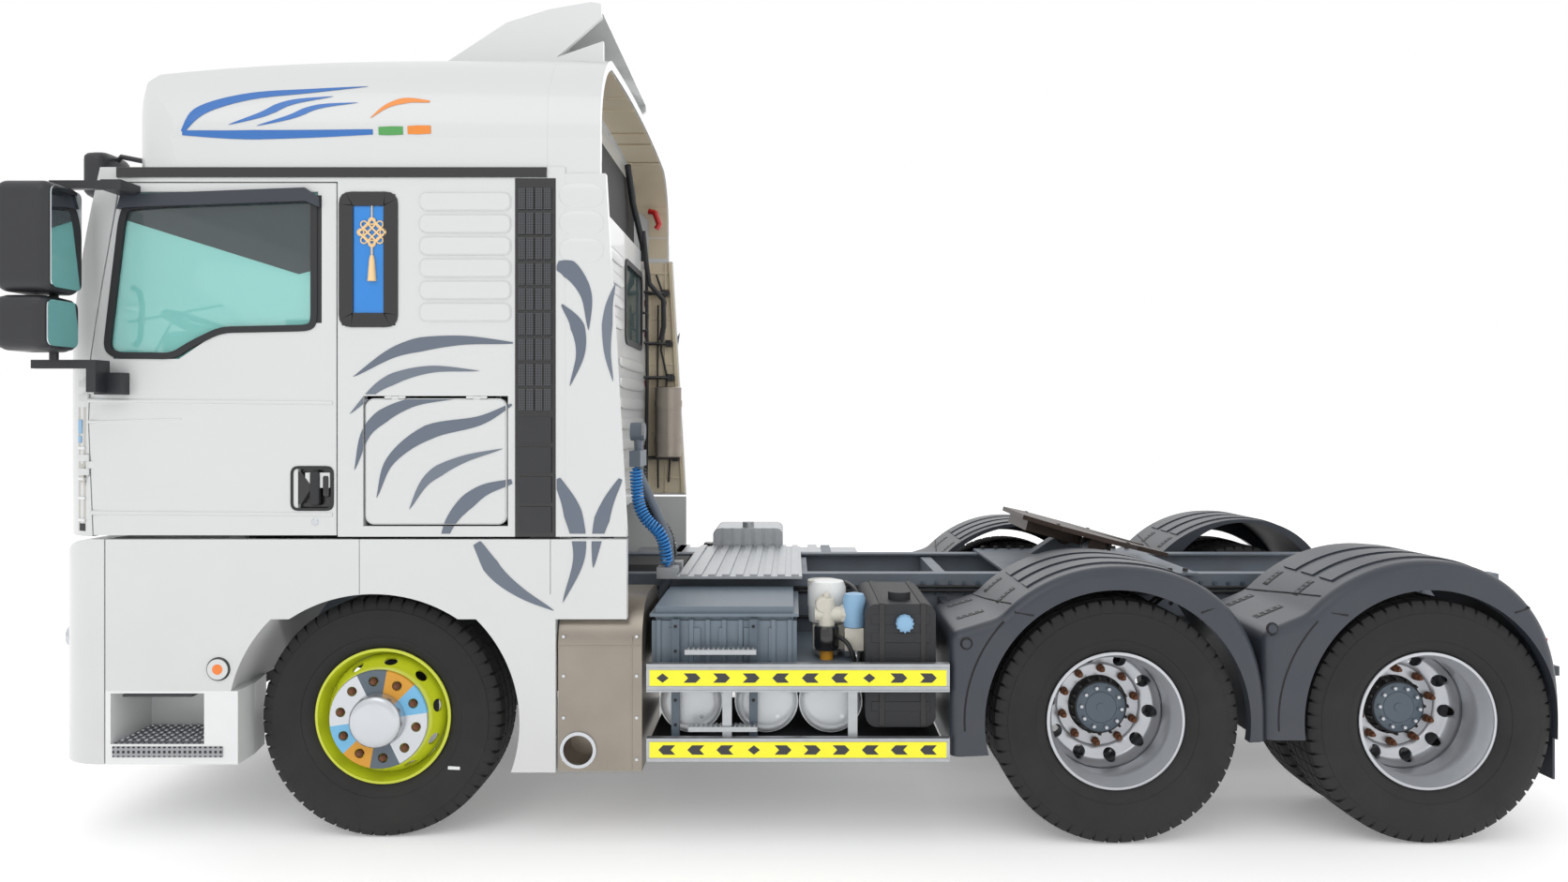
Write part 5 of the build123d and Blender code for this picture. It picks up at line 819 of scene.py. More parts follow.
class FrontWheel(Wheel):
    """A steered wheel: lime rim, nut cover with painted sectors, cap and tyre."""

    nut_start: float = -11.0
    disc: tuple = ((0.262, 0.050), (0.262, 0.062), (0.252, 0.085), (0.238, 0.112), (0.228, 0.134),
                   (0.219, 0.146),
                   (0.208, 0.150), (0.120, 0.150), (0.120, 0.139), (0.206, 0.139), (0.213, 0.134),
                   (0.222, 0.120),
                   (0.236, 0.090), (0.250, 0.055))
    plate: tuple = ((0.118, 0.150), (0.214, 0.150), (0.215, 0.164), (0.212, 0.168), (0.118, 0.168))
    # index of the paint on each tenth of the cover
    sectors: tuple = (0, 3, 2, 1, 0, 0, 3, 2, 1, 0)

    def __init__(self, side: Side, centre: Point) -> None:
        """Place the wheel.

        Args:
            side: Which side of the vehicle.
            centre: Middle of the tyre.
        """
        super().__init__(side, centre, "wheel_front_" + side.word)

    def build(self, shop: "Workshop") -> None:
        """Make the wheel's pieces.

        Args:
            shop: Finishes and repeat trees.
        """
        form = Form()
        Tyre().form(form, self.centre, 0.3)
        form.done(f"front_tyre_{self.side.word}", (shop.tyre,), self.body, "tyre",
                  (f"tyre_front_{self.side.word}",), smooth=24)
        self.rim(shop)
        self.cover(shop)
        if self.side is Side.LEFT:
            self.chalk(shop)

    def rim(self, shop: "Workshop") -> None:
        """The rim with its dished, vented disc.

        Args:
            shop: Finishes and repeat trees.
        """
        dish = plain_mesh(Form().lathe(self.disc, self.centre, self.out, steps=120))
        knives, form = Form(), Form()
        for angle in (2 * math.pi * (i + 0.30) / 10 for i in range(10)):
            radial = Vector((math.cos(angle), 0, math.sin(angle)))
            along = Vector((0, self.out, 0)) * 0.42 + radial * 0.91
            middle = Vector(self.at(0.103)) + radial * 0.2415
            knives.tube([middle - along * 0.030, middle + along * 0.034], 0.0285, sides=20)
        form.mesh.from_mesh(cut_out(dish, knives))
        form.lathe(Rim().tube_profile(), self.centre, self.out, steps=120)
        form.lathe([(0.120, -0.05), (0.190, -0.05), (0.190, 0.02), (0.140, 0.04), (0.120, 0.138)],
                   self.centre,
                   self.out, mark=1)
        form.done(f"front_rim_{self.side.word}", (shop.lime, shop.cast), self.body, "rim_lime",
                  (f"rim_front_{self.side.word}",), smooth=38)

    def cover(self, shop: "Workshop") -> None:
        """The nut cover with its coloured sectors, the hub cap and the nuts.

        Args:
            shop: Finishes and repeat trees.
        """
        word, start = self.side.word, math.radians(self.nut_start)
        data = self.bored(Form().lathe(self.plate, self.centre, self.out, steps=90), self.nut_circle,
                          (start + 2 * math.pi * i / 10 for i in range(10)), (0.14, 0.19), 0.0215)
        for polygon in data.polygons:
            spot = polygon.center
            angle = math.atan2(spot[2] - self.centre[2], spot[0] - self.centre[0]) - start
            polygon.material_index = self.sectors[round(angle / (math.pi / 5)) % 10]
        paints = (shop.bright, shop.slate, shop.ochre, shop.sky)
        place(data, f"nut_cover_{word}", paints, self.body, smooth=38)
        cap = Form().lathe([(0.0, 0.223), (0.080, 0.2225), (0.100, 0.219), (0.110, 0.211), (0.115, 0.198),
                            (0.119, 0.150)], self.centre, self.out, steps=72, loop=False)
        cap.done(f"hub_cap_{word}", (shop.bright,), self.body, "rim_silver", smooth=50)
        self.ring(shop.bolts, f"wheel_nuts_{word}", 0.160, (0.034, 0.018), shop.rust, self.nut_start)
        self.ring(shop.discs, f"wheel_studs_{word}", 0.166, (0.021, 0.016), shop.rust, self.nut_start)

    def chalk(self, shop: "Workshop") -> None:
        """A short white mark on the tyre's side.

        Args:
            shop: Finishes and repeat trees.
        """
        angle, lift = math.radians(-34), Vector((0, self.out * 0.004, 0))
        along = Vector((math.cos(angle + 0.55), 0, math.sin(angle + 0.55))) * 0.026
        middle = Vector(self.at(0.1474)) + Vector((math.cos(angle), 0, math.sin(angle))) * 0.389
        across = Vector((-along.z, 0, along.x)) * 0.26
        ring = [middle + along + across, middle + along - across, middle - along - across,
                middle - along + across]
        mark = Form().loft([[p - lift for p in ring], [p + lift * 0.25 for p in ring]])
        mark.done("chalk_mark", (shop.white,), self.body)


class TwinWheels(Wheel):
    """A driven pair: two tyres, deep-dished rims, hub with its bolted plate and rusty nuts."""

    spacing: float = 0.325
    vent_circle: float = 0.2265
    vent_radius: float = 0.029
    end_plate: tuple = ((0.0, 0.068), (0.020, 0.068), (0.021, 0.0655), (0.068, 0.0655), (0.070, 0.068),
                        (0.072, 0.0655), (0.106, 0.0655), (0.111, 0.062), (0.113, 0.054))
    dish: tuple = ((0.262, -0.062), (0.262, -0.078), (0.250, -0.098), (0.243, -0.118), (0.235, -0.124),
                   (0.226, -0.125), (0.200, -0.135), (0.190, -0.141), (0.184, -0.1515), (0.130, -0.1515),
                   (0.130, -0.1625), (0.196, -0.1625), (0.204, -0.148), (0.232, -0.136), (0.247, -0.130),
                   (0.254, -0.104), (0.262, -0.092))

    def __init__(self, side: Side, axle: int, centre: Point) -> None:
        """Place the pair.

        Args:
            side: Which side of the vehicle.
            axle: Number of the driven axle.
            centre: Middle between the two tyres.
        """
        self.axle, self.tag = axle, f"{axle}_{side.word}"
        super().__init__(side, centre, "wheel_drive_" + self.tag)

    def build(self, shop: "Workshop") -> None:
        """Make the pair's pieces.

        Args:
            shop: Finishes and repeat trees.
        """
        half = self.spacing / 2
        tyres = Form()
        Tyre().form(tyres, self.at(half), 0.2 * self.axle)
        Tyre().form(tyres, self.at(-half), 0.5)
        tyres.done(f"twin_tyres_{self.tag}", (shop.tyre,), self.body, "tyre", (f"tyres_drive_{self.tag}",),
                   smooth=24)
        self.rims(shop)
        self.hub(shop)

    def rims(self, shop: "Workshop") -> None:
        """Two rims, back to back, with vented dishes.

        Args:
            shop: Finishes and repeat trees.
        """
        half, form = self.spacing / 2, Form()
        dishes = Form().lathe(self.dish, self.at(half), self.out, steps=120)
        dishes.lathe(self.dish, self.at(-half), -self.out, steps=120)
        form.mesh.from_mesh(self.bored(dishes, self.vent_circle,
                                       (2 * math.pi * i / 10 - math.radians(6) for i in range(10)),
                                       (-0.09, 0.09),
                                       self.vent_radius))
        for turn in (1, -1):
            form.lathe(Rim().tube_profile(), self.at(turn * half), turn * self.out, steps=120)
        form.done(f"twin_rims_{self.tag}", (shop.silver,), self.body, "rim_silver",
                  (f"rims_drive_{self.tag}",),
                  smooth=38)

    def hub(self, shop: "Workshop") -> None:
        """The hub drum, its slate end plate with ten bolts, and the wheel nuts.

        Args:
            shop: Finishes and repeat trees.
        """
        drum = Form().lathe([(0.060, -0.230), (0.205, -0.230), (0.205, -0.030), (0.140, -0.020),
                             (0.138, 0.010),
                             (0.128, 0.014), (0.124, 0.040), (0.118, 0.058), (0.060, 0.058)], self.centre,
                            self.out,
                            steps=60)
        for angle in (2 * math.pi * i / 16 for i in range(16)):
            radial = Vector((math.cos(angle), 0, math.sin(angle)))
            side = Vector((-radial.z, 0, radial.x)) * 0.006
            base = Vector(self.at(0.012)) + radial * 0.121
            ring = [base + radial * 0.010 + side, base + radial * 0.010 - side, base - side, base + side]
            top = Vector((0, self.out * 0.042, 0))
            drum.loft([ring, [p + top for p in ring]])
        drum.done(f"hub_drum_{self.tag}", (shop.black_iron,), self.body, "cast_dark", smooth=38)
        plate = Form().lathe(self.end_plate, self.centre, self.out, steps=72, loop=False)
        plate.done(f"hub_plate_{self.tag}", (shop.slate,), self.body, "chassis_grey", smooth=38)
        self.ring(shop.bolts, f"hub_bolts_{self.tag}", 0.070, (0.019, 0.010), shop.silver, -4, 0.091)
        self.ring(shop.discs, f"wheel_nuts_{self.tag}", 0.014, (0.036, 0.026), shop.rust, 14)
        self.ring(shop.discs, f"wheel_studs_{self.tag}", 0.036, (0.021, 0.024), shop.rust, 14)


# ------------------------------------------------------------------ outlines and surfaces
def arc_points(centre: Point, radius: float, start: float, end: float, count: int = 8) -> list:
    """Points on an arc in a plane, angles in degrees."""
    angles = (math.radians(start + (end - start) * i / (count - 1)) for i in range(count))
    return [(centre[0] + radius * math.cos(a), centre[1] + radius * math.sin(a)) for a in angles]


def eased(outline: Sequence[Point], radius: float, steps: int = 5) -> list:
    """The outline with its corners rounded.

    Args:
        outline: Closed outline in a plane.
        radius: How far from each corner the rounding starts.
        steps: Points to a corner.

    Returns:
        The new outline.
    """
    result = []
    for i, corner in enumerate(outline):
        here = Vector(corner)
        before, after = Vector(outline[i - 1]) - here, Vector(outline[(i + 1) % len(outline)]) - here
        a = here + before.normalized() * min(radius, before.length * 0.45)
        b = here + after.normalized() * min(radius, after.length * 0.45)
        for k in range(steps):
            t = k / (steps - 1)
            result.append(tuple(a * (1 - t) ** 2 + here * 2 * t * (1 - t) + b * t ** 2))
    return result


def grown(outline: Sequence[Point], amount: float) -> list:
    """The outline moved outwards by an amount, corner by corner.

    Args:
        outline: Closed outline in a plane.
        amount: Metres outwards; below nought moves it inwards.

    Returns:
        The new outline.
    """
    count = len(outline)
    area = sum(outline[i - 1][0] * outline[i][1] - outline[i][0] * outline[i - 1][1] for i in range(count))
    turn = 1.0 if area > 0 else -1.0
    result = []
    for i in range(count):
        here = Vector(outline[i])
        one = (here - Vector(outline[i - 1])).normalized()
        two = (Vector(outline[(i + 1) % count]) - here).normalized()
        first, second = Vector((one.y, -one.x)) * turn, Vector((two.y, -two.x)) * turn
        both = first + second
        both = both / max(0.35, both.length_squared / 2)
        result.append(tuple(here + both * amount))
    return result


def band(form: Form, outline: Sequence[Point], outer: float, inner: float, low: float, high: float,
         axis: int = 1, mark: int = 0) -> None:
    """A closed frame along an outline.

    Args:
        form: Where it goes.
        outline: The outline that it follows.
        outer: How far it reaches outside the outline.
        inner: How far it reaches inside.
        low: One face's place on the axis.
        high: The other face's place.
        axis: 0, 1 or 2 for X, Y or Z.
        mark: Index of the finish.
    """
    def ring(points: Sequence[Point], level: float) -> list:
        """The outline's points at one level.

        Args:
            points: The outline.
            level: Place on the axis.

        Returns:
            The points in three axes.
        """
        made = []
        for p in points:
            parts = list(p)
            parts.insert(axis, level)
            made.append(tuple(parts))
        return made
    out, into = grown(outline, outer), grown(outline, -inner)
    form.loft([ring(out, low), ring(out, high), ring(into, high), ring(into, low)], mark, loop=True)


def rectangle(low: Point, high: Point) -> list:
    """The four corners of an upright rectangle."""
    return [(low[0], low[1]), (high[0], low[1]), (high[0], high[1]), (low[0], high[1])]


def flowing(path: Sequence[Point], steps: int) -> list:
    """A smooth curve through points.

    Args:
        path: The points that it passes through.
        steps: How finely the whole curve is divided.

    Returns:
        The curve's points.
    """
    points = [Vector(p) for p in path]
    ends = [points[0] * 2 - points[1]] + points + [points[-1] * 2 - points[-2]]
    line, spans = [], len(points) - 1
    for i in range(steps + 1):
        t = i / steps * spans
        k = min(int(t), spans - 1)
        u = t - k
        p0, p1, p2, p3 = ends[k:k + 4]
        line.append(0.5 * (2 * p1 + (p2 - p0) * u + (2 * p0 - 5 * p1 + 4 * p2 - p3) * u * u
                           + (3 * p1 - p0 - 3 * p2 + p3) * u ** 3))
    return line


class Skin:
    """The outside of some CAD nodes, on which flat drawings are laid."""

    def __init__(self, frame: dict, nodes: Sequence[str]) -> None:
        """Collect the nodes' faces.

        Args:
            nodes: Names of the CAD nodes.
        """
        points, faces = [], []
        for name in nodes:
            mesh = frame["nodes"][name].data
            start = len(points)
            points += [v.co.copy() for v in mesh.vertices]
            faces += [[start + i for i in p.vertices] for p in mesh.polygons]
        self.tree = BVHTree.FromPolygons(points, faces)

    def hit(self, start: Point, direction: Point, fallback: float = 2.0) -> Vector:
        """Where a ray from a point first meets the nodes."""
        where = self.tree.ray_cast(Vector(start), Vector(direction))[0]
        return where if where else Vector(start) + Vector(direction) * fallback


@dataclass(frozen=True)
class Blade:
    """A drawn stroke on a side of the vehicle: a curve through points that swells and tapers."""
    path: tuple
    width: float
    tone: int = 0
    start_share: float = 0.05
    end_share: float = 0.05
    swell: float = 0.45

    def strip(self, steps: int = 28) -> list:
        """Pairs of edge points along the stroke.

        Args:
            steps: How finely the curve is divided.

        Returns:
            Pairs of points in X and Z.
        """
        line = flowing(self.path, steps)
        pairs = []
        for i, p in enumerate(line):
            along = (line[min(i + 1, steps)] - line[max(i - 1, 0)]).normalized()
            t = i / steps
            rise = (t / self.swell if t < self.swell else (1 - t) / (1 - self.swell)) ** 0.8
            share = self.start_share * (1 - t) + self.end_share * t
            half = self.width / 2 * (share + (1 - share) * rise)
            across = Vector((-along.y, along.x)) * half
            pairs.append((p + across, p - across))
        return pairs


class Drawing:
    """Strokes laid on a side of the vehicle as a thin film, cut where panels part."""

    lift: float = 0.0012
    film: float = 0.0010

    def __init__(self, skin: Skin, side: Side, flat: float | None = None) -> None:
        """Choose the skin.

        Args:
            skin: What the film lies on.
            side: Which side of the vehicle.
            flat: The flat panel's distance from the middle, or None to feel for the skin.
        """
        self.skin, self.side, self.flat = skin, side, flat

    def lay(self, blades: Sequence[Blade], name: str, inks: Sequence[bpy.types.Material],
            zones: Sequence[tuple], slot: str = "cab_white") -> None:
        """Lay the strokes, sharing them out among zones.

        Args:
            blades: The strokes.
            name: Start of the pieces' names.
            inks: Materials by tone.
            zones: Tuples of label, body, low corner and high corner in X and Z; a face goes to the first zone
                that holds its middle.
            slot: The record's material slot.
        """
        work = bmesh.new()
        for blade in blades:
            pairs = blade.strip()
            rows = []
            for a, b in pairs:
                rows.append([work.verts.new((*a.lerp(b, k / 3), 0)) for k in range(4)])
            for one, two in zip(rows, rows[1:]):
                for k in range(3):
                    work.faces.new((one[k], one[k + 1], two[k + 1], two[k])).material_index = blade.tone
        for _, _, low, high in zones:
            for place_at, normal in ((low, (1, 0, 0)), (high, (1, 0, 0)), (low, (0, 1, 0)),
                                     (high, (0, 1, 0))):
                bmesh.ops.bisect_plane(work, geom=work.verts[:] + work.edges[:] + work.faces[:],
                                       plane_co=(*place_at, 0), plane_no=normal)
        groups: dict = {}
        for face in work.faces:
            middle = face.calc_center_median()
            for label, body, low, high in zones:
                if low[0] <= middle.x <= high[0] and low[1] <= middle.y <= high[1]:
                    groups.setdefault((label, body), []).append(face)
                    break
        out = float(self.side.value)
        for (label, body), faces in groups.items():
            if not body:
                continue
            form = Form()
            for face in faces:
                tops, feet = [], []
                for corner in (loop.vert.co for loop in face.loops):
                    if self.flat is None:
                        y = self.skin.hit((corner.x, out * 3.0, corner.y), (0, -out, 0)).y
                    else:
                        y = out * self.flat
                    tops.append((corner.x, y + out * (self.lift + self.film), corner.y))
                    feet.append((corner.x, y + out * self.lift, corner.y))
                up = [form.mesh.verts.new(p) for p in tops]
                down = [form.mesh.verts.new(p) for p in feet]
                form.mesh.faces.new(up).material_index = face.material_index
                form.mesh.faces.new(down[::-1]).material_index = face.material_index
            bmesh.ops.remove_doubles(form.mesh, verts=form.mesh.verts, dist=0.00008)
            form.done(f"{name}_{label}_{self.side.word}", inks, body, slot, smooth=60)
        work.free()


# ------------------------------------------------------------------ workshop
def tint(red: int, green: int, blue: int) -> tuple:
    """A colour given in screen values from 0 to 255, as linear light."""
    return tuple(c / 255 / 12.92 if c <= 10 else ((c / 255 + 0.055) / 1.055) ** 2.4
                 for c in (red, green, blue))


@dataclass(frozen=True)
class Crease:
    """A pressed line on the cab's sides, from one point in X and Z to another."""
    start: tuple
    end: tuple
    depth: float = 1.0


@dataclass(frozen=True)
class CabPaint:
    """White coach paint with the pressed lines of the cab's sides."""
    name: str = "cab_paint"
    colour: tuple = tint(207, 209, 209)
    creases: tuple = (Crease((-3.25, 1.919), (-2.136, 1.907)), Crease((-3.25, 1.824), (-2.72, 1.841), 0.8),
                      Crease((-3.25, 1.436), (-2.136, 1.427)), Crease((-2.136, 1.6245), (-1.33, 1.6245)),
                      Crease((-2.136, 1.4915), (-1.33, 1.463)), Crease((-2.136, 2.108), (-1.33, 2.112), 0.7))

    def make(self) -> bpy.types.Material:
        """Build the material.

        Returns:
            The new material.
        """
        nodes = Nodes(self.name)
        darker, paler = (tuple(min(1, c * share) for c in self.colour) for share in (0.985, 1.015))
        colour = nodes.mix(nodes.noise(1.6, 3), darker, paler)
        low = nodes.ramp(nodes.math("DIVIDE", nodes.axis(2), 4.0), ((0.08, 1.0), (0.42, 0.0)))
        dust = nodes.math("MULTIPLY", nodes.math("MULTIPLY", low, nodes.noise(4.0, 6)), 0.22)
        nodes.set(Base_Color=nodes.mix(dust, colour, tint(150, 142, 130)))
        nodes.set(Roughness=0.30, Coat_Weight=0.5, Coat_Roughness=0.05)
        height = 0.0
        for crease in self.creases:
            slope = (crease.end[1] - crease.start[1]) / (crease.end[0] - crease.start[0])
            run = nodes.math("SUBTRACT", nodes.axis(0), crease.start[0])
            line = nodes.math("ADD", nodes.math("MULTIPLY", run, slope), crease.start[1])
            away = nodes.math("SUBTRACT", nodes.axis(2), line)
            step = nodes.math("ADD", nodes.math("MULTIPLY", away, 22.0), 0.5)
            rise = nodes.ramp(step, ((0.15, 0.0), (0.85, 1.0)))
            middle = (crease.start[0] + crease.end[0]) / 2
            half = abs(crease.end[0] - crease.start[0]) / 2
            across = nodes.math("ABSOLUTE", nodes.math("SUBTRACT", nodes.axis(0), middle))
            inside = nodes.ramp(nodes.math("SUBTRACT", half + 0.02, across), ((0.0, 0.0), (0.05, 1.0)))
            near = nodes.ramp(nodes.math("ABSOLUTE", away), ((0.05, 1.0), (0.14, 0.0)))
            share = nodes.math("MULTIPLY", nodes.math("MULTIPLY", inside, near), crease.depth)
            height = nodes.math("ADD", nodes.math("MULTIPLY", rise, share), height)
        nodes.bump(height, 0.9, 0.004)
        return nodes.material


@dataclass(frozen=True)
class Perforated:
    """Dark punched sheet: rows of round holes in grey plastic; the holes are not cut but coloured dark, as
    painted shade seen through them.
    """
    name: str
    pitch: tuple
    share: float = 0.30
    sheet: tuple = tint(86, 88, 92)
    hole: tuple = tint(24, 24, 26)
    axes: tuple = (0, 2)

    def make(self) -> bpy.types.Material:
        """Build the material.

        Returns:
            The new material.
        """
        nodes = Nodes(self.name)
        parts = []
        for axis, pitch in zip(self.axes, self.pitch):
            share = nodes.math("FRACT", nodes.math("DIVIDE", nodes.axis(axis), pitch))
            cell = nodes.math("SUBTRACT", share, 0.5)
            parts.append(nodes.math("MULTIPLY", cell, cell))
        away = nodes.math("SQRT", nodes.math("ADD", parts[0], parts[1]))
        inside = nodes.math("LESS_THAN", away, self.share)
        # painted shade: each hole is coloured dark for the shade seen through it
        nodes.set(Base_Color=nodes.mix(inside, self.sheet, self.hole), Roughness=0.55)
        nodes.bump(nodes.math("SUBTRACT", 1.0, inside), 0.5, 0.004)
        return nodes.material


class Workshop:
    """The finishes and repeat trees that the assemblies share."""

    def __init__(self) -> None:
        """Mix every finish once."""
        self.paint = CabPaint().make()
        self.white = Finish("body_white", tint(220, 222, 222), 0.35, coat=0.4, uneven=0.03).make()
        self.beige = Finish("fairing_lining", tint(206, 193, 168), 0.55, uneven=0.05, grain=5).make()
        self.tyre = Finish("tyre_rubber", tint(17, 17, 19), 0.70, uneven=0.14, grain=14, grain_depth=0.0004,
                           dirt=0.12, dirt_colour=tint(92, 88, 84), dirt_top=0.8).make()
        self.rubber = Finish("seal_rubber", tint(36, 37, 39), 0.6).make()
        self.plastic = Finish("charcoal_plastic", tint(40, 41, 45), 0.42, uneven=0.08, dirt=0.10,
                              dirt_colour=tint(112, 108, 102), dirt_top=1.6).make()
        self.guard = Finish("guard_plastic", tint(50, 55, 64), 0.36, uneven=0.07, grain=4, grain_depth=0.0003,
                            dirt=0.08, dirt_colour=tint(104, 102, 98), dirt_top=1.5).make()
        self.black = Finish("black_gloss", tint(22, 22, 24), 0.25, coat=0.5).make()
        self.dark = Finish("dark_parts", tint(38, 39, 42), 0.6, uneven=0.15).make()
        self.steel_blue = Finish("frame_slate", tint(108, 117, 128), 0.48, uneven=0.12, grain=7, dirt=0.35,
                                 dirt_colour=tint(96, 88, 80), dirt_top=1.4).make()
        self.box_slate = Finish("box_slate", tint(104, 117, 129), 0.42, uneven=0.07, dirt=0.12).make()
        self.cast = Finish("cast_iron", tint(58, 57, 58), 0.65, 0.3, uneven=0.2, grain=18).make()
        self.black_iron = Finish("black_iron", tint(34, 33, 34), 0.55, 0.3, uneven=0.2).make()
        self.rust = Finish("rusty_steel", tint(112, 72, 50), 0.75, 0.3, uneven=0.3, grain=60).make()
        self.grease = Finish("greasy_plate", tint(60, 46, 38), 0.42, 0.3, uneven=0.35, grain=11).make()
        self.lime = Finish("lime_enamel", tint(196, 205, 44), 0.28, coat=0.6, uneven=0.05).make()
        self.slate = Finish("slate_enamel", tint(84, 96, 107), 0.4, uneven=0.06).make()
        self.ochre = Finish("ochre_enamel", tint(206, 146, 40), 0.4, uneven=0.06).make()
        self.cream = Finish("cream_casting", tint(206, 202, 190), 0.45, uneven=0.12, grain=30).make()
        self.sky = Finish("sky_enamel", tint(112, 176, 214), 0.4, uneven=0.06).make()
        self.bright = Finish("bright_alloy", tint(200, 203, 207), 0.26, 0.85, uneven=0.05).make()
        self.silver = Finish("rim_silver_paint", tint(196, 199, 204), 0.30, 0.6, uneven=0.05, grain=12,
                             dirt=0.08).make()
        self.stainless = Finish("brushed_stainless", tint(150, 142, 132), 0.34, 0.9, uneven=0.14,
                                grain=6).make()
        self.tank = Finish("tank_silver", tint(206, 209, 212), 0.35, 0.35, uneven=0.05).make()
        self.alloy = Finish("tread_alloy", tint(178, 181, 184), 0.38, 0.8, uneven=0.12, grain=20).make()
        self.pane = Finish("blue_pane", tint(24, 126, 208), 0.16, coat=0.6, uneven=0.05).make()
        self.pale_blue = Finish("pale_blue_plastic", tint(136, 176, 208), 0.45).make()
        # shaded_white is a darkened white; on the corner channel's back it is painted shade
        self.shade = Finish("shaded_white", tint(184, 182, 176), 0.5, uneven=0.05).make()
        self.red = Finish("red_plastic", tint(186, 30, 28), 0.35, coat=0.3).make()
        self.lemon = Finish("tape_lemon", tint(244, 236, 44), 0.4, uneven=0.02).make()
        self.amber = Finish("amber_lens", tint(232, 120, 22), 0.2, coat=0.6).make()
        self.lens = Finish("lamp_lens", tint(196, 202, 208), 0.12, 0.3, coat=0.8).make()
        self.mirror = Finish("mirror_glass", tint(198, 204, 208), 0.03, 1.0).make()
        self.seat = Finish("seat_cloth", tint(58, 60, 66), 0.9, uneven=0.2, grain=90).make()
        self.quilt = Finish("bunk_cloth", tint(146, 140, 132), 0.9, uneven=0.12, grain=60).make()
        self.trim = Finish("cab_trim", tint(70, 68, 66), 0.7).make()
        self.blue_hose = Finish("blue_hose", tint(58, 142, 214), 0.4, uneven=0.04).make()
        self.black_hose = Finish("black_hose", tint(30, 30, 32), 0.5, uneven=0.1).make()
        self.gold = Finish("gold_thread", tint(236, 202, 150), 0.45, 0.1).make()
        self.glass = Glass("window_glass", tint(158, 244, 236), 0.36).make()
        self.screen = Glass("screen_glass", tint(92, 116, 118), 0.55).make()
        # painted shade: a smoked film that darkens the top of the door windows as the shaded inside of the
        # cab would
        self.smoke = Glass("smoked_band", tint(58, 66, 70), 0.62).make()
        self.ink = self.inks(("ink_dark_grey", (92, 102, 116)), ("ink_mid_grey", (104, 113, 126)),
                             ("ink_pale_grey", (118, 126, 138)))
        self.roof_ink = self.inks(("ink_blue", (38, 104, 178)), ("ink_green", (74, 152, 76)),
                                  ("ink_orange", (226, 132, 40)))
        # the dark hole colours of both treads are painted shade seen through the holes
        self.tread_front = Perforated("tread_front", (0.022, 0.022), 0.30, tint(150, 152, 155),
                                      tint(34, 34, 36)).make()
        self.tread_sheet = Perforated("tread_sheet", (0.024, 0.024), 0.26, tint(122, 124, 128),
                                      tint(30, 30, 32), (0, 1)).make()
        self.bolts, self.discs = Repeat(Small.BOLT), Repeat(Small.DISC)

    @staticmethod
    def inks(*pairs: tuple) -> list:
        """The glossy flat colours of one set of painted blades.

        Args:
            pairs: Name and screen colour of each.

        Returns:
            The materials, in the same order.
        """
        return [Finish(name, tint(*colour), 0.32, coat=0.4, uneven=0.02).make() for name, colour in pairs]


class Coverings:
    """Finishes for the CAD nodes that are shown as they are."""

    def __init__(self, frame: dict, shop: Workshop) -> None:
        """Pair the nodes with finishes.

        Args:
            shop: Finishes.
        """
        self.frame = frame
        self.pairs = {
            "air_dryer": shop.shade, "air_tanks": shop.tank, "battery_box": shop.box_slate,
            "cab_fairings": shop.paint, "cab_glass": shop.screen, "cab_shell": shop.paint,
            "dashboard": shop.trim, "door_glass": shop.glass, "door": shop.paint, "drive_axles": shop.cast,
            "driveline": shop.dark, "engine_block": shop.cast, "exhaust_box": shop.stainless,
            "fifth_wheel_base": shop.steel_blue, "fifth_wheel_plate": shop.grease,
            "frame_rails": shop.steel_blue, "front_axle": shop.cast, "front_bumper": shop.paint,
            "front_flap": shop.paint, "fuel_tank": shop.alloy, "hatch": shop.paint, "headlamps": shop.lens,
            "hose_black": shop.black_hose, "hose_blue": shop.blue_hose, "hose_stand": shop.steel_blue,
            "intake_strips": shop.black, "knuckle": shop.black_iron, "leaf_springs": shop.cast,
            "lower_panels": shop.paint, "mirrors": shop.plastic, "radiator": shop.dark,
            "rear_mudguards": shop.guard, "ribbed_tank": shop.alloy, "roof_cap": shop.paint,
            "roof_spoiler": shop.paint, "seats_and_bunk": shop.seat, "side_canister": shop.stainless,
            "side_guards": shop.alloy, "steps": shop.white, "tail_lamps": shop.red, "urea_tank": shop.dark,
            "walkway": shop.alloy}

    def dress(self) -> None:
        """Give each node its finish."""
        for name, node in self.frame["nodes"].items():
            stem = name.replace("_left", "").replace("_right", "")
            if stem not in self.pairs:
                continue
            if not node.data.materials:
                node.data.materials.append(self.pairs[stem])
            for slot in node.material_slots:
                slot.material = self.pairs[stem]
            if stem == "mirrors":
                round_off = node.modifiers.new("round_off", "BEVEL")
                round_off.width, round_off.segments, round_off.limit_method = 0.012, 3, "ANGLE"
            LOG.info("%s: covered in %s", name, self.pairs[stem].name)


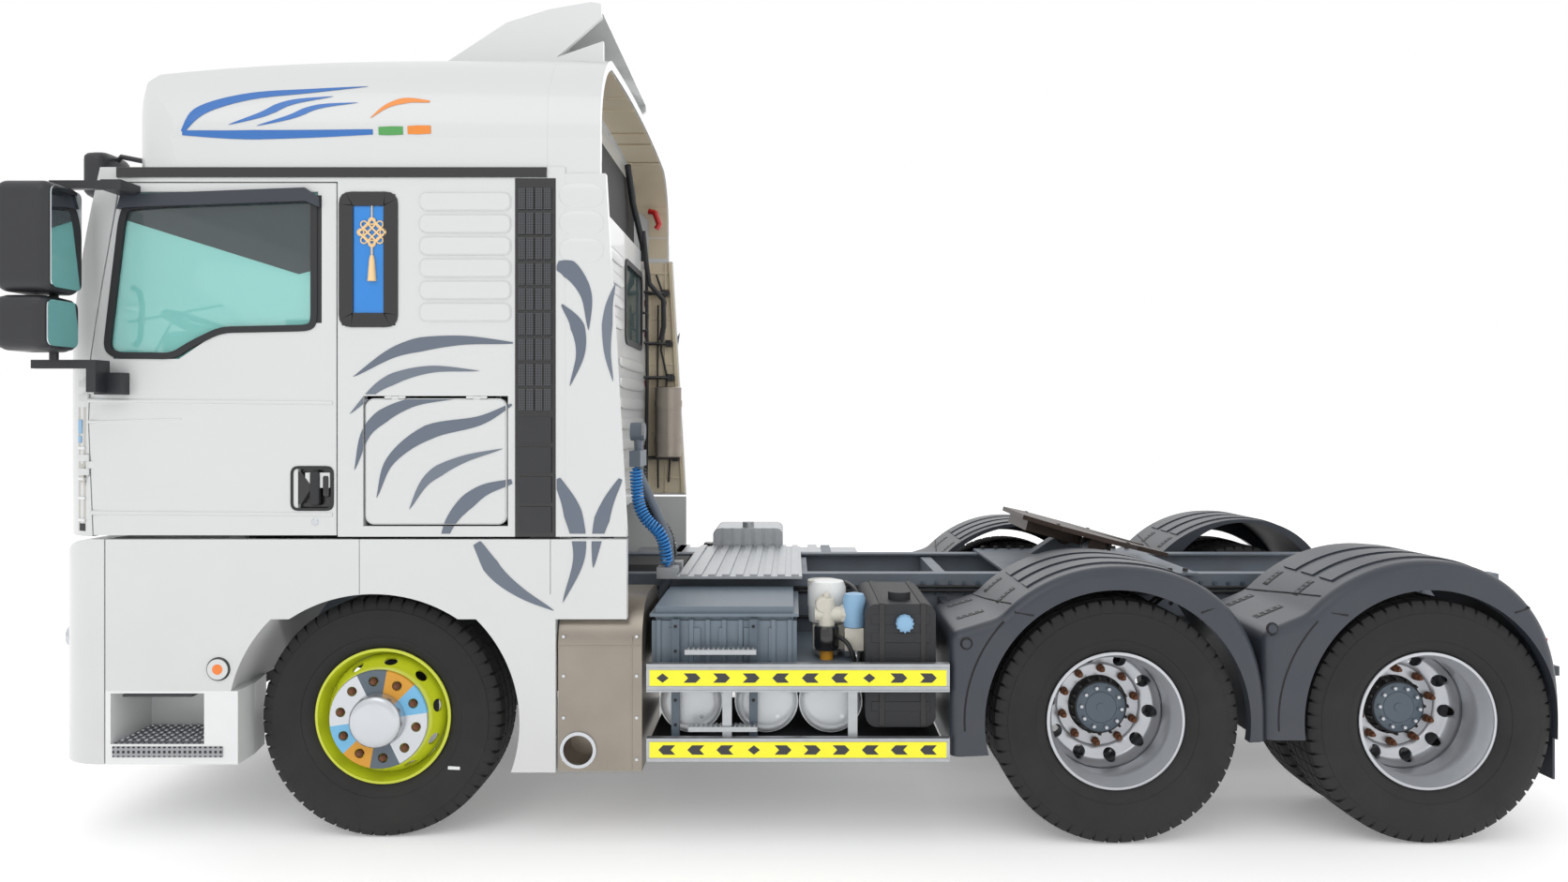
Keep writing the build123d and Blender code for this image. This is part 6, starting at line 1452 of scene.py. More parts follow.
class Studio:
    """Floor, light and camera."""

    eye: tuple = (-0.174, -5.625, 1.834)
    focal_pixels: float = 1087.0
    sensor: float = 36.0
    middle: tuple = (845.0, 448.0)
    sky: tuple = (1.0, 1.0, 1.0)
    # name, place, aim, size and power of each lamp
    lamps: tuple = (("key", (-4.0, -9.0, 9.5), (0.0, 0.0, 1.0), 7.0, 150.0),
                    ("fill", (7.0, -8.0, 4.5), (0.5, 0.0, 1.2), 6.0, 40.0),
                    ("back", (1.0, 9.0, 8.0), (0.0, 0.0, 1.5), 8.0, 120.0))

    def build(self) -> None:
        """Set up the stage."""
        self.floor()
        self.light()
        self.camera()

    def floor(self) -> None:
        """The white floor, which fades into the sky with distance."""
        floor = Form().slab([(-90, -60), (90, -60), (90, 90), (-90, 90)], -0.02, 0.0, axis=2)
        ground = bpy.data.objects.new("floor", plain_mesh(floor))
        bpy.context.scene.collection.objects.link(ground)
        nodes = Nodes("studio_floor")
        squares = (nodes.math("POWER", nodes.axis(axis), 2.0) for axis in (0, 1))
        far = nodes.math("SQRT", nodes.math("ADD", *squares))
        share = nodes.ramp(nodes.math("DIVIDE", far, 40.0), ((0.25, 0.0), (1.0, 1.0)))
        glow = nodes.math("ADD", nodes.math("MULTIPLY", share, 0.80), 0.20)
        nodes.set(Base_Color=nodes.mix(share, (1.0, 1.0, 1.0), (0.0, 0.0, 0.0)), Roughness=0.9,
                  Emission_Color=self.sky, Emission_Strength=glow, Specular_IOR_Level=0.0)
        ground.data.materials.append(nodes.material)

    def light(self) -> None:
        """The white sky and three soft lamps."""
        scene, world = bpy.context.scene, bpy.data.worlds.new("studio")
        world.use_nodes = True
        world.node_tree.nodes["Background"].inputs[0].default_value = (*self.sky, 1.0)
        world.node_tree.nodes["Background"].inputs[1].default_value = 1.0
        scene.world = world
        for name, spot, aim, size, power in self.lamps:
            light = bpy.data.lights.new(name, "AREA")
            light.size, light.energy = size, power
            lamp = bpy.data.objects.new(name, light)
            lamp.location = spot
            lamp.rotation_euler = (Vector(aim) - Vector(spot)).to_track_quat("-Z", "Y").to_euler()
            scene.collection.objects.link(lamp)
        scene.view_settings.view_transform = "Standard"
        scene.view_settings.look = "None"

    def camera(self) -> None:
        """The camera, level, with its frame shifted off its axis."""
        scene, lens = bpy.context.scene, bpy.data.cameras.new("camera")
        lens.sensor_width = self.sensor
        lens.lens = self.sensor * self.focal_pixels / FRAME_WIDTH
        lens.shift_x = (FRAME_WIDTH / 2 - self.middle[0]) / FRAME_WIDTH
        lens.shift_y = (self.middle[1] - FRAME_HEIGHT / 2) / FRAME_WIDTH
        lens.clip_end = 300.0
        camera = bpy.data.objects.new("camera", lens)
        camera.location = self.eye
        camera.rotation_euler = (math.pi / 2, 0.0, 0.0)
        scene.collection.objects.link(camera)
        scene.camera = camera


# ------------------------------------------------------------------ cab
def span(out: float, near: float, far: float) -> tuple:
    """Two distances from the middle as a rising pair of Y values on one side."""
    return tuple(sorted((out * near, out * far)))


def corners(out: float, x: Point, y: Point, z: Point) -> tuple:
    """Low and high corner of a block on one side, from its reach along X, outwards and up."""
    across = span(out, *y)
    return (x[0], across[0], z[0]), (x[1], across[1], z[1])


def strap(spot: Point, half: float, front: float, back: float) -> list:
    """A narrow upright outline round a spot on the front, from its half height and its depths."""
    return [(spot[0] + dx, spot[1], spot[2] + dz)
            for dx, dz in ((-front, half), (back, half), (back, -half), (-front, -half))]


class Assembly:
    """Something that is built from the frame with the shop's finishes."""

    def __init__(self, frame: dict, shop: Workshop) -> None:
        """Keep what the pieces need.

        Args:
            shop: Finishes and repeat trees.
        """
        self.frame, self.shop = frame, shop


class CabSides(Assembly):
    """Trim on both sides of the cab: seals, visor, small window, grips and punched strips."""

    half: float = 1.245
    window: tuple = ((-3.043, 2.757), (-2.221, 2.813), (-2.221, 2.249), (-2.249, 2.221), (-2.628, 2.213),
                     (-2.761, 2.148), (-2.833, 2.100), (-3.087, 2.104), (-3.128, 2.140), (-3.063, 2.692))
    visor: tuple = ((-3.068, 2.738), (-3.050, 2.800), (-2.262, 2.830), (-2.202, 2.786), (-2.202, 2.746),
                    (-2.262, 2.772), (-3.020, 2.745))
    shade: tuple = ((-3.062, 2.700), (-3.055, 2.752), (-2.232, 2.803), (-2.232, 2.480), (-2.300, 2.462))
    # start, end and strength of each pressed line of the door
    creases: tuple = (((-3.20, 1.9185), (-2.150, 1.907), 1.0), ((-3.20, 1.8255), (-2.80, 1.838), 0.7),
                      ((-3.19, 1.435), (-2.150, 1.427), 1.0))
    grip: tuple = ((-2.326, 1.447), (-2.148, 1.632))
    quarter: tuple = ((-2.118, 2.236), (-1.872, 2.811))
    pane: tuple = ((-2.062, 2.255), (-1.897, 2.791))
    knot_z: float = 2.640
    strip_face: float = 1.2535
    # label, body, low and high corner in X and Z; a stroke isn't laid where there is no body
    zones: tuple = (("hatch", "hatch", (-2.009, 1.387), (-1.406, 1.923)),
                    ("gap", "", (-2.019, 1.377), (-1.396, 1.944)),
                    ("cab", "cab", (-2.125, 1.345), (-1.369, 2.238)),
                    ("strip", "", (-1.369, 1.2), (-1.188, 2.95)),
                    ("fairing", "cab", (-1.187, 1.345), (-0.905, 2.865)),
                    ("skirt", "chassis", (-1.60, 0.980), (-0.905, 1.312)))
    blades: tuple = (
        Blade(((-2.060, 2.02), (-1.86, 2.135), (-1.62, 2.175), (-1.375, 2.165)), 0.062, 0, 0.02, 0.10, 0.45),
        Blade(((-2.075, 1.86), (-1.93, 1.99), (-1.74, 2.05), (-1.52, 2.045)), 0.050, 1, 0.02, 0.02, 0.4),
        Blade(((-2.055, 1.62), (-1.99, 1.80), (-1.82, 1.905), (-1.60, 1.93)), 0.060, 0, 0.02, 0.02, 0.45),
        Blade(((-1.96, 1.50), (-1.90, 1.66), (-1.74, 1.78), (-1.52, 1.83), (-1.38, 1.90)), 0.064, 0, 0.02,
              0.15, 0.5),
        Blade(((-1.82, 1.45), (-1.74, 1.58), (-1.60, 1.66), (-1.42, 1.71)), 0.050, 1, 0.02, 0.02, 0.45),
        Blade(((-1.70, 1.22), (-1.64, 1.40), (-1.52, 1.52), (-1.38, 1.57)), 0.066, 0, 0.02, 0.3, 0.55),
        Blade(((-1.185, 2.50), (-1.12, 2.47), (-1.06, 2.37), (-1.05, 2.22)), 0.080, 0, 0.45, 0.02, 0.25),
        Blade(((-1.165, 2.33), (-1.10, 2.24), (-1.085, 2.12), (-1.13, 1.98)), 0.062, 0, 0.10, 0.02, 0.35),
        Blade(((-0.935, 2.42), (-0.965, 2.30), (-0.970, 2.14), (-0.945, 2.00)), 0.046, 1, 0.05, 0.02, 0.45),
        Blade(((-1.185, 1.58), (-1.12, 1.44), (-1.09, 1.25), (-1.16, 1.05)), 0.080, 0, 0.35, 0.02, 0.35),
        Blade(((-1.03, 1.20), (-1.01, 1.34), (-0.97, 1.47), (-0.912, 1.58)), 0.066, 0, 0.05, 0.25, 0.5),
        Blade(((-1.53, 1.305), (-1.45, 1.18), (-1.34, 1.09), (-1.20, 1.015)), 0.070, 0, 0.50, 0.02, 0.25))
    stripes: tuple = (
        Blade(((-2.80, 3.075), (-2.72, 3.17), (-2.52, 3.235), (-2.26, 3.262), (-2.02, 3.285)), 0.046, 0, 0.30,
              0.02, 0.2),
        Blade(((-2.80, 3.070), (-2.55, 3.062), (-2.25, 3.066), (-1.98, 3.074)), 0.040, 0, 0.5, 0.55, 0.4),
        Blade(((-2.60, 3.105), (-2.46, 3.150), (-2.34, 3.205), (-2.16, 3.235)), 0.034, 0, 0.02, 0.02, 0.5),
        Blade(((-2.48, 3.100), (-2.34, 3.138), (-2.22, 3.185), (-2.05, 3.205)), 0.028, 0, 0.02, 0.02, 0.5),
        Blade(((-1.955, 3.078), (-1.90, 3.079), (-1.85, 3.080)), 0.038, 1, 0.9, 0.9, 0.5),
        Blade(((-1.83, 3.082), (-1.78, 3.083), (-1.73, 3.084)), 0.038, 2, 0.9, 0.9, 0.5),
        Blade(((-1.99, 3.135), (-1.92, 3.190), (-1.84, 3.215), (-1.74, 3.210)), 0.028, 2, 0.05, 0.3, 0.6))

    def build(self) -> None:
        """Make the pieces of both sides."""
        for side in Side:
            self.door(side)
            self.small_window(side)
            self.strips(side)
            self.corner(side)
            self.marks(side)

    def door(self, side: Side) -> None:
        """Window seal, rain visor, pressed lines, lock, and a smoked film behind the glass that paints the
        shade of the cab's inside.

        Args:
            side: Which side of the vehicle.
        """
        out, body, shop = float(side.value), "door_" + side.word, self.shop
        y = self.half * out
        seal = Form()
        band(seal, eased(self.window, 0.045), 0.006, 0.022, y - out * 0.010, y + out * 0.005)
        seal.done(f"window_seal_{side.word}", (shop.rubber,), body, "charcoal_plastic", smooth=50)
        visor = Form().slab(self.visor, y - out * 0.002, y + out * 0.020)
        visor.done(f"rain_visor_{side.word}", (shop.guard,), body, "charcoal_plastic", bevel=0.002)
        rail = Form().box(*corners(out, (-2.226, -2.196), (self.half - 0.016, self.half + 0.001),
                                   (2.25, 2.80)))
        rail.done(f"window_rail_{side.word}", (shop.rubber,), body, bevel=0.002)
        self.door_grip(side)
        lines = Form()
        for start, end, strength in self.creases:
            path = [(start[0] + (end[0] - start[0]) * k / 8, y - out * 0.0045,
                     start[1] + (end[1] - start[1]) * k / 8) for k in range(9)]
            radii = [0.0100 * strength * min(1.0, 0.70 + 0.1 * min(k + 3, 11 - k)) for k in range(9)]
            lines.tube(path, radii, sides=16)
        lines.done(f"door_lines_{side.word}", (shop.paint,), body, "cab_white", smooth=70)
        lock = Form().lathe([(0.0, 0.004), (0.012, 0.004), (0.015, 0.002), (0.016, -0.004)],
                            (-2.225, y, 1.395),
                            out, steps=24, loop=False)
        lock.done(f"door_lock_{side.word}", (shop.bright,), body)
        # painted shade: this smoked film behind the door glass stands for the shade of the cab's inside
        shade = Form().slab(self.shade, out * 1.2335, out * 1.2345)
        shade.done(f"window_shade_{side.word}", (shop.smoke,), body, "glass")

    def door_grip(self, side: Side) -> None:
        """The grip's frame, its black bowl, the bar and the catch beside it.

        Args:
            side: Which side of the vehicle.
        """
        out, half, shop = float(side.value), self.half, self.shop
        grip = Form()
        band(grip, eased(rectangle(*self.grip), 0.03), 0.004, 0.008, out * (half - 0.004),
             out * (half + 0.003))
        grip.slab(rectangle((-2.320, 1.453), (-2.154, 1.626)), *span(out, half - 0.0285, half - 0.0265),
                  mark=1)
        grip.slab([(-2.300, 1.472), (-2.286, 1.472), (-2.240, 1.545), (-2.286, 1.610), (-2.300, 1.610)],
                  *span(out, half - 0.027, half - 0.003), mark=1)
        grip.capsule(*corners(out, (-2.248, -2.206), (half - 0.024, half + 0.007), (1.462, 1.618)), 0.25)
        grip.capsule(*corners(out, (-2.196, -2.166), (half - 0.026, half - 0.002), (1.500, 1.600)), 0.3,
                     mark=1)
        grip.done(f"door_grip_{side.word}", (shop.rubber, shop.black), "door_" + side.word,
                  "charcoal_plastic",
                  smooth=50)

    def small_window(self, side: Side) -> None:
        """The window behind the door, its blue pane and the knotted ornament on it.

        Args:
            side: Which side of the vehicle.
        """
        out, shop, y = float(side.value), self.shop, self.half * side.value
        seal = Form()
        band(seal, eased(rectangle(*self.quarter), 0.05), 0.004, 0.058, y - out * 0.008, y + out * 0.006)
        seal.done(f"small_window_seal_{side.word}", (shop.black,), "cab", "charcoal_plastic", bevel=0.002,
                  smooth=50)
        pane = Form().slab(eased(rectangle(*self.pane), 0.02), y - out * 0.006, y - out * 0.001)
        pane.done(f"small_window_pane_{side.word}", (shop.pane,), "cab", "glass", smooth=50)
        x, z, deep = (self.pane[0][0] + self.pane[1][0]) / 2, self.knot_z, y + out * 0.003
        knot = Form()
        for offset in (0.019 * (i - 1.5) for i in range(4)):
            for turn in (1, -1):
                start = Vector((x + turn * (offset - 0.032), deep, z + offset + 0.032))
                end = Vector((x + turn * (offset + 0.032), deep, z + offset - 0.032))
                knot.tube([start, start.lerp(end, 0.5) + Vector((0, out * 0.0015 * turn, 0)), end], 0.0042,
                          sides=8)
        for angle in (2 * math.pi * turn / 8 for turn in range(8)):
            knot.tube([(x + math.cos(angle) * 0.048 + 0.014 * math.cos(t), deep,
                        z + math.sin(angle) * 0.048 + 0.014 * math.sin(t))
                       for t in (2 * math.pi * k / 12 for k in range(13))], 0.0034, sides=6)
        knot.tube([(x, deep, z + 0.062), (x, deep, z + 0.125)], 0.003, sides=6)
        knot.tube([(x, deep, z - 0.062), (x, deep, z - 0.110)], 0.004, sides=6)
        knot.tube([(x, deep, z - 0.100), (x, deep, z - 0.118), (x, deep, z - 0.210)], [0.008, 0.012, 0.019],
                  sides=10)
        knot.done(f"knot_ornament_{side.word}", (shop.gold,), "cab", smooth=60)

    def strips(self, side: Side) -> None:
        """Punched panels and the ribs under them in the black strip.

        Args:
            side: Which side of the vehicle.
        """
        out, shop, face = float(side.value), self.shop, self.strip_face
        # the near-black hole colour is painted shade seen through the holes
        punched = Perforated("strip_holes_" + side.word, (0.0105, 0.0105), 0.32, tint(70, 72, 76),
                             tint(14, 14, 15))
        panels = Form()
        for z in (2.832 - row * 0.108 for row in range(9)):
            for x in (-1.352 + column * 0.0375 for column in range(4)):
                panels.box(*corners(out, (x, x + 0.031), (face - 0.003, face + 0.0012), (z - 0.094, z)))
        panels.done(f"strip_panels_{side.word}", (punched.make(),), "cab", "charcoal_plastic")
        ribs = Form()
        for z in (1.846 - row * 0.128 for row in range(4)):
            ribs.box(*corners(out, (-1.350, -1.208), (face, face + 0.002), (z - 0.112, z)))
        ribs.done(f"strip_lower_{side.word}", (shop.plastic,), "cab", "charcoal_plastic", bevel=0.0015)

    def corner(self, side: Side) -> None:
        """The shaded channel between front flap and door, its ribs, pale blue buffers and dark foot.

        Args:
            side: Which side of the vehicle.
        """
        out, shop, skin = float(side.value), self.shop, Skin(self.frame, ["cab_shell"])
        form, sunk = Form(), Vector((0, out * 0.003, 0))
        # painted shade: the first patch is a flat plate in shaded_white, darker than the paint, standing for
        # the shade in the channel's recess
        patches = [(-3.272, -3.224, 1.352, 1.890, 0.0012, 0)]
        patches += [(-3.270, -3.226, z, z + 0.012, 0.007, 1) for z in (1.395, 1.490, 1.573, 1.706)]
        patches += [(-3.270, -3.246, 1.775, 1.835, 0.005, 2), (-3.270, -3.250, 1.735, 1.765, 0.005, 2),
                    (-3.262, -3.226, 1.354, 1.386, 0.0025, 3)]
        for front, rear, low, high, lift, mark in patches:
            rings, count = [], max(1, round((high - low) / 0.05))
            for z in (low + (high - low) * k / count for k in range(count + 1)):
                a, b = (skin.hit((x, 2.0 * out, z), (0, -out, 0)) for x in (front, rear))
                proud = Vector((0, out * lift, 0))
                rings.append([a - sunk, b - sunk, b + proud, a + proud])
            form.loft(rings, mark)
        form.done(f"corner_channel_{side.word}", (shop.shade, shop.white, shop.pale_blue, shop.dark), "cab",
                  "cab_white", bevel=0.001)

    def marks(self, side: Side) -> None:
        """Sweeping grey blades on the cab, the fairing and the skirt, and coloured stripes on the roof.

        Args:
            side: Which side of the vehicle.
        """
        zones = [(label, body + "_" + side.word if body == "hatch" else body, low, high)
                 for label, body, low, high in self.zones]
        drawing = Drawing(Skin(self.frame, ["cab_shell"]), side, flat=self.half)
        drawing.lay(self.blades, "side_marks", self.shop.ink, zones)
        roof = Drawing(Skin(self.frame, ["roof_cap"]), side)
        roof.lay(self.stripes, "roof_stripes", self.shop.roof_ink,
                 (("roof", "cab", (-2.95, 3.0), (-1.60, 3.36)),))


class CabFront(Assembly):
    """What faces forwards: wipers, front mirror, grille bars, lamp details and plate."""

    def build(self) -> None:
        """Make the pieces."""
        self.wipers(Skin(self.frame, ["cab_shell", "cab_glass"]))
        self.grille(Skin(self.frame, ["front_flap"]))
        bumper = Skin(self.frame, ["front_bumper"])
        self.plate(bumper)
        self.headlamps(Skin(self.frame, ["headlamps"]))
        self.fog_lamps(bumper)
        for side in Side:
            self.mirrors(side)
        small = Form().capsule((-3.420, -0.985, 2.850), (-3.312, -0.765, 3.070), 0.35, rows=14, sides=32)
        small.tube([(-3.36, -0.875, 2.99), (-3.30, -0.875, 3.06), (-3.10, -0.875, 3.02)], 0.012, sides=10)
        small.done("front_mirror", (self.shop.plastic,), "cab", "charcoal_plastic", smooth=60)

    def spot(self, skin: Skin, y: float, z: float, proud: float = 0.0) -> tuple:
        """A spot on the front, a little proud of it."""
        return (skin.hit((-4.5, y, z), (1, 0, 0)).x - proud, y, z)

    def wipers(self, screen: Skin) -> None:
        """Two wipers on the windscreen.

        Args:
            screen: The windscreen's surface.
        """
        wipers = Form()
        for pivot in (-0.62, 0.30):
            wipers.tube([self.spot(screen, pivot + 0.16 * t, 1.955 + 0.42 * t,
                                   0.016 + 0.010 * math.sin(3.1 * t))
                         for t in (0, 0.25, 0.5, 0.75, 1)], [0.011, 0.008, 0.007, 0.006, 0.005], sides=8)
            wipers.tube([self.spot(screen, pivot - 0.20 + 0.72 * t, 2.375 + 0.16 * (t - 0.5), 0.010)
                         for t in (0, 0.2, 0.4, 0.6, 0.8, 1)], 0.007, sides=6)
            wipers.tube([self.spot(screen, pivot, 1.955, -0.004), self.spot(screen, pivot, 1.955, 0.026)],
                        0.018,
                        sides=16)
        wipers.done("wipers", (self.shop.black,), "cab", "charcoal_plastic", smooth=50)

    def grille(self, flap: Skin) -> None:
        """Bars and the bright accent of the front flap.

        Args:
            flap: The front flap's surface.
        """
        bars, accent = Form(), Form()
        for z in (1.40 + row * 0.062 for row in range(5)):
            for half in (-1, 1):
                bars.loft([strap(self.spot(flap, half * y, z), 0.018, 0.004, 0.006)
                           for y in (0.04, 0.20, 0.40, 0.60, 0.80)])
        bars.done("front_grille_bars", (self.shop.plastic,), "front_flap", "charcoal_plastic", bevel=0.002)
        reach = ((0.02, 0.030), (0.25, 0.029), (0.50, 0.026), (0.75, 0.020), (0.98, 0.010))
        for half in (-1, 1):
            accent.loft([strap(self.spot(flap, half * y, 1.745), width, 0.004, 0.006) for y, width in reach])
        accent.done("front_accent", (self.shop.bright,), "front_flap", "aluminium", bevel=0.002)

    def plate(self, bumper: Skin) -> None:
        """The blank plate.

        Args:
            bumper: The bumper's surface.
        """
        face = min(self.spot(bumper, y, z, 0.004)[0] for y, z in ((-0.25, 0.56), (0.25, 0.68)))
        plate = Form().box((face - 0.004, -0.25, 0.56), (face + 0.010, 0.25, 0.68))
        plate.done("front_plate", (self.shop.ochre,), "chassis", bevel=0.002)

    def fog_lamps(self, bumper: Skin) -> None:
        """The fog lamps in the bumper.

        Args:
            bumper: The bumper's surface.
        """
        fog = Form()
        for y in (-0.95, 0.95):
            fog.loft([strap(self.spot(bumper, y + 0.20 * t, 0.42, 0.004), 0.032, 0.002, 0.008)
                      for t in (-0.5, -0.25, 0, 0.25, 0.5)])
        fog.done("fog_lamps", (self.shop.lens,), "chassis", "glass", bevel=0.003)

    def headlamps(self, lens: Skin) -> None:
        """Bright rings and reflectors in the headlamps.

        Args:
            lens: The headlamps' surface.
        """
        lamps = Form()
        for half in (-1, 1):
            for y in (0.79, 0.93, 1.06):
                middle = self.spot(lens, half * y, 0.872)
                for r0, r1, mark, proud in ((0.052, 0.040, 0, 0.006), (0.036, 0.014, 1, 0.004)):
                    lamps.drum(middle, ((r0, 0.010), (r0, -proud), (r1, -proud), (r1 * 0.7, 0.008)), 32, mark)
        lamps.done("headlamp_rings", (self.shop.bright, self.shop.mirror), "chassis", "aluminium", smooth=50)

    def mirrors(self, side: Side) -> None:
        """Glasses and rounded shells of one door's main and wide mirror.

        Args:
            side: Which side of the vehicle.
        """
        out, shop, glass, shells = float(side.value), self.shop, Form(), Form()
        for low, high, rear in ((2.372, 2.782, -3.1535), (2.135, 2.322, -3.1680)):
            y = span(out, 1.352, 1.526)
            glass.slab(eased(rectangle((y[0], low), (y[1], high)), 0.03), rear - 0.005, rear, axis=0)
        glass.done(f"mirror_glass_{side.word}", (shop.mirror,), "door_" + side.word, "glass", smooth=40)
        for z in ((2.350, 2.806), (2.113, 2.344)):
            shells.capsule(*corners(out, (-3.384, -3.170), (1.334, 1.544), z), 0.22, rows=16, sides=36,
                           power=5)
        shells.done(f"mirror_shells_{side.word}", (shop.plastic,), "door_" + side.word, "charcoal_plastic",
                    smooth=60)


# ------------------------------------------------------------------ chassis equipment
class Sign(Enum):
    """The black signs on the guard tape, as outlines in X and Z round their middle."""
    LOZENGE = ((-0.026, 0.0), (0.0, 0.020), (0.026, 0.0), (0.0, -0.020))
    FORWARDS = ((0.036, 0.020), (-0.016, 0.020), (-0.036, 0.0), (-0.016, -0.020), (0.036, -0.020),
                (0.017, 0.0))
    BACKWARDS = tuple((-x, z) for x, z in FORWARDS)


class SideGuards(Assembly):
    """Lemon tape with black signs on the two rails of each side guard, and the rails' lips."""

    # low and high edge, pitch, first sign and the signs of each rail
    rails: tuple = ((0.664, 0.785, 0.134, -0.732,
                     (Sign.LOZENGE,) + (Sign.BACKWARDS,) * 3 + (Sign.FORWARDS,) * 3 + (Sign.LOZENGE,)
                     + (Sign.BACKWARDS,) * 2),
                    (0.365, 0.466, 0.134, -0.714,
                     (Sign.FORWARDS,) * 3 + (Sign.LOZENGE,) + (Sign.BACKWARDS,) * 3 + (Sign.FORWARDS,) * 3))
    length: tuple = (-0.800, 0.500)
    tape_inset: float = 0.012
    tape_half: float = 0.034

    def build(self) -> None:
        """Lay the tape, its signs and the rails' lips."""
        for side in Side:
            for index, rail in enumerate(self.rails):
                self.rail(float(side.value), f"{index}_{side.word}", *rail)

    def rail(self, out: float, tag: str, low: float, high: float, pitch: float, start: float,
             signs: tuple) -> None:
        """One rail's tape, signs and lips.

        Args:
            out: Which side, as the sign of Y.
            tag: End of the pieces' names.
            low: The rail's lower edge.
            high: Its upper edge.
            pitch: Distance from sign to sign at most.
            start: The first sign's place.
            signs: The signs in order.
        """
        middle, shop, (front, rear) = (low + high) / 2, self.shop, self.length
        tape = Form().box(*corners(out, (front + self.tape_inset, rear - self.tape_inset), (1.2445, 1.2462),
                                   (middle - self.tape_half, middle + self.tape_half)))
        tape.done("guard_tape_" + tag, (shop.lemon,), "chassis", "aluminium")
        marks, spread = Form(), (rear - 0.09 - start) / (len(signs) - 1)
        for place_in, sign in enumerate(signs):
            x = start + place_in * min(pitch, spread)
            marks.slab([(x + dx, middle + dz) for dx, dz in sign.value], *span(out, 1.2460, 1.2470))
        marks.done("guard_signs_" + tag, (shop.black,), "chassis", "charcoal_plastic")
        lips = Form()
        for z in (low + 0.004, middle - 0.040, middle + 0.040, high - 0.004):
            lips.box(*corners(out, self.length, (1.236, 1.2490), (z - 0.004, z + 0.004)))
        lips.done("guard_lips_" + tag, (shop.alloy,), "chassis", "aluminium", bevel=0.0015)


class Steps(Assembly):
    """Punched treads in the entry steps, their studs and nosings, and the upper treads."""

    front: float = -3.095

    def build(self) -> None:
        """Make both sides' treads."""
        shop = self.shop
        for side in Side:
            out, word = float(side.value), side.word
            tread = Form().box(*corners(out, (self.front, -2.710), (0.975, 1.240), (0.440, 0.4435)))
            tread.done(f"step_tread_{word}", (shop.tread_sheet,), "chassis", "aluminium")
            studs = [((self.front + 0.020 + 0.035 * i, out * y, 0.446), (0, 0, 1)) for i in range(11)
                     for y in (1.00, 1.035, 1.07, 1.105, 1.14, 1.175, 1.21)]
            shop.discs.spread(f"step_studs_{word}", studs, (0.020, 0.006), shop.alloy, "chassis")
            nosing = Form().box(*corners(out, (self.front, -2.620), (1.2455, 1.2480), (0.385, 0.430)))
            nosing.done(f"step_nosing_{word}", (shop.tread_front,), "chassis", "charcoal_plastic")
            upper = Form().box(*corners(out, (-3.060, -2.760), (1.05, 1.235), (0.640, 0.652)))
            upper.done(f"step_upper_{word}", (shop.plastic,), "chassis", bevel=0.002)


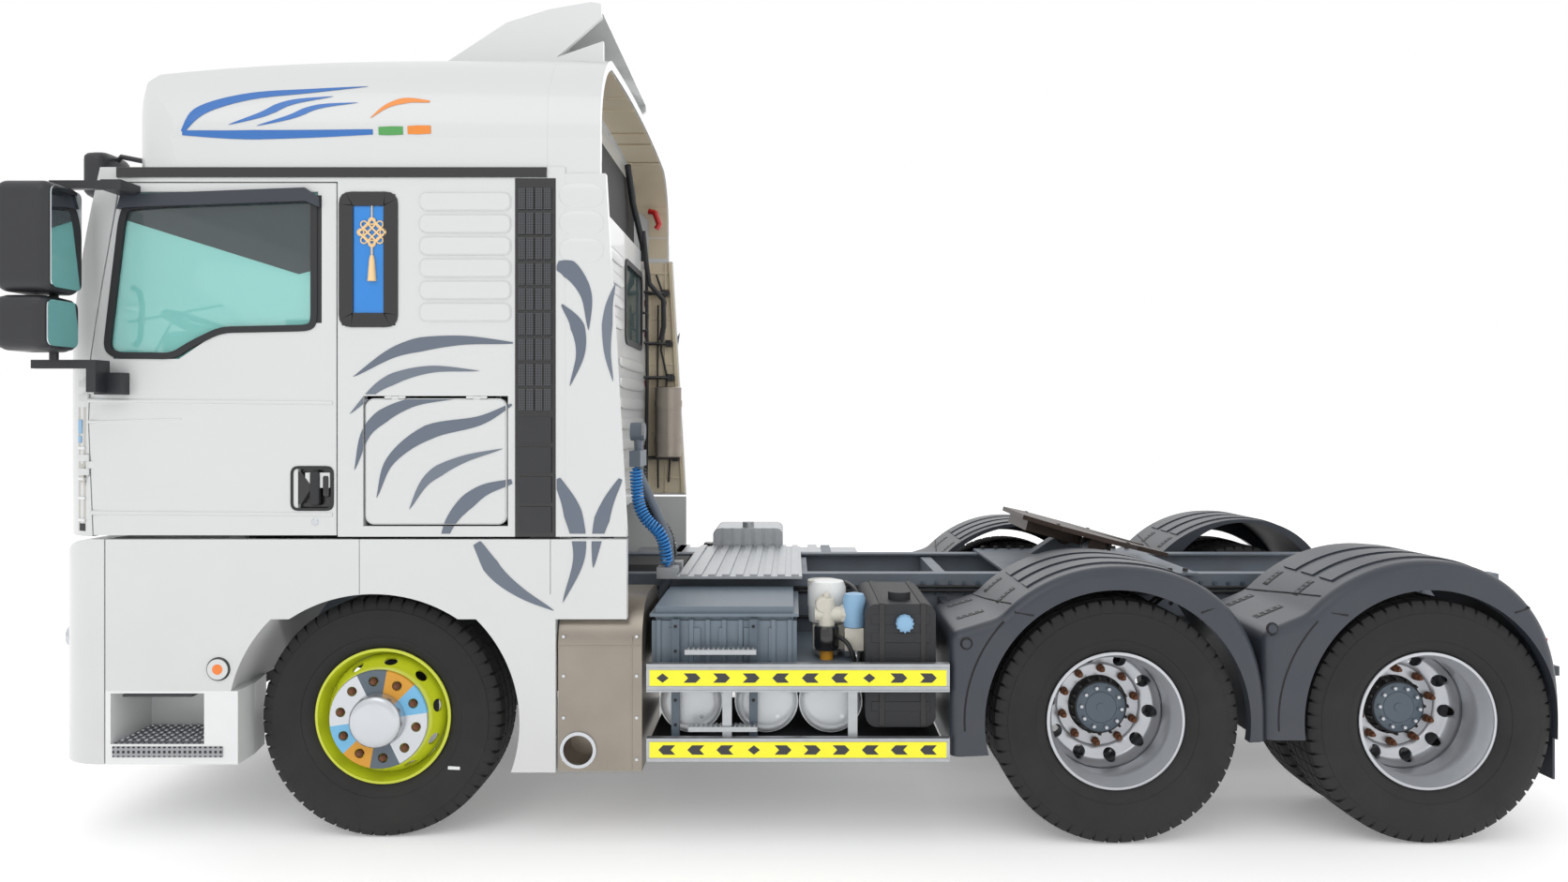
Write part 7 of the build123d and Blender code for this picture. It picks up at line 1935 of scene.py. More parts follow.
class LeftEquipment(Assembly):
    """Battery box, air tanks, dryer, urea tank and exhaust box on the driver's side."""

    tank_xs: tuple = (-0.625, -0.290, -0.0045)
    tank_z: float = 0.5847
    valve: tuple = (-0.020, -1.020)
    cap: tuple = (0.315, 0.948)

    def build(self) -> None:
        """Make the pieces."""
        self.battery()
        self.battery_steps()
        self.tanks()
        self.canisters()
        self.valves()
        self.urea()
        self.exhaust()

    def battery(self) -> None:
        """The battery box's lid, its ribs and the posts before it."""
        shop, form = self.shop, Form()
        form.box((-0.802, -1.1485, 0.968), (-0.146, -0.551, 0.982))
        for y in (-1.115 + 0.092 * i for i in range(6)):
            form.capsule((-0.775, y, 0.996), (-0.175, y + 0.052, 1.0095), 0.6, rows=4, sides=28, power=9)
        for x in (-0.772 + 0.072 * i for i in range(9)):
            form.box((x, -1.1495, 0.745), (x + 0.020, -1.138, 0.955))
        form.done("battery_lid_ribs", (shop.box_slate,), "chassis", "chassis_grey", bevel=0.004)
        posts, studs = Form(), []
        for x in (-0.686, -0.345):
            posts.box((x - 0.018, -1.168, 0.440), (x + 0.018, -1.150, 0.960))
            studs += row_spots((x, -1.168, 0.50), (x, -1.168, 0.93), 5, (0, -1, 0))
        posts.done("battery_posts", (shop.slate,), "chassis", "chassis_grey", bevel=0.002)
        shop.discs.spread("battery_post_studs", studs, (0.014, 0.006), shop.black_iron, "chassis")

    def battery_steps(self) -> None:
        """Two ribbed treads before the battery box, on short brackets."""
        treads = Form()
        for front, rear, z in ((-0.640, -0.330, 0.8330), (-0.625, -0.325, 0.500)):
            treads.box((front, -1.222, z - 0.006), (rear, -1.170, z + 0.006))
            treads.box((front, -1.226, z - 0.014), (rear, -1.220, z + 0.008))
            for x in (front + 0.012 + i * (rear - front - 0.03) / 13 for i in range(14)):
                treads.box((x, -1.218, z + 0.006), (x + 0.009, -1.174, z + 0.012))
            for x in (front + 0.02, rear - 0.02):
                treads.tube([(x, -1.200, z), (x, -1.175, z - 0.020), (x, -1.160, z - 0.020)], 0.008)
        treads.done("battery_steps", (self.shop.alloy,), "chassis", "aluminium", bevel=0.0015)

    def tanks(self) -> None:
        """Straps, end seams and ports of the three air tanks, and a dark plate under them that paints the
        shade beneath the tanks.
        """
        shop, z = self.shop, self.tank_z
        straps, seams, ports = Form(), Form(), Form()
        for x in self.tank_xs:
            outer, inner = arc_points((x, z), 0.1435, -35, 215, 40), arc_points((x, z), 0.1395, 215, -35, 40)
            for y in (-1.00, -0.68):
                straps.slab(outer + inner, y - 0.016, y + 0.016)
            for y in (-1.085, -0.595):
                seams.slab(arc_points((x, z), 0.1412, 0, 351, 40), y - 0.004, y + 0.004)
            ports.lathe([(0.0, 0.006), (0.010, 0.006), (0.010, -0.01)], (x + 0.05, -1.116, 0.525), -1.0, 0,
                        16, False)
        # painted shade: a dark plate under the tanks standing for the shade beneath them
        shade_plate = Form().box((-0.800, -1.120, 0.425), (0.480, -0.470, 0.431))
        shade_plate.done("tank_tray", (shop.dark,), "chassis", "charcoal_plastic", bevel=0.002)
        straps.done("air_tank_straps", (shop.dark,), "chassis", "cast_dark", smooth=60)
        seams.done("air_tank_seams", (shop.tank,), "chassis", "tank_white", smooth=60)
        ports.done("air_tank_ports", (shop.bright,), "chassis", "aluminium", smooth=50)

    def canisters(self) -> None:
        """The air dryer's canister and the filter's pale blue one."""
        dryer = Form().post((-0.013, -0.900), ((0.060, 0.900), (0.084, 0.905), (0.087, 0.925),
                                               (0.0865, 1.060),
                                               (0.075, 1.088), (0.040, 1.0935)), 36)
        dryer.done("dryer_canister", (self.shop.white,), "chassis", "tank_white", smooth=50)
        blue = Form().post((0.104, -1.03), ((0.030, 0.900), (0.048, 0.905), (0.050, 0.930), (0.050, 1.030),
                                            (0.042, 1.050), (0.020, 1.055)), 30)
        blue.done("filter_canister", (self.shop.pale_blue,), "chassis", "tank_white", smooth=50)

    def valves(self) -> None:
        """The cream valve block, the bowl and cup under it, and the pipes."""
        shop, (x, y) = self.shop, self.valve
        block = Form().box((-0.080, -0.985, 0.790), (0.070, -0.830, 0.898))
        block.box((0.060, -1.070, 0.800), (0.145, -0.960, 0.902))
        block.lathe([(0.0, 0.0), (0.030, 0.0), (0.036, 0.008), (0.036, 0.070)], (-0.035, -1.055, 1.000), 1.0,
                    0, 28,
                    False)
        block.tube([(-0.075, y, 0.958), (0.055, y, 0.958)], 0.034, sides=24)
        block.tube([(0.045, y, 0.958), (0.075, y, 0.958)], 0.042, sides=8)
        block.tube([(x, y, 0.905), (x, y, 1.030)], 0.038, sides=24)
        block.tube([(x, y, 1.028), (x, y, 1.052)], 0.018, sides=6)
        block.done("valve_block", (shop.cream,), "chassis", "aluminium", bevel=0.003)
        bowl = Form().tube([(x, y, z) for z in (0.800, 0.812, 0.896, 0.906)], [0.050, 0.056, 0.056, 0.050],
                           sides=36)
        bowl.done("dryer_bowl", (shop.black,), "chassis", "charcoal_plastic", smooth=50)
        cup = Form().tube([(x, y, z) for z in (0.610, 0.626, 0.640, 0.700)], [0.012, 0.026, 0.036, 0.038],
                          sides=28)
        cup.tube([(x, y, 0.695), (x, y, 0.802)], 0.030, sides=20)
        cup.done("dryer_cup", (shop.ochre,), "chassis", "cast_dark", smooth=50)
        pipes = Form()
        for i, (z, deep) in enumerate(((0.86, 0.60), (0.83, 0.62), (0.80, 0.57))):
            pipes.tube([(0.07, -0.95, z), (0.11, -0.90, z - 0.02), (0.12, -0.75, z - 0.01),
                        (0.10 - 0.02 * i, -deep, z - 0.03)], 0.008)
        for arc in (((0.075, -1.02, 0.960), (0.115, -1.02, 0.975), (0.125, -0.99, 1.020),
                     (0.110, -0.90, 1.055),
                     (0.080, -0.70, 1.050)),
                    ((0.010, -1.03, 0.870), (0.070, -1.09, 0.840), (0.100, -1.10, 0.760),
                     (0.100, -1.06, 0.660),
                     (0.060, -0.90, 0.620))):
            pipes.tube(flowing(arc, 24), 0.010)
        pipes.done("dryer_pipes", (shop.black_hose,), "chassis", "black_hose", smooth=60)

    def urea(self) -> None:
        """Ribs, straps and the pale blue cap of the urea tank."""
        shop, form, straps = self.shop, Form(), Form()
        for z in (0.56, 0.66, 0.76, 0.86, 0.94):
            form.box((0.170, -1.1775, z), (0.428, -1.170, z + 0.045))
        form.done("urea_tank_ribs", (shop.dark,), "chassis", "charcoal_plastic", bevel=0.004)
        for x in (0.205, 0.385):
            straps.box((x, -1.180, 0.500), (x + 0.024, -1.172, 1.030))
            straps.box((x, -1.180, 1.026), (x + 0.024, -0.560, 1.034))
        straps.done("urea_tank_straps", (shop.cast,), "chassis", "cast_dark", bevel=0.002)
        x, z = self.cap
        cap = Form().lathe([(0.0, 0.030), (0.030, 0.030), (0.036, 0.024), (0.037, 0.0), (0.042, -0.004),
                            (0.042, -0.02)], (x, -1.175, z), -1.0, 0, 36, False)
        for angle in (2 * math.pi * i / 12 for i in range(12)):
            a, b = x + 0.036 * math.cos(angle), z + 0.036 * math.sin(angle)
            cap.box((a - 0.003, -1.204, b - 0.003), (a + 0.003, -1.178, b + 0.003))
        cap.done("urea_cap", (shop.pale_blue,), "chassis", "charcoal_plastic", smooth=50)

    def exhaust(self) -> None:
        """Seams, rivets and outlet ring of the exhaust box."""
        shop, form = self.shop, Form()
        form.box((-0.870, -1.2325, 0.325), (-0.864, -1.2290, 0.900))
        form.box((-1.180, -1.2325, 0.855), (-0.829, -1.2290, 0.861))
        form.done("exhaust_box_seams", (shop.stainless,), "chassis", "stainless", bevel=0.0015)
        ring = Form().lathe([(0.064, 0.006), (0.078, 0.006), (0.080, 0.002), (0.080, -0.004),
                             (0.064, -0.004)],
                            (-1.097, -1.2335, 0.411), -1.0, 0, 60)
        ring.done("exhaust_ring", (shop.bright,), "chassis", "stainless", smooth=50)
        rivets = [((x, -1.2300, z), (0, -1, 0)) for x in (-0.845, -1.160) for z in (0.37, 0.55, 0.73, 0.90)]
        shop.discs.spread("exhaust_rivets", rivets, (0.016, 0.006), shop.bright, "chassis")


class RightEquipment(Assembly):
    """Straps, cap and pressed ends of the fuel tank on the far side."""

    def build(self) -> None:
        """Make the pieces."""
        shop, straps, cap, ends = self.shop, Form(), Form(), Form()
        for x in (-0.90, -0.42, 0.04):
            straps.box((x - 0.030, 0.492, 0.395), (x + 0.030, 1.1735, 0.399))
            straps.box((x - 0.030, 1.1705, 0.430), (x + 0.030, 1.1738, 0.970))
            straps.box((x - 0.030, 0.520, 1.0005), (x + 0.030, 1.14, 1.004))
        straps.done("fuel_tank_straps", (shop.steel_blue,), "chassis", "chassis_grey", bevel=0.001)
        cap.post((-0.70, 0.98), ((0.050, 1.000), (0.050, 1.028), (0.044, 1.040), (0.020, 1.042)), 36)
        cap.box((-0.735, 0.972, 1.034), (-0.665, 0.988, 1.0425))
        cap.done("fuel_cap", (shop.black,), "chassis", "charcoal_plastic", smooth=50)
        for low, high in ((-1.1638, -1.1598), (0.2318, 0.2358)):
            ends.slab(eased(rectangle((0.53, 0.44), (1.13, 0.96)), 0.09), low, high, axis=0)
        ends.done("fuel_tank_ends", (shop.alloy,), "chassis", "aluminium", bevel=0.001, smooth=50)


class Chassis(Assembly):
    """Bolts, holes, air pipes and cables along the frame rails, and axle details."""

    bolt_runs: tuple = ((-3.05, -2.55), (-1.42, -1.15), (0.42, 0.98), (1.10, 1.42), (1.62, 2.26),
                        (2.42, 2.78),
                        (2.95, 3.36))
    bend: tuple = ((1.56, -0.60, 0.885), (1.57, -0.62, 0.93), (1.60, -0.64, 0.965), (1.65, -0.65, 0.975),
                   (1.68, -0.64, 1.005), (1.70, -0.60, 1.03))
    chamber: tuple = ((0.0, 0.0), (0.070, 0.0), (0.085, 0.02), (0.085, 0.06), (0.092, 0.062), (0.092, 0.074),
                      (0.085, 0.076), (0.085, 0.12), (0.060, 0.145), (0.0, 0.145))
    lenses: tuple = ((0.935, 0.84), (0.835, 0.74), (0.735, 0.66))

    def build(self) -> None:
        """Make the pieces."""
        self.fixings()
        self.pipes()
        shop, chambers = self.shop, Form()
        for x in (1.425, 2.775):
            for out in (-1.0, 1.0):
                chambers.lathe(self.chamber, (x, out * 0.36, 0.62), out, 0, 30, False)
        chambers.done("brake_chambers", (shop.dark,), "chassis", "cast_dark", smooth=40)
        plate = Form().box((3.4175, -0.27, 0.82), (3.4235, 0.27, 0.93))
        plate.done("rear_plate", (shop.ochre,), "chassis", bevel=0.001)
        self.lamps()

    def fixings(self) -> None:
        """Rows of bolts in the rails' webs, and holes drawn as flat dark discs that paint the shade inside
        the rails.
        """
        bolts, holes = [], []
        for out in (-1.0, 1.0):
            for front, rear in self.bolt_runs:
                for z in (0.795, 0.845, 0.955, 1.005):
                    bolts += row_spots((front, out * 0.4325, z), (rear, out * 0.4325, z),
                                       max(3, int((rear - front) / 0.062)), (0, out, 0))
            # painted shade: the holes are thin dark discs standing for the shade inside the rail
            holes += [((-1.35 + 0.115 * i, out * 0.4308, 0.900), (0, out, 0)) for i in range(41)]
        self.shop.bolts.spread("rail_bolts", bolts, (0.022, 0.012), self.shop.slate, "chassis")
        self.shop.discs.spread("rail_holes", holes, (0.024, 0.002), self.shop.black_iron, "chassis")

    def pipes(self) -> None:
        """Air pipes along the rails and the bent pair between the driven axles."""
        lines, bend = Form(), Form()
        for z, y in ((0.985, 0.448), (0.965, 0.452), (0.835, 0.446)):
            for out in (-1.0, 1.0):
                lines.tube([(x, out * y, z + dz) for x, dz in ((-1.10, 0), (-0.40, -0.004), (0.40, 0.003),
                                                               (0.9, 0),
                                                               (1.9, -0.003), (2.9, 0))], 0.008, sides=8)
        lines.done("rail_pipes", (self.shop.black_hose,), "chassis", "black_hose", smooth=60)
        for shift in (0.0, 0.035):
            bend.tube([(x + shift, y, z) for x, y, z in self.bend], 0.010, sides=10)
        bend.done("tandem_pipe", (self.shop.dark,), "chassis", "cast_dark", smooth=60)

    def lamps(self) -> None:
        """Tail lamps' lenses and the round markers beside the entry steps."""
        lamps, marker, shop = Form(), Form(), self.shop
        for out in (-1.0, 1.0):
            for index, (far, near) in enumerate(self.lenses):
                lamps.box(*corners(out, (3.290, 3.3005), (near + 0.003, far - 0.003), (0.712, 0.818)), index)
            middle = (-2.640, out * 1.2455, 0.763)
            marker.lathe([(0.0, 0.011), (0.030, 0.009), (0.042, 0.004), (0.045, -0.004)], middle, out, 0, 36,
                         False)
            marker.lathe([(0.044, 0.006), (0.050, 0.004), (0.052, -0.004), (0.044, -0.004)], middle, out, 1,
                         36)
        lamps.done("tail_lenses", (shop.amber, shop.red, shop.lens), "chassis", "lamp_red", bevel=0.003)
        marker.done("side_markers", (shop.amber, shop.black), "chassis", "lamp_red", smooth=60)


class Mudguards(Assembly):
    """Seams, slots painted dark for the shade in them, plugs, dark lines that paint the shade round the lips,
    and flap ribs of the rear mudguards.
    """

    axles: tuple = (1.225, 2.575)
    axle_z: float = 0.540
    face: float = 1.2455
    # offsets from the axle, along X and up, of each seam's ends on the lip
    seams: tuple = (((-0.440, 0.485), (-0.362, 0.453), -0.515), ((0.420, 0.505), (0.358, 0.465), 0.460))
    slots: tuple = ((-0.655, -0.535), (-0.475, -0.395))
    plugs: tuple = ((-0.652, 0.333), (-0.689, 0.398))
    # radii along X and up of the dark line that paints the shade of the groove round each lip
    crease: tuple = (0.660, 0.640)

    def build(self) -> None:
        """Make the pieces of both sides."""
        skin = Skin(self.frame, ["rear_mudguards"])
        for side in Side:
            self.pressings(side, skin)
            self.marks(side)

    def pressings(self, side: Side, skin: Skin) -> None:
        """Seams over the top, and slots drawn as dark strips that paint the shade in their openings, with
        their rungs.

        Args:
            side: Which side of the vehicle.
            skin: Surface of the mudguards.
        """
        out, black, forms = float(side.value), self.shop.black_iron, (Form(), Form(), Form())
        lines, slots, bars = forms
        for x in self.axles:
            for outer, inner, far in self.seams:
                points = [self.drop(skin, x + far + (outer[0] - far) * k / 12, out * (0.606 + 0.052 * k))
                          for k in range(12)]
                points += [(x + outer[0], out * (self.face - 0.004), self.axle_z + outer[1] - 0.02),
                           (x + inner[0], out * self.face, self.axle_z + inner[1])]
                lines.tube(points, 0.0042, sides=6)
            for y in (0.715, 1.005):
                for start, end in self.slots:
                    # painted shade: each slot is a thin dark strip standing for the shade in the opening
                    self.ribbon(slots, skin, x + start, x + end, out, (y - 0.024, y + 0.024), 0.0012)
                    for k in range(4):
                        rung = x + start + (end - start) * (0.12 + 0.24 * k)
                        self.ribbon(bars, skin, rung, rung + 0.010, out, (y - 0.016, y + 0.016), 0.0032)
        for form, name, finish in zip(forms, ("seams", "slots", "rungs"), (black, black, self.shop.guard)):
            form.done(f"mudguard_{name}_{side.word}", (finish,), "chassis", "charcoal_plastic", smooth=60)

    def drop(self, skin: Skin, x: float, y: float) -> Vector:
        """The mudguard's top surface above a point."""
        return skin.hit((x, y, 1.6), (0, 0, -1))

    def ribbon(self, form: Form, skin: Skin, start: float, end: float, out: float, across: tuple,
               lift: float) -> None:
        """A thin strip that lies on the mudguard's top surface.

        Args:
            form: Where the strip goes.
            skin: Surface of the mudguards.
            start: Its front end along X.
            end: Its rear end.
            out: Which side, as the sign of Y.
            across: Its two edges across the vehicle.
            lift: How far it stands over the surface.
        """
        rings, count = [], max(1, round((end - start) / 0.02))
        sunk, proud = Vector((0, 0, 0.004)), Vector((0, 0, lift))
        for k in range(count + 1):
            a, b = (self.drop(skin, start + (end - start) * k / count, out * y) for y in across)
            rings.append([a - sunk, b - sunk, b + proud, a + proud])
        form.loft(rings)

    def marks(self, side: Side) -> None:
        """Dark lines round the lips that paint the shade of a groove, round plugs and the flap's ribs.

        Args:
            side: Which side of the vehicle.
        """
        out, shop, creases, flaps = float(side.value), self.shop, Form(), Form()
        for x in self.axles:
            # painted shade: a dark tube on the flush face stands for the shade in the groove round the lip
            turns = (math.radians(138 + 46 * k / 14) for k in range(15))
            creases.tube([(x + self.crease[0] * math.cos(t), out * (self.face - 0.002),
                           self.axle_z + self.crease[1] * math.sin(t)) for t in turns], 0.0045, sides=6)
        creases.done(f"mudguard_creases_{side.word}", (shop.black_iron,), "chassis", "charcoal_plastic",
                     smooth=60)
        spots = [((x + plug[0], out * (self.face + 0.001), self.axle_z + plug[1]), (0, out, 0))
                 for x, plug in zip(self.axles, self.plugs)]
        shop.discs.spread(f"mudguard_plugs_{side.word}", spots, (0.054, 0.006), shop.black_iron, "chassis")
        shop.discs.spread(f"mudguard_plug_caps_{side.word}", spots, (0.044, 0.009), shop.guard, "chassis")
        for y in (0.66 + 0.09 * k for k in range(6)):
            flaps.box(*corners(out, (3.144, 3.1495), (y, y + 0.05), (0.30, 0.70)))
        flaps.done(f"flap_ribs_{side.word}", (shop.guard,), "chassis", "charcoal_plastic", bevel=0.001)


class FifthWheel(Assembly):
    """The coupling's release handle, grease nipples and base bolts."""

    handle: tuple = ((1.36, -0.42, 1.125), (1.36, -0.50, 1.120), (1.37, -0.60, 1.115), (1.41, -0.66, 1.113),
                     (1.41, -0.69, 1.113))

    def build(self) -> None:
        """Make the pieces."""
        shop, skin = self.shop, Skin(self.frame, ["fifth_wheel_plate"])
        handle = Form().tube(self.handle, 0.010, sides=10)
        handle.done("release_handle", (shop.cast,), "fifth_wheel", "cast_dark", smooth=60)
        nipples = [(skin.hit((x, y, 1.6), (0, 0, -1)) + Vector((0, 0, 0.001)), (0.25, 0, 1))
                   for x in (1.20, 1.56) for y in (-0.36, 0.36)]
        shop.discs.spread("plate_nipples", nipples, (0.022, 0.004), shop.cast, "fifth_wheel")
        base = [((0.96 + 0.078 * i, y, 1.066), (0, 0, 1)) for y in (-0.455, 0.455) for i in range(12)]
        shop.bolts.spread("coupling_base_bolts", base, (0.030, 0.016), shop.cast, "chassis")


# ------------------------------------------------------------------ behind and inside the cab
class RearOfCab(Assembly):
    """The cab's back wall, the linings of the side fairings with their stays and cables, and the canister."""

    wall: float = -1.150
    # the fairing's rear edge, and how much further forward it goes for each metre up
    fairing_edge: tuple = (-0.897, 1.345, 0.0578)
    frame_bar: tuple = ((-1.20, 0.72, 3.42), (-1.19, 0.86, 3.22), (-1.14, 0.95, 2.97), (-1.135, 0.97, 2.86))
    frame_hose: tuple = ((-1.135, 0.93, 3.05), (-1.12, 0.96, 2.86), (-1.105, 1.00, 2.72), (-1.02, 1.06, 2.62),
                         (-1.02, 1.08, 2.45), (-1.04, 1.10, 2.36))
    hook: tuple = ((-1.12, 1.10, 3.21), (-1.08, 1.09, 3.20), (-1.05, 1.08, 3.12), (-1.07, 1.08, 3.09))
    cables: tuple = (((-1.00, 1.172, 1.42), (-0.99, 1.174, 1.60), (-1.03, 1.170, 1.90), (-1.01, 1.174, 2.12),
                      (-1.05, 1.170, 2.30), (-1.02, 1.172, 2.62), (-1.08, 1.160, 2.80)),
                     ((-1.07, 1.176, 1.38), (-1.075, 1.178, 1.90), (-1.07, 1.176, 2.60)))

    def build(self) -> None:
        """Make the pieces."""
        self.back_wall()
        self.linings()
        self.hood_lining()
        self.hood_frame()
        self.canister()

    def edge(self, z: float) -> float:
        """Where the fairing's rear edge is at a height."""
        x, low, slope = self.fairing_edge
        return x - (z - low) * slope

    def back_wall(self) -> None:
        """Pressed ribs, window seals, catch handles, red clips and cables."""
        shop, wall, ribs, posts = self.shop, self.wall, Form(), Form()
        panels = [(1.42 + row * 0.118, 0.075, span(out, 0.10, 1.06)) for row in range(7) for out in (-1, 1)]
        panels += [(2.34 + row * 0.12, 0.07, (-0.25, 0.25)) for row in range(4)]
        for z, tall, y in panels:
            ribs.capsule((wall - 0.004, y[0], z), (wall + 0.011, y[1], z + tall), 0.6, rows=6, sides=28,
                         power=9)
        ribs.done("back_wall_ribs", (shop.paint,), "cab", "cab_white", smooth=60)
        for side in Side:
            out, word, seal, clips = float(side.value), side.word, Form(), Form()
            low, high = span(out, 0.330, 0.950)
            band(seal, eased(rectangle((low, 2.300), (high, 2.760)), 0.05), 0.022, 0.012, wall - 0.004,
                 wall + 0.008,
                 axis=0)
            seal.done(f"rear_window_seal_{word}", (shop.rubber,), "cab", "charcoal_plastic", smooth=50)
            grip = ((0.004, 2.41), (0.034, 2.42), (0.038, 2.52), (0.004, 2.53))
            catch = Form().tube([(wall + x, out * 0.985, z) for x, z in grip], 0.009, sides=10)
            catch.done(f"rear_catch_{word}", (shop.black,), "cab", "charcoal_plastic", smooth=60)
            for z in (1.62, 2.05, 2.38, 2.58, 2.83):
                clips.box(*corners(out, (wall, wall + 0.018), (1.10, 1.125), (z, z + 0.045)))
            clips.done(f"red_clips_{word}", (shop.red,), "cab", "lamp_red", bevel=0.003)
        for y in (-1.085, 1.085):
            posts.tube([(wall + 0.012, y, 1.40), (wall + 0.020, y, 2.10), (wall + 0.016, y, 2.86)], 0.011,
                       sides=10)
        posts.done("back_wall_cables", (shop.black_hose,), "cab", "black_hose", smooth=60)

    def linings(self) -> None:
        """Pale inner faces of the fairings, their ridges, black stays and cables."""
        shop, foot, head = self.shop, (-0.893, 1.345), (-0.982, 2.885)
        for side in Side:
            out, word = float(side.value), side.word
            lining = Form().slab([(-1.145, foot[1]), foot, head, (-1.145, head[1])],
                                 *span(out, 1.1985, 1.2045))
            for z in (1.44 + row * 0.152 for row in range(10)):
                edge = self.edge(z)
                lining.slab([(-1.140, z), (edge - 0.006, z), (edge - 0.008, z + 0.014), (-1.140, z + 0.014)],
                            *span(out, 1.190, 1.1990))
            for front, rear in ((-1.142, -1.126), (-1.030, -1.018)):
                lining.box(*corners(out, (front, rear), (1.188, 1.199), (1.35, 2.88)))
            lining.slab([(-0.915, foot[1]), foot, head, (-1.004, head[1])], *span(out, 1.180, 1.1990))
            lining.done(f"fairing_lining_{word}", (shop.beige,), "cab", "cab_white", bevel=0.002)
            pads, stays, cable = Form(), Form(), Form()
            for shift in (0.0, 0.118, 0.236):
                pads.capsule(*corners(out, (-1.176, -0.985), (1.236, 1.2485), (2.508 + shift, 2.620 + shift)),
                             0.9,
                             rows=8, sides=40, power=7)
            pads.done(f"fairing_pads_{word}", (shop.paint,), "cab", "cab_white", smooth=70)
            for z in (1.57, 2.104, 2.33, 2.665):
                edge = self.edge(z) - 0.003
                stays.box(*corners(out, (-1.150, edge - 0.012), (1.150, 1.188), (z, z + 0.022)))
                stays.box(*corners(out, (edge - 0.060, edge - 0.022), (1.140, 1.192), (z - 0.012, z + 0.034)))
                stays.tube([(-1.148, out * 1.06, z + 0.010), (-1.06, out * 1.12, z + 0.012),
                            (edge - 0.03, out * 1.165, z + 0.011)], 0.008)
            stays.done(f"fairing_stays_{word}", (shop.black,), "cab", "charcoal_plastic", bevel=0.002)
            for line, radius in zip(self.cables, (0.007, 0.006)):
                cable.tube([(x, out * y, z) for x, y, z in line], radius, sides=8)
            cable.done(f"fairing_cables_{word}", (shop.black_hose,), "cab", "black_hose", smooth=60)

    def hood_lining(self) -> None:
        """Beige inside of the roof's hood behind the cab, and its ridges."""
        skin, form = Skin(self.frame, ["cab_fairings"]), Form()
        for low, high, lift in [(-4, 184, 0.002)] + [(a, a + 2, 0.010) for a in (10, 28, 46, 64, 114, 132,
                                                                                 150, 168)]:
            rings, count = [], max(1, (high - low) // 4)
            for k in range(count + 1):
                angle = math.radians(low + (high - low) * k / count)
                ray = Vector((0, math.cos(angle), math.sin(angle)))
                front, rear = (skin.hit((x, 0, 3.0), ray) for x in (-1.136 if abs(ray.y) > 0.985 else -1.212,
                                                                    -1.012))
                rings.append([front - ray * lift, rear - ray * lift, rear + ray * 0.004, front + ray * 0.004])
            form.loft(rings)
        form.done("hood_lining", (self.shop.beige,), "cab", "cab_white", smooth=40)

    def hood_frame(self) -> None:
        """The dark frame under the hood, its bars and hoses, and two red hooks."""
        frame, hooks = Form().box((-1.2285, -1.12, 2.945), (-1.2225, 1.12, 3.36)), Form()
        for out in (float(side.value) for side in Side):
            for form, line, radius, sides in ((frame, self.frame_bar, 0.020, 8),
                                              (frame, self.frame_hose, 0.017, 12),
                                              (hooks, self.hook, 0.020, 10)):
                form.tube([(x, out * y, z) for x, y, z in line], radius, sides=sides)
        frame.done("hood_frame", (self.shop.dark,), "cab", "charcoal_plastic", smooth=50)
        hooks.done("hood_hooks", (self.shop.red,), "cab", "lamp_red", smooth=60)

    def canister(self) -> None:
        """Bands and end rims of the steel canister."""
        form = Form()
        for low, high, neck, rise, radius in ((1.698, 1.737, 0.084, 0.002, 0.0875),
                                              (1.898, 1.937, 0.084, 0.002, 0.0875),
                                              (1.590, 1.606, 0.080, 0.004, 0.0872),
                                              (2.034, 2.050, 0.080, 0.004, 0.0872)):
            form.post((-0.994, 1.107), ((neck, low), (radius, low + rise), (radius, high - rise),
                                        (neck, high)), 48)
        form.done("canister_bands", (self.shop.stainless,), "cab", "stainless", smooth=50)


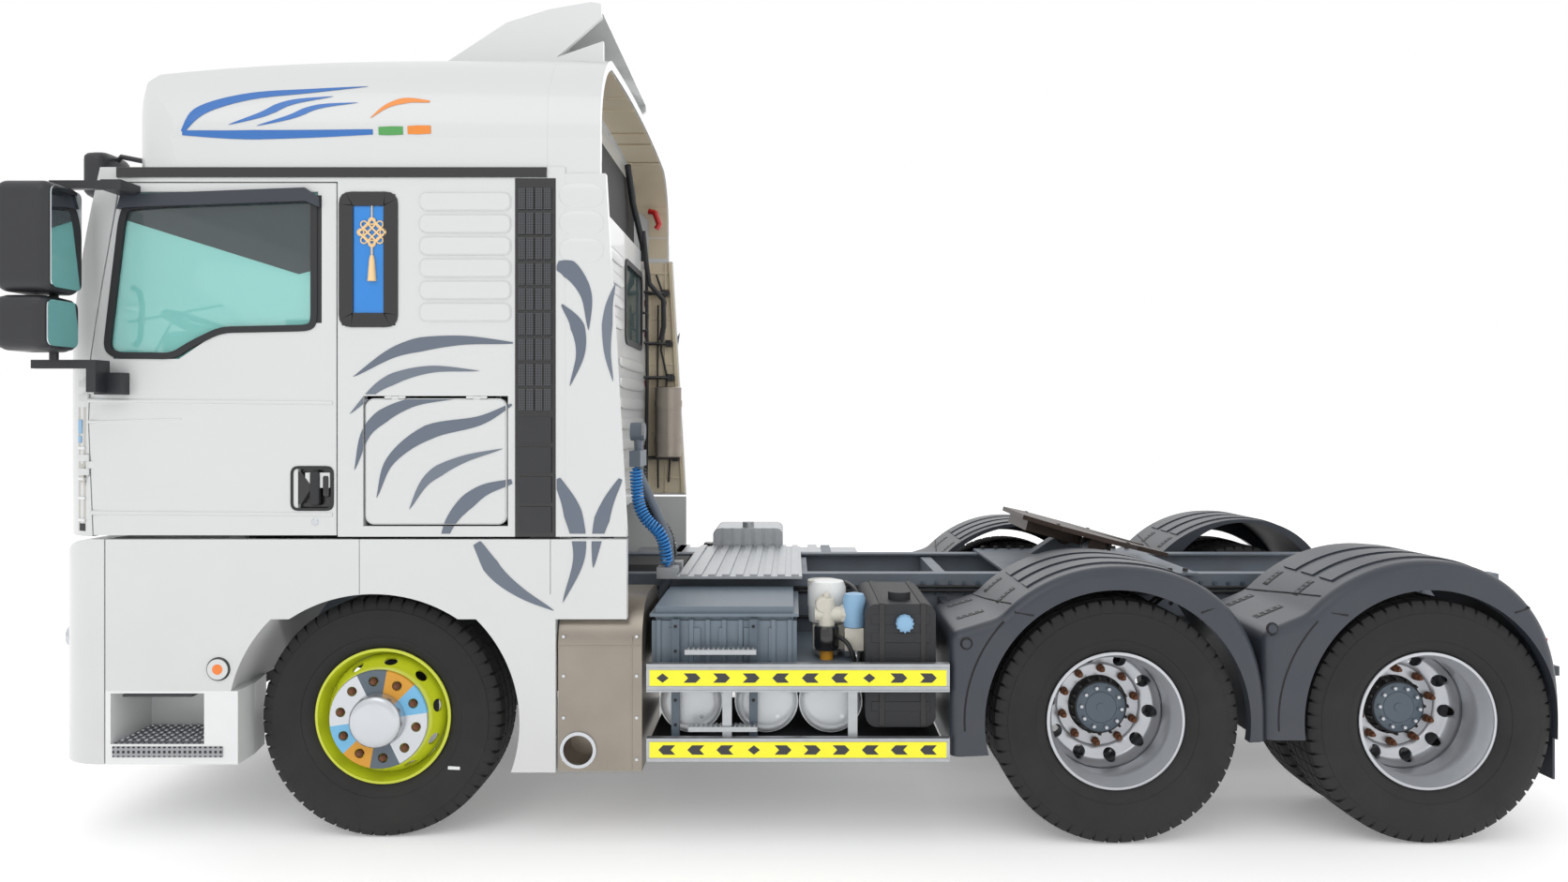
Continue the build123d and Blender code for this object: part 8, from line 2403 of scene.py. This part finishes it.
class Hoses(Assembly):
    """The curly supply hoses between the stand and the walkway, their couplings and the work lamp."""

    wire: float = 0.0058
    coil: float = 0.0265
    pitch: float = 0.0168
    ease: float = 0.022
    per_turn: int = 14
    blue: tuple = ((-0.957, -0.525, 1.5995), (-0.957, -0.525, 1.490), (-0.925, -0.545, 1.350),
                   (-0.800, -0.552, 1.250), (-0.800, -0.552, 1.1055))
    black: tuple = ((-0.957, -0.385, 1.5995), (-0.957, -0.385, 1.490), (-0.925, -0.372, 1.350),
                    (-0.800, -0.360, 1.250), (-0.800, -0.360, 1.1055))
    lamp: tuple = (-0.957, -0.456, 1.775)

    def build(self) -> None:
        """Make both hoses and what is round them."""
        shop, ends, lamp = self.shop, Form(), Form()
        self.hose("blue_supply_hose", self.blue, shop.blue_hose, "hose_blue", 0.5499, "blue_hose")
        self.hose("black_supply_hose", self.black, shop.black_hose, "hose_black", 0.5494, "black_hose")
        for x, y, low, high in ((-0.957, -0.525, 1.5995, 1.632), (-0.957, -0.385, 1.5995, 1.632),
                                (-0.800, -0.552, 1.092, 1.1052), (-0.800, -0.360, 1.092, 1.1052)):
            ends.post((x, y), ((0.017, low), (0.021, low + 0.002), (0.021, high - 0.002), (0.017, high)), 24)
        ends.done("hose_couplings", (shop.bright,), "chassis", "aluminium", smooth=50)
        shell = ((0.012, -0.034), (0.030, -0.028), (0.042, -0.006), (0.045, 0.018), (0.046, 0.030))
        rim = ((0.0475, 0.024), (0.0475, 0.035), (0.041, 0.035), (0.041, 0.024))
        glass = ((0.041, 0.026), (0.041, 0.031), (0.002, 0.031), (0.002, 0.026))
        for mark, profile in enumerate((shell, rim, glass)):
            lamp.drum(self.lamp, profile, 36, mark)
        lamp.done("work_lamp", (shop.black, shop.bright, shop.lens), "chassis", "charcoal_plastic", smooth=50)

    def route(self, control: Sequence[Point]) -> list:
        """Points along the smooth curve that the control points pull.

        Args:
            control: The control points.

        Returns:
            The points in order.
        """
        curve = bpy.data.curves.new("route", "CURVE")
        curve.dimensions = "3D"
        curve.resolution_u = 48
        spline = curve.splines.new("NURBS")
        spline.points.add(len(control) - 1)
        for point, where in zip(spline.points, control):
            point.co = (*where, 1.0)
        spline.order_u = 3
        spline.use_endpoint_u = True
        guide = bpy.data.objects.new("route", curve)
        bpy.context.scene.collection.objects.link(guide)
        graph = bpy.context.evaluated_depsgraph_get()
        mesh = bpy.data.meshes.new_from_object(guide.evaluated_get(graph), depsgraph=graph)
        bpy.data.objects.remove(guide)
        return [vertex.co.copy() for vertex in mesh.vertices]

    def hose(self, name: str, control: Sequence[Point], finish: bpy.types.Material, node: str, length: float,
             slot: str) -> None:
        """One curly hose along its route.

        Args:
            name: The piece's name.
            control: Control points of the route.
            finish: The hose's material.
            node: The CAD node that it stands for.
            length: Length of the coil along its route.
            slot: The record's material slot.
        """
        line, walked = self.route(control), [0.0]
        for a, b in zip(line, line[1:]):
            walked.append(walked[-1] + (b - a).length)
        total, turns = walked[-1], int(walked[-1] / self.pitch)
        steps, points, leg, side = turns * self.per_turn, [], 0, Vector((0, 1, 0))
        for i in range(steps + 1):
            s = total * i / steps
            while leg < len(line) - 2 and walked[leg + 1] < s:
                leg += 1
            a, b = line[leg], line[leg + 1]
            share = (s - walked[leg]) / max(1e-9, walked[leg + 1] - walked[leg])
            along = (b - a).normalized()
            side = (side - along * side.dot(along)).normalized()
            radius = self.coil * min(1.0, min(s, total - s) / self.ease)
            angle = 2 * math.pi * turns * i / steps
            offset = side * math.cos(angle) + along.cross(side) * math.sin(angle)
            points.append(a.lerp(b, share) + radius * offset)
        piece = Form().tube(points, self.wire, sides=8).done(name, (finish,), "chassis", slot, (node,),
                                                             smooth=70)


class Interior(Assembly):
    """Seats, bunk, steering wheel, dashboard parts and grab handles."""

    hub: tuple = (-3.010, -0.62, 2.268)
    lean: float = 24.0
    rim: tuple = (0.225, 0.015)
    grab: tuple = ((-3.075, 2.16), (-3.05, 2.19), (-3.04, 2.34), (-3.055, 2.40), (-3.085, 2.42))

    def build(self) -> None:
        """Make the pieces."""
        for side in Side:
            self.seat(float(side.value), side.word)
        self.bunk()
        self.wheel()
        self.dashboard()

    def cushion(self, name: str, low: Point, high: Point, corner: float, finish: bpy.types.Material,
                fill: float) -> None:
        """A stuffed block with crowned faces.

        Args:
            name: The piece's name.
            low: Low corner.
            high: High corner.
            corner: Height of the rounded ends as a share of the height.
            finish: Its cloth.
            fill: How firmly it is stuffed, from 0 to 1; not used.
        """
        form = Form().capsule(low, high, corner, power=6.0, rows=20, sides=48)
        piece = form.done(name, (finish,), "cab", "seat_fabric", ("seats_and_bunk",), smooth=80)
        crown = piece.modifiers.new("crown", "SUBSURF")
        crown.levels = crown.render_levels = 1

    def seat(self, out: float, word: str) -> None:
        """One seat with its cushion, back and head rest on a pedestal with bellows.

        Args:
            out: Which side, as the sign of Y.
            word: The same in words.
        """
        shop, (low, high) = self.shop, span(out, 0.352, 0.848)
        for name, inset, x, z, corner, fill in (("seat_cushion", 0.0, (-2.700, -2.200), (1.845, 1.995), 0.5,
                                                 0.8),
                                                ("seat_back", 0.02, (-2.300, -2.175), (1.975, 2.500), 0.18,
                                                 0.8),
                                                ("head_rest", 0.12, (-2.285, -2.185), (2.505, 2.638), 0.4,
                                                 0.7)):
            self.cushion(f"{name}_{word}", (x[0], low + inset, z[0]), (x[1], high - inset, z[1]), corner,
                         shop.seat,
                         fill)
        base = Form().box(*corners(out, (-2.615, -2.275), (0.43, 0.77), (1.378, 1.70)))
        for z in (1.70 + k * 0.024 for k in range(6)):
            base.box(*corners(out, (-2.625, -2.265), (0.425, 0.775), (z, z + 0.014)))
        base.done(f"seat_base_{word}", (shop.dark,), "cab", "charcoal_plastic", ("seats_and_bunk",),
                  bevel=0.004)

    def bunk(self) -> None:
        """Mattress and its boards."""
        self.cushion("bunk_mattress", (-2.050, -1.175, 2.025), (-1.200, 1.175, 2.170), 0.5, self.shop.quilt,
                     0.9)
        board = Form().box((-2.055, -1.178, 2.010), (-1.198, 1.178, 2.030))
        board.box((-2.025, -0.650, 1.378), (-2.000, 0.650, 2.011))
        board.done("bunk_base", (self.shop.trim,), "cab", "charcoal_plastic", ("seats_and_bunk",),
                   bevel=0.004)

    def wheel(self) -> None:
        """Steering wheel with its spokes, boss and column."""
        form, centre, lean = Form(), Vector(self.hub), math.radians(self.lean)
        u, v = Vector((math.cos(lean), 0, -math.sin(lean))), Vector((0, 1, 0))
        normal, (big, small), rings = u.cross(v), self.rim, []
        for t in (2 * math.pi * k / 48 for k in range(48)):
            radial = u * math.cos(t) + v * math.sin(t)
            rings.append([centre + radial * (big + small * math.cos(p)) + normal * small * math.sin(p)
                          for p in (2 * math.pi * q / 10 for q in range(10))])
        form.loft(rings, loop=True)
        for t in (math.radians(angle) for angle in (90, 210, 330)):
            radial = u * math.cos(t) + v * math.sin(t)
            form.tube([centre + radial * 0.05 - normal * 0.02, centre + radial * 0.222], 0.016, sides=10)
        form.tube([centre - normal * 0.03, centre + normal * 0.012], [0.075, 0.065], sides=28)
        form.tube([centre, centre + Vector((-0.16, 0, -0.22))], 0.038, sides=16)
        form.done("steering_wheel", (self.shop.dark,), "cab", "charcoal_plastic", smooth=60)

    def dashboard(self) -> None:
        """Instrument hood, shelf and the grab handles."""
        hood, handles = Form().capsule((-3.14, -0.90, 2.12), (-2.90, -0.32, 2.26), 0.5, rows=12,
                                       sides=36), Form()
        hood.box((-3.02, -0.20, 2.05), (-2.85, 0.12, 2.18))
        hood.capsule((-3.10, 0.25, 2.10), (-2.86, 1.02, 2.17), 0.5, rows=8, sides=32)
        hood.done("instrument_hood", (self.shop.trim,), "cab", "charcoal_plastic", smooth=60)
        for out in (-1.0, 1.0):
            handles.tube([(x, out * 1.13, z) for x, z in self.grab], 0.012, sides=10)
            handles.box(*corners(out, (-2.40, -2.24), (1.05, 1.15), (2.245, 2.275)))
        handles.done("grab_handles", (self.shop.dark,), "cab", "charcoal_plastic", bevel=0.002, smooth=60)


def main() -> None:
    """Load the frame, build every assembly and set up the studio."""
    logging.basicConfig(level=logging.INFO, format="%(message)s")
    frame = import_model()
    shop = Workshop()
    Coverings(frame, shop).dress()
    for side in Side:
        FrontWheel(side, (-1.975, side.value * 1.025, 0.530)).build(shop)
        for axle, x in ((1, 1.225), (2, 2.575)):
            TwinWheels(side, axle, (x, side.value * 0.9375, 0.530)).build(shop)
    for assembly in (CabSides, CabFront, SideGuards, Steps, LeftEquipment, RightEquipment, Chassis, Mudguards,
                     FifthWheel,
                     RearOfCab, Hoses, Interior):
        assembly(frame, shop).build()
    Studio().build()


if __name__ == "__main__":
    main()
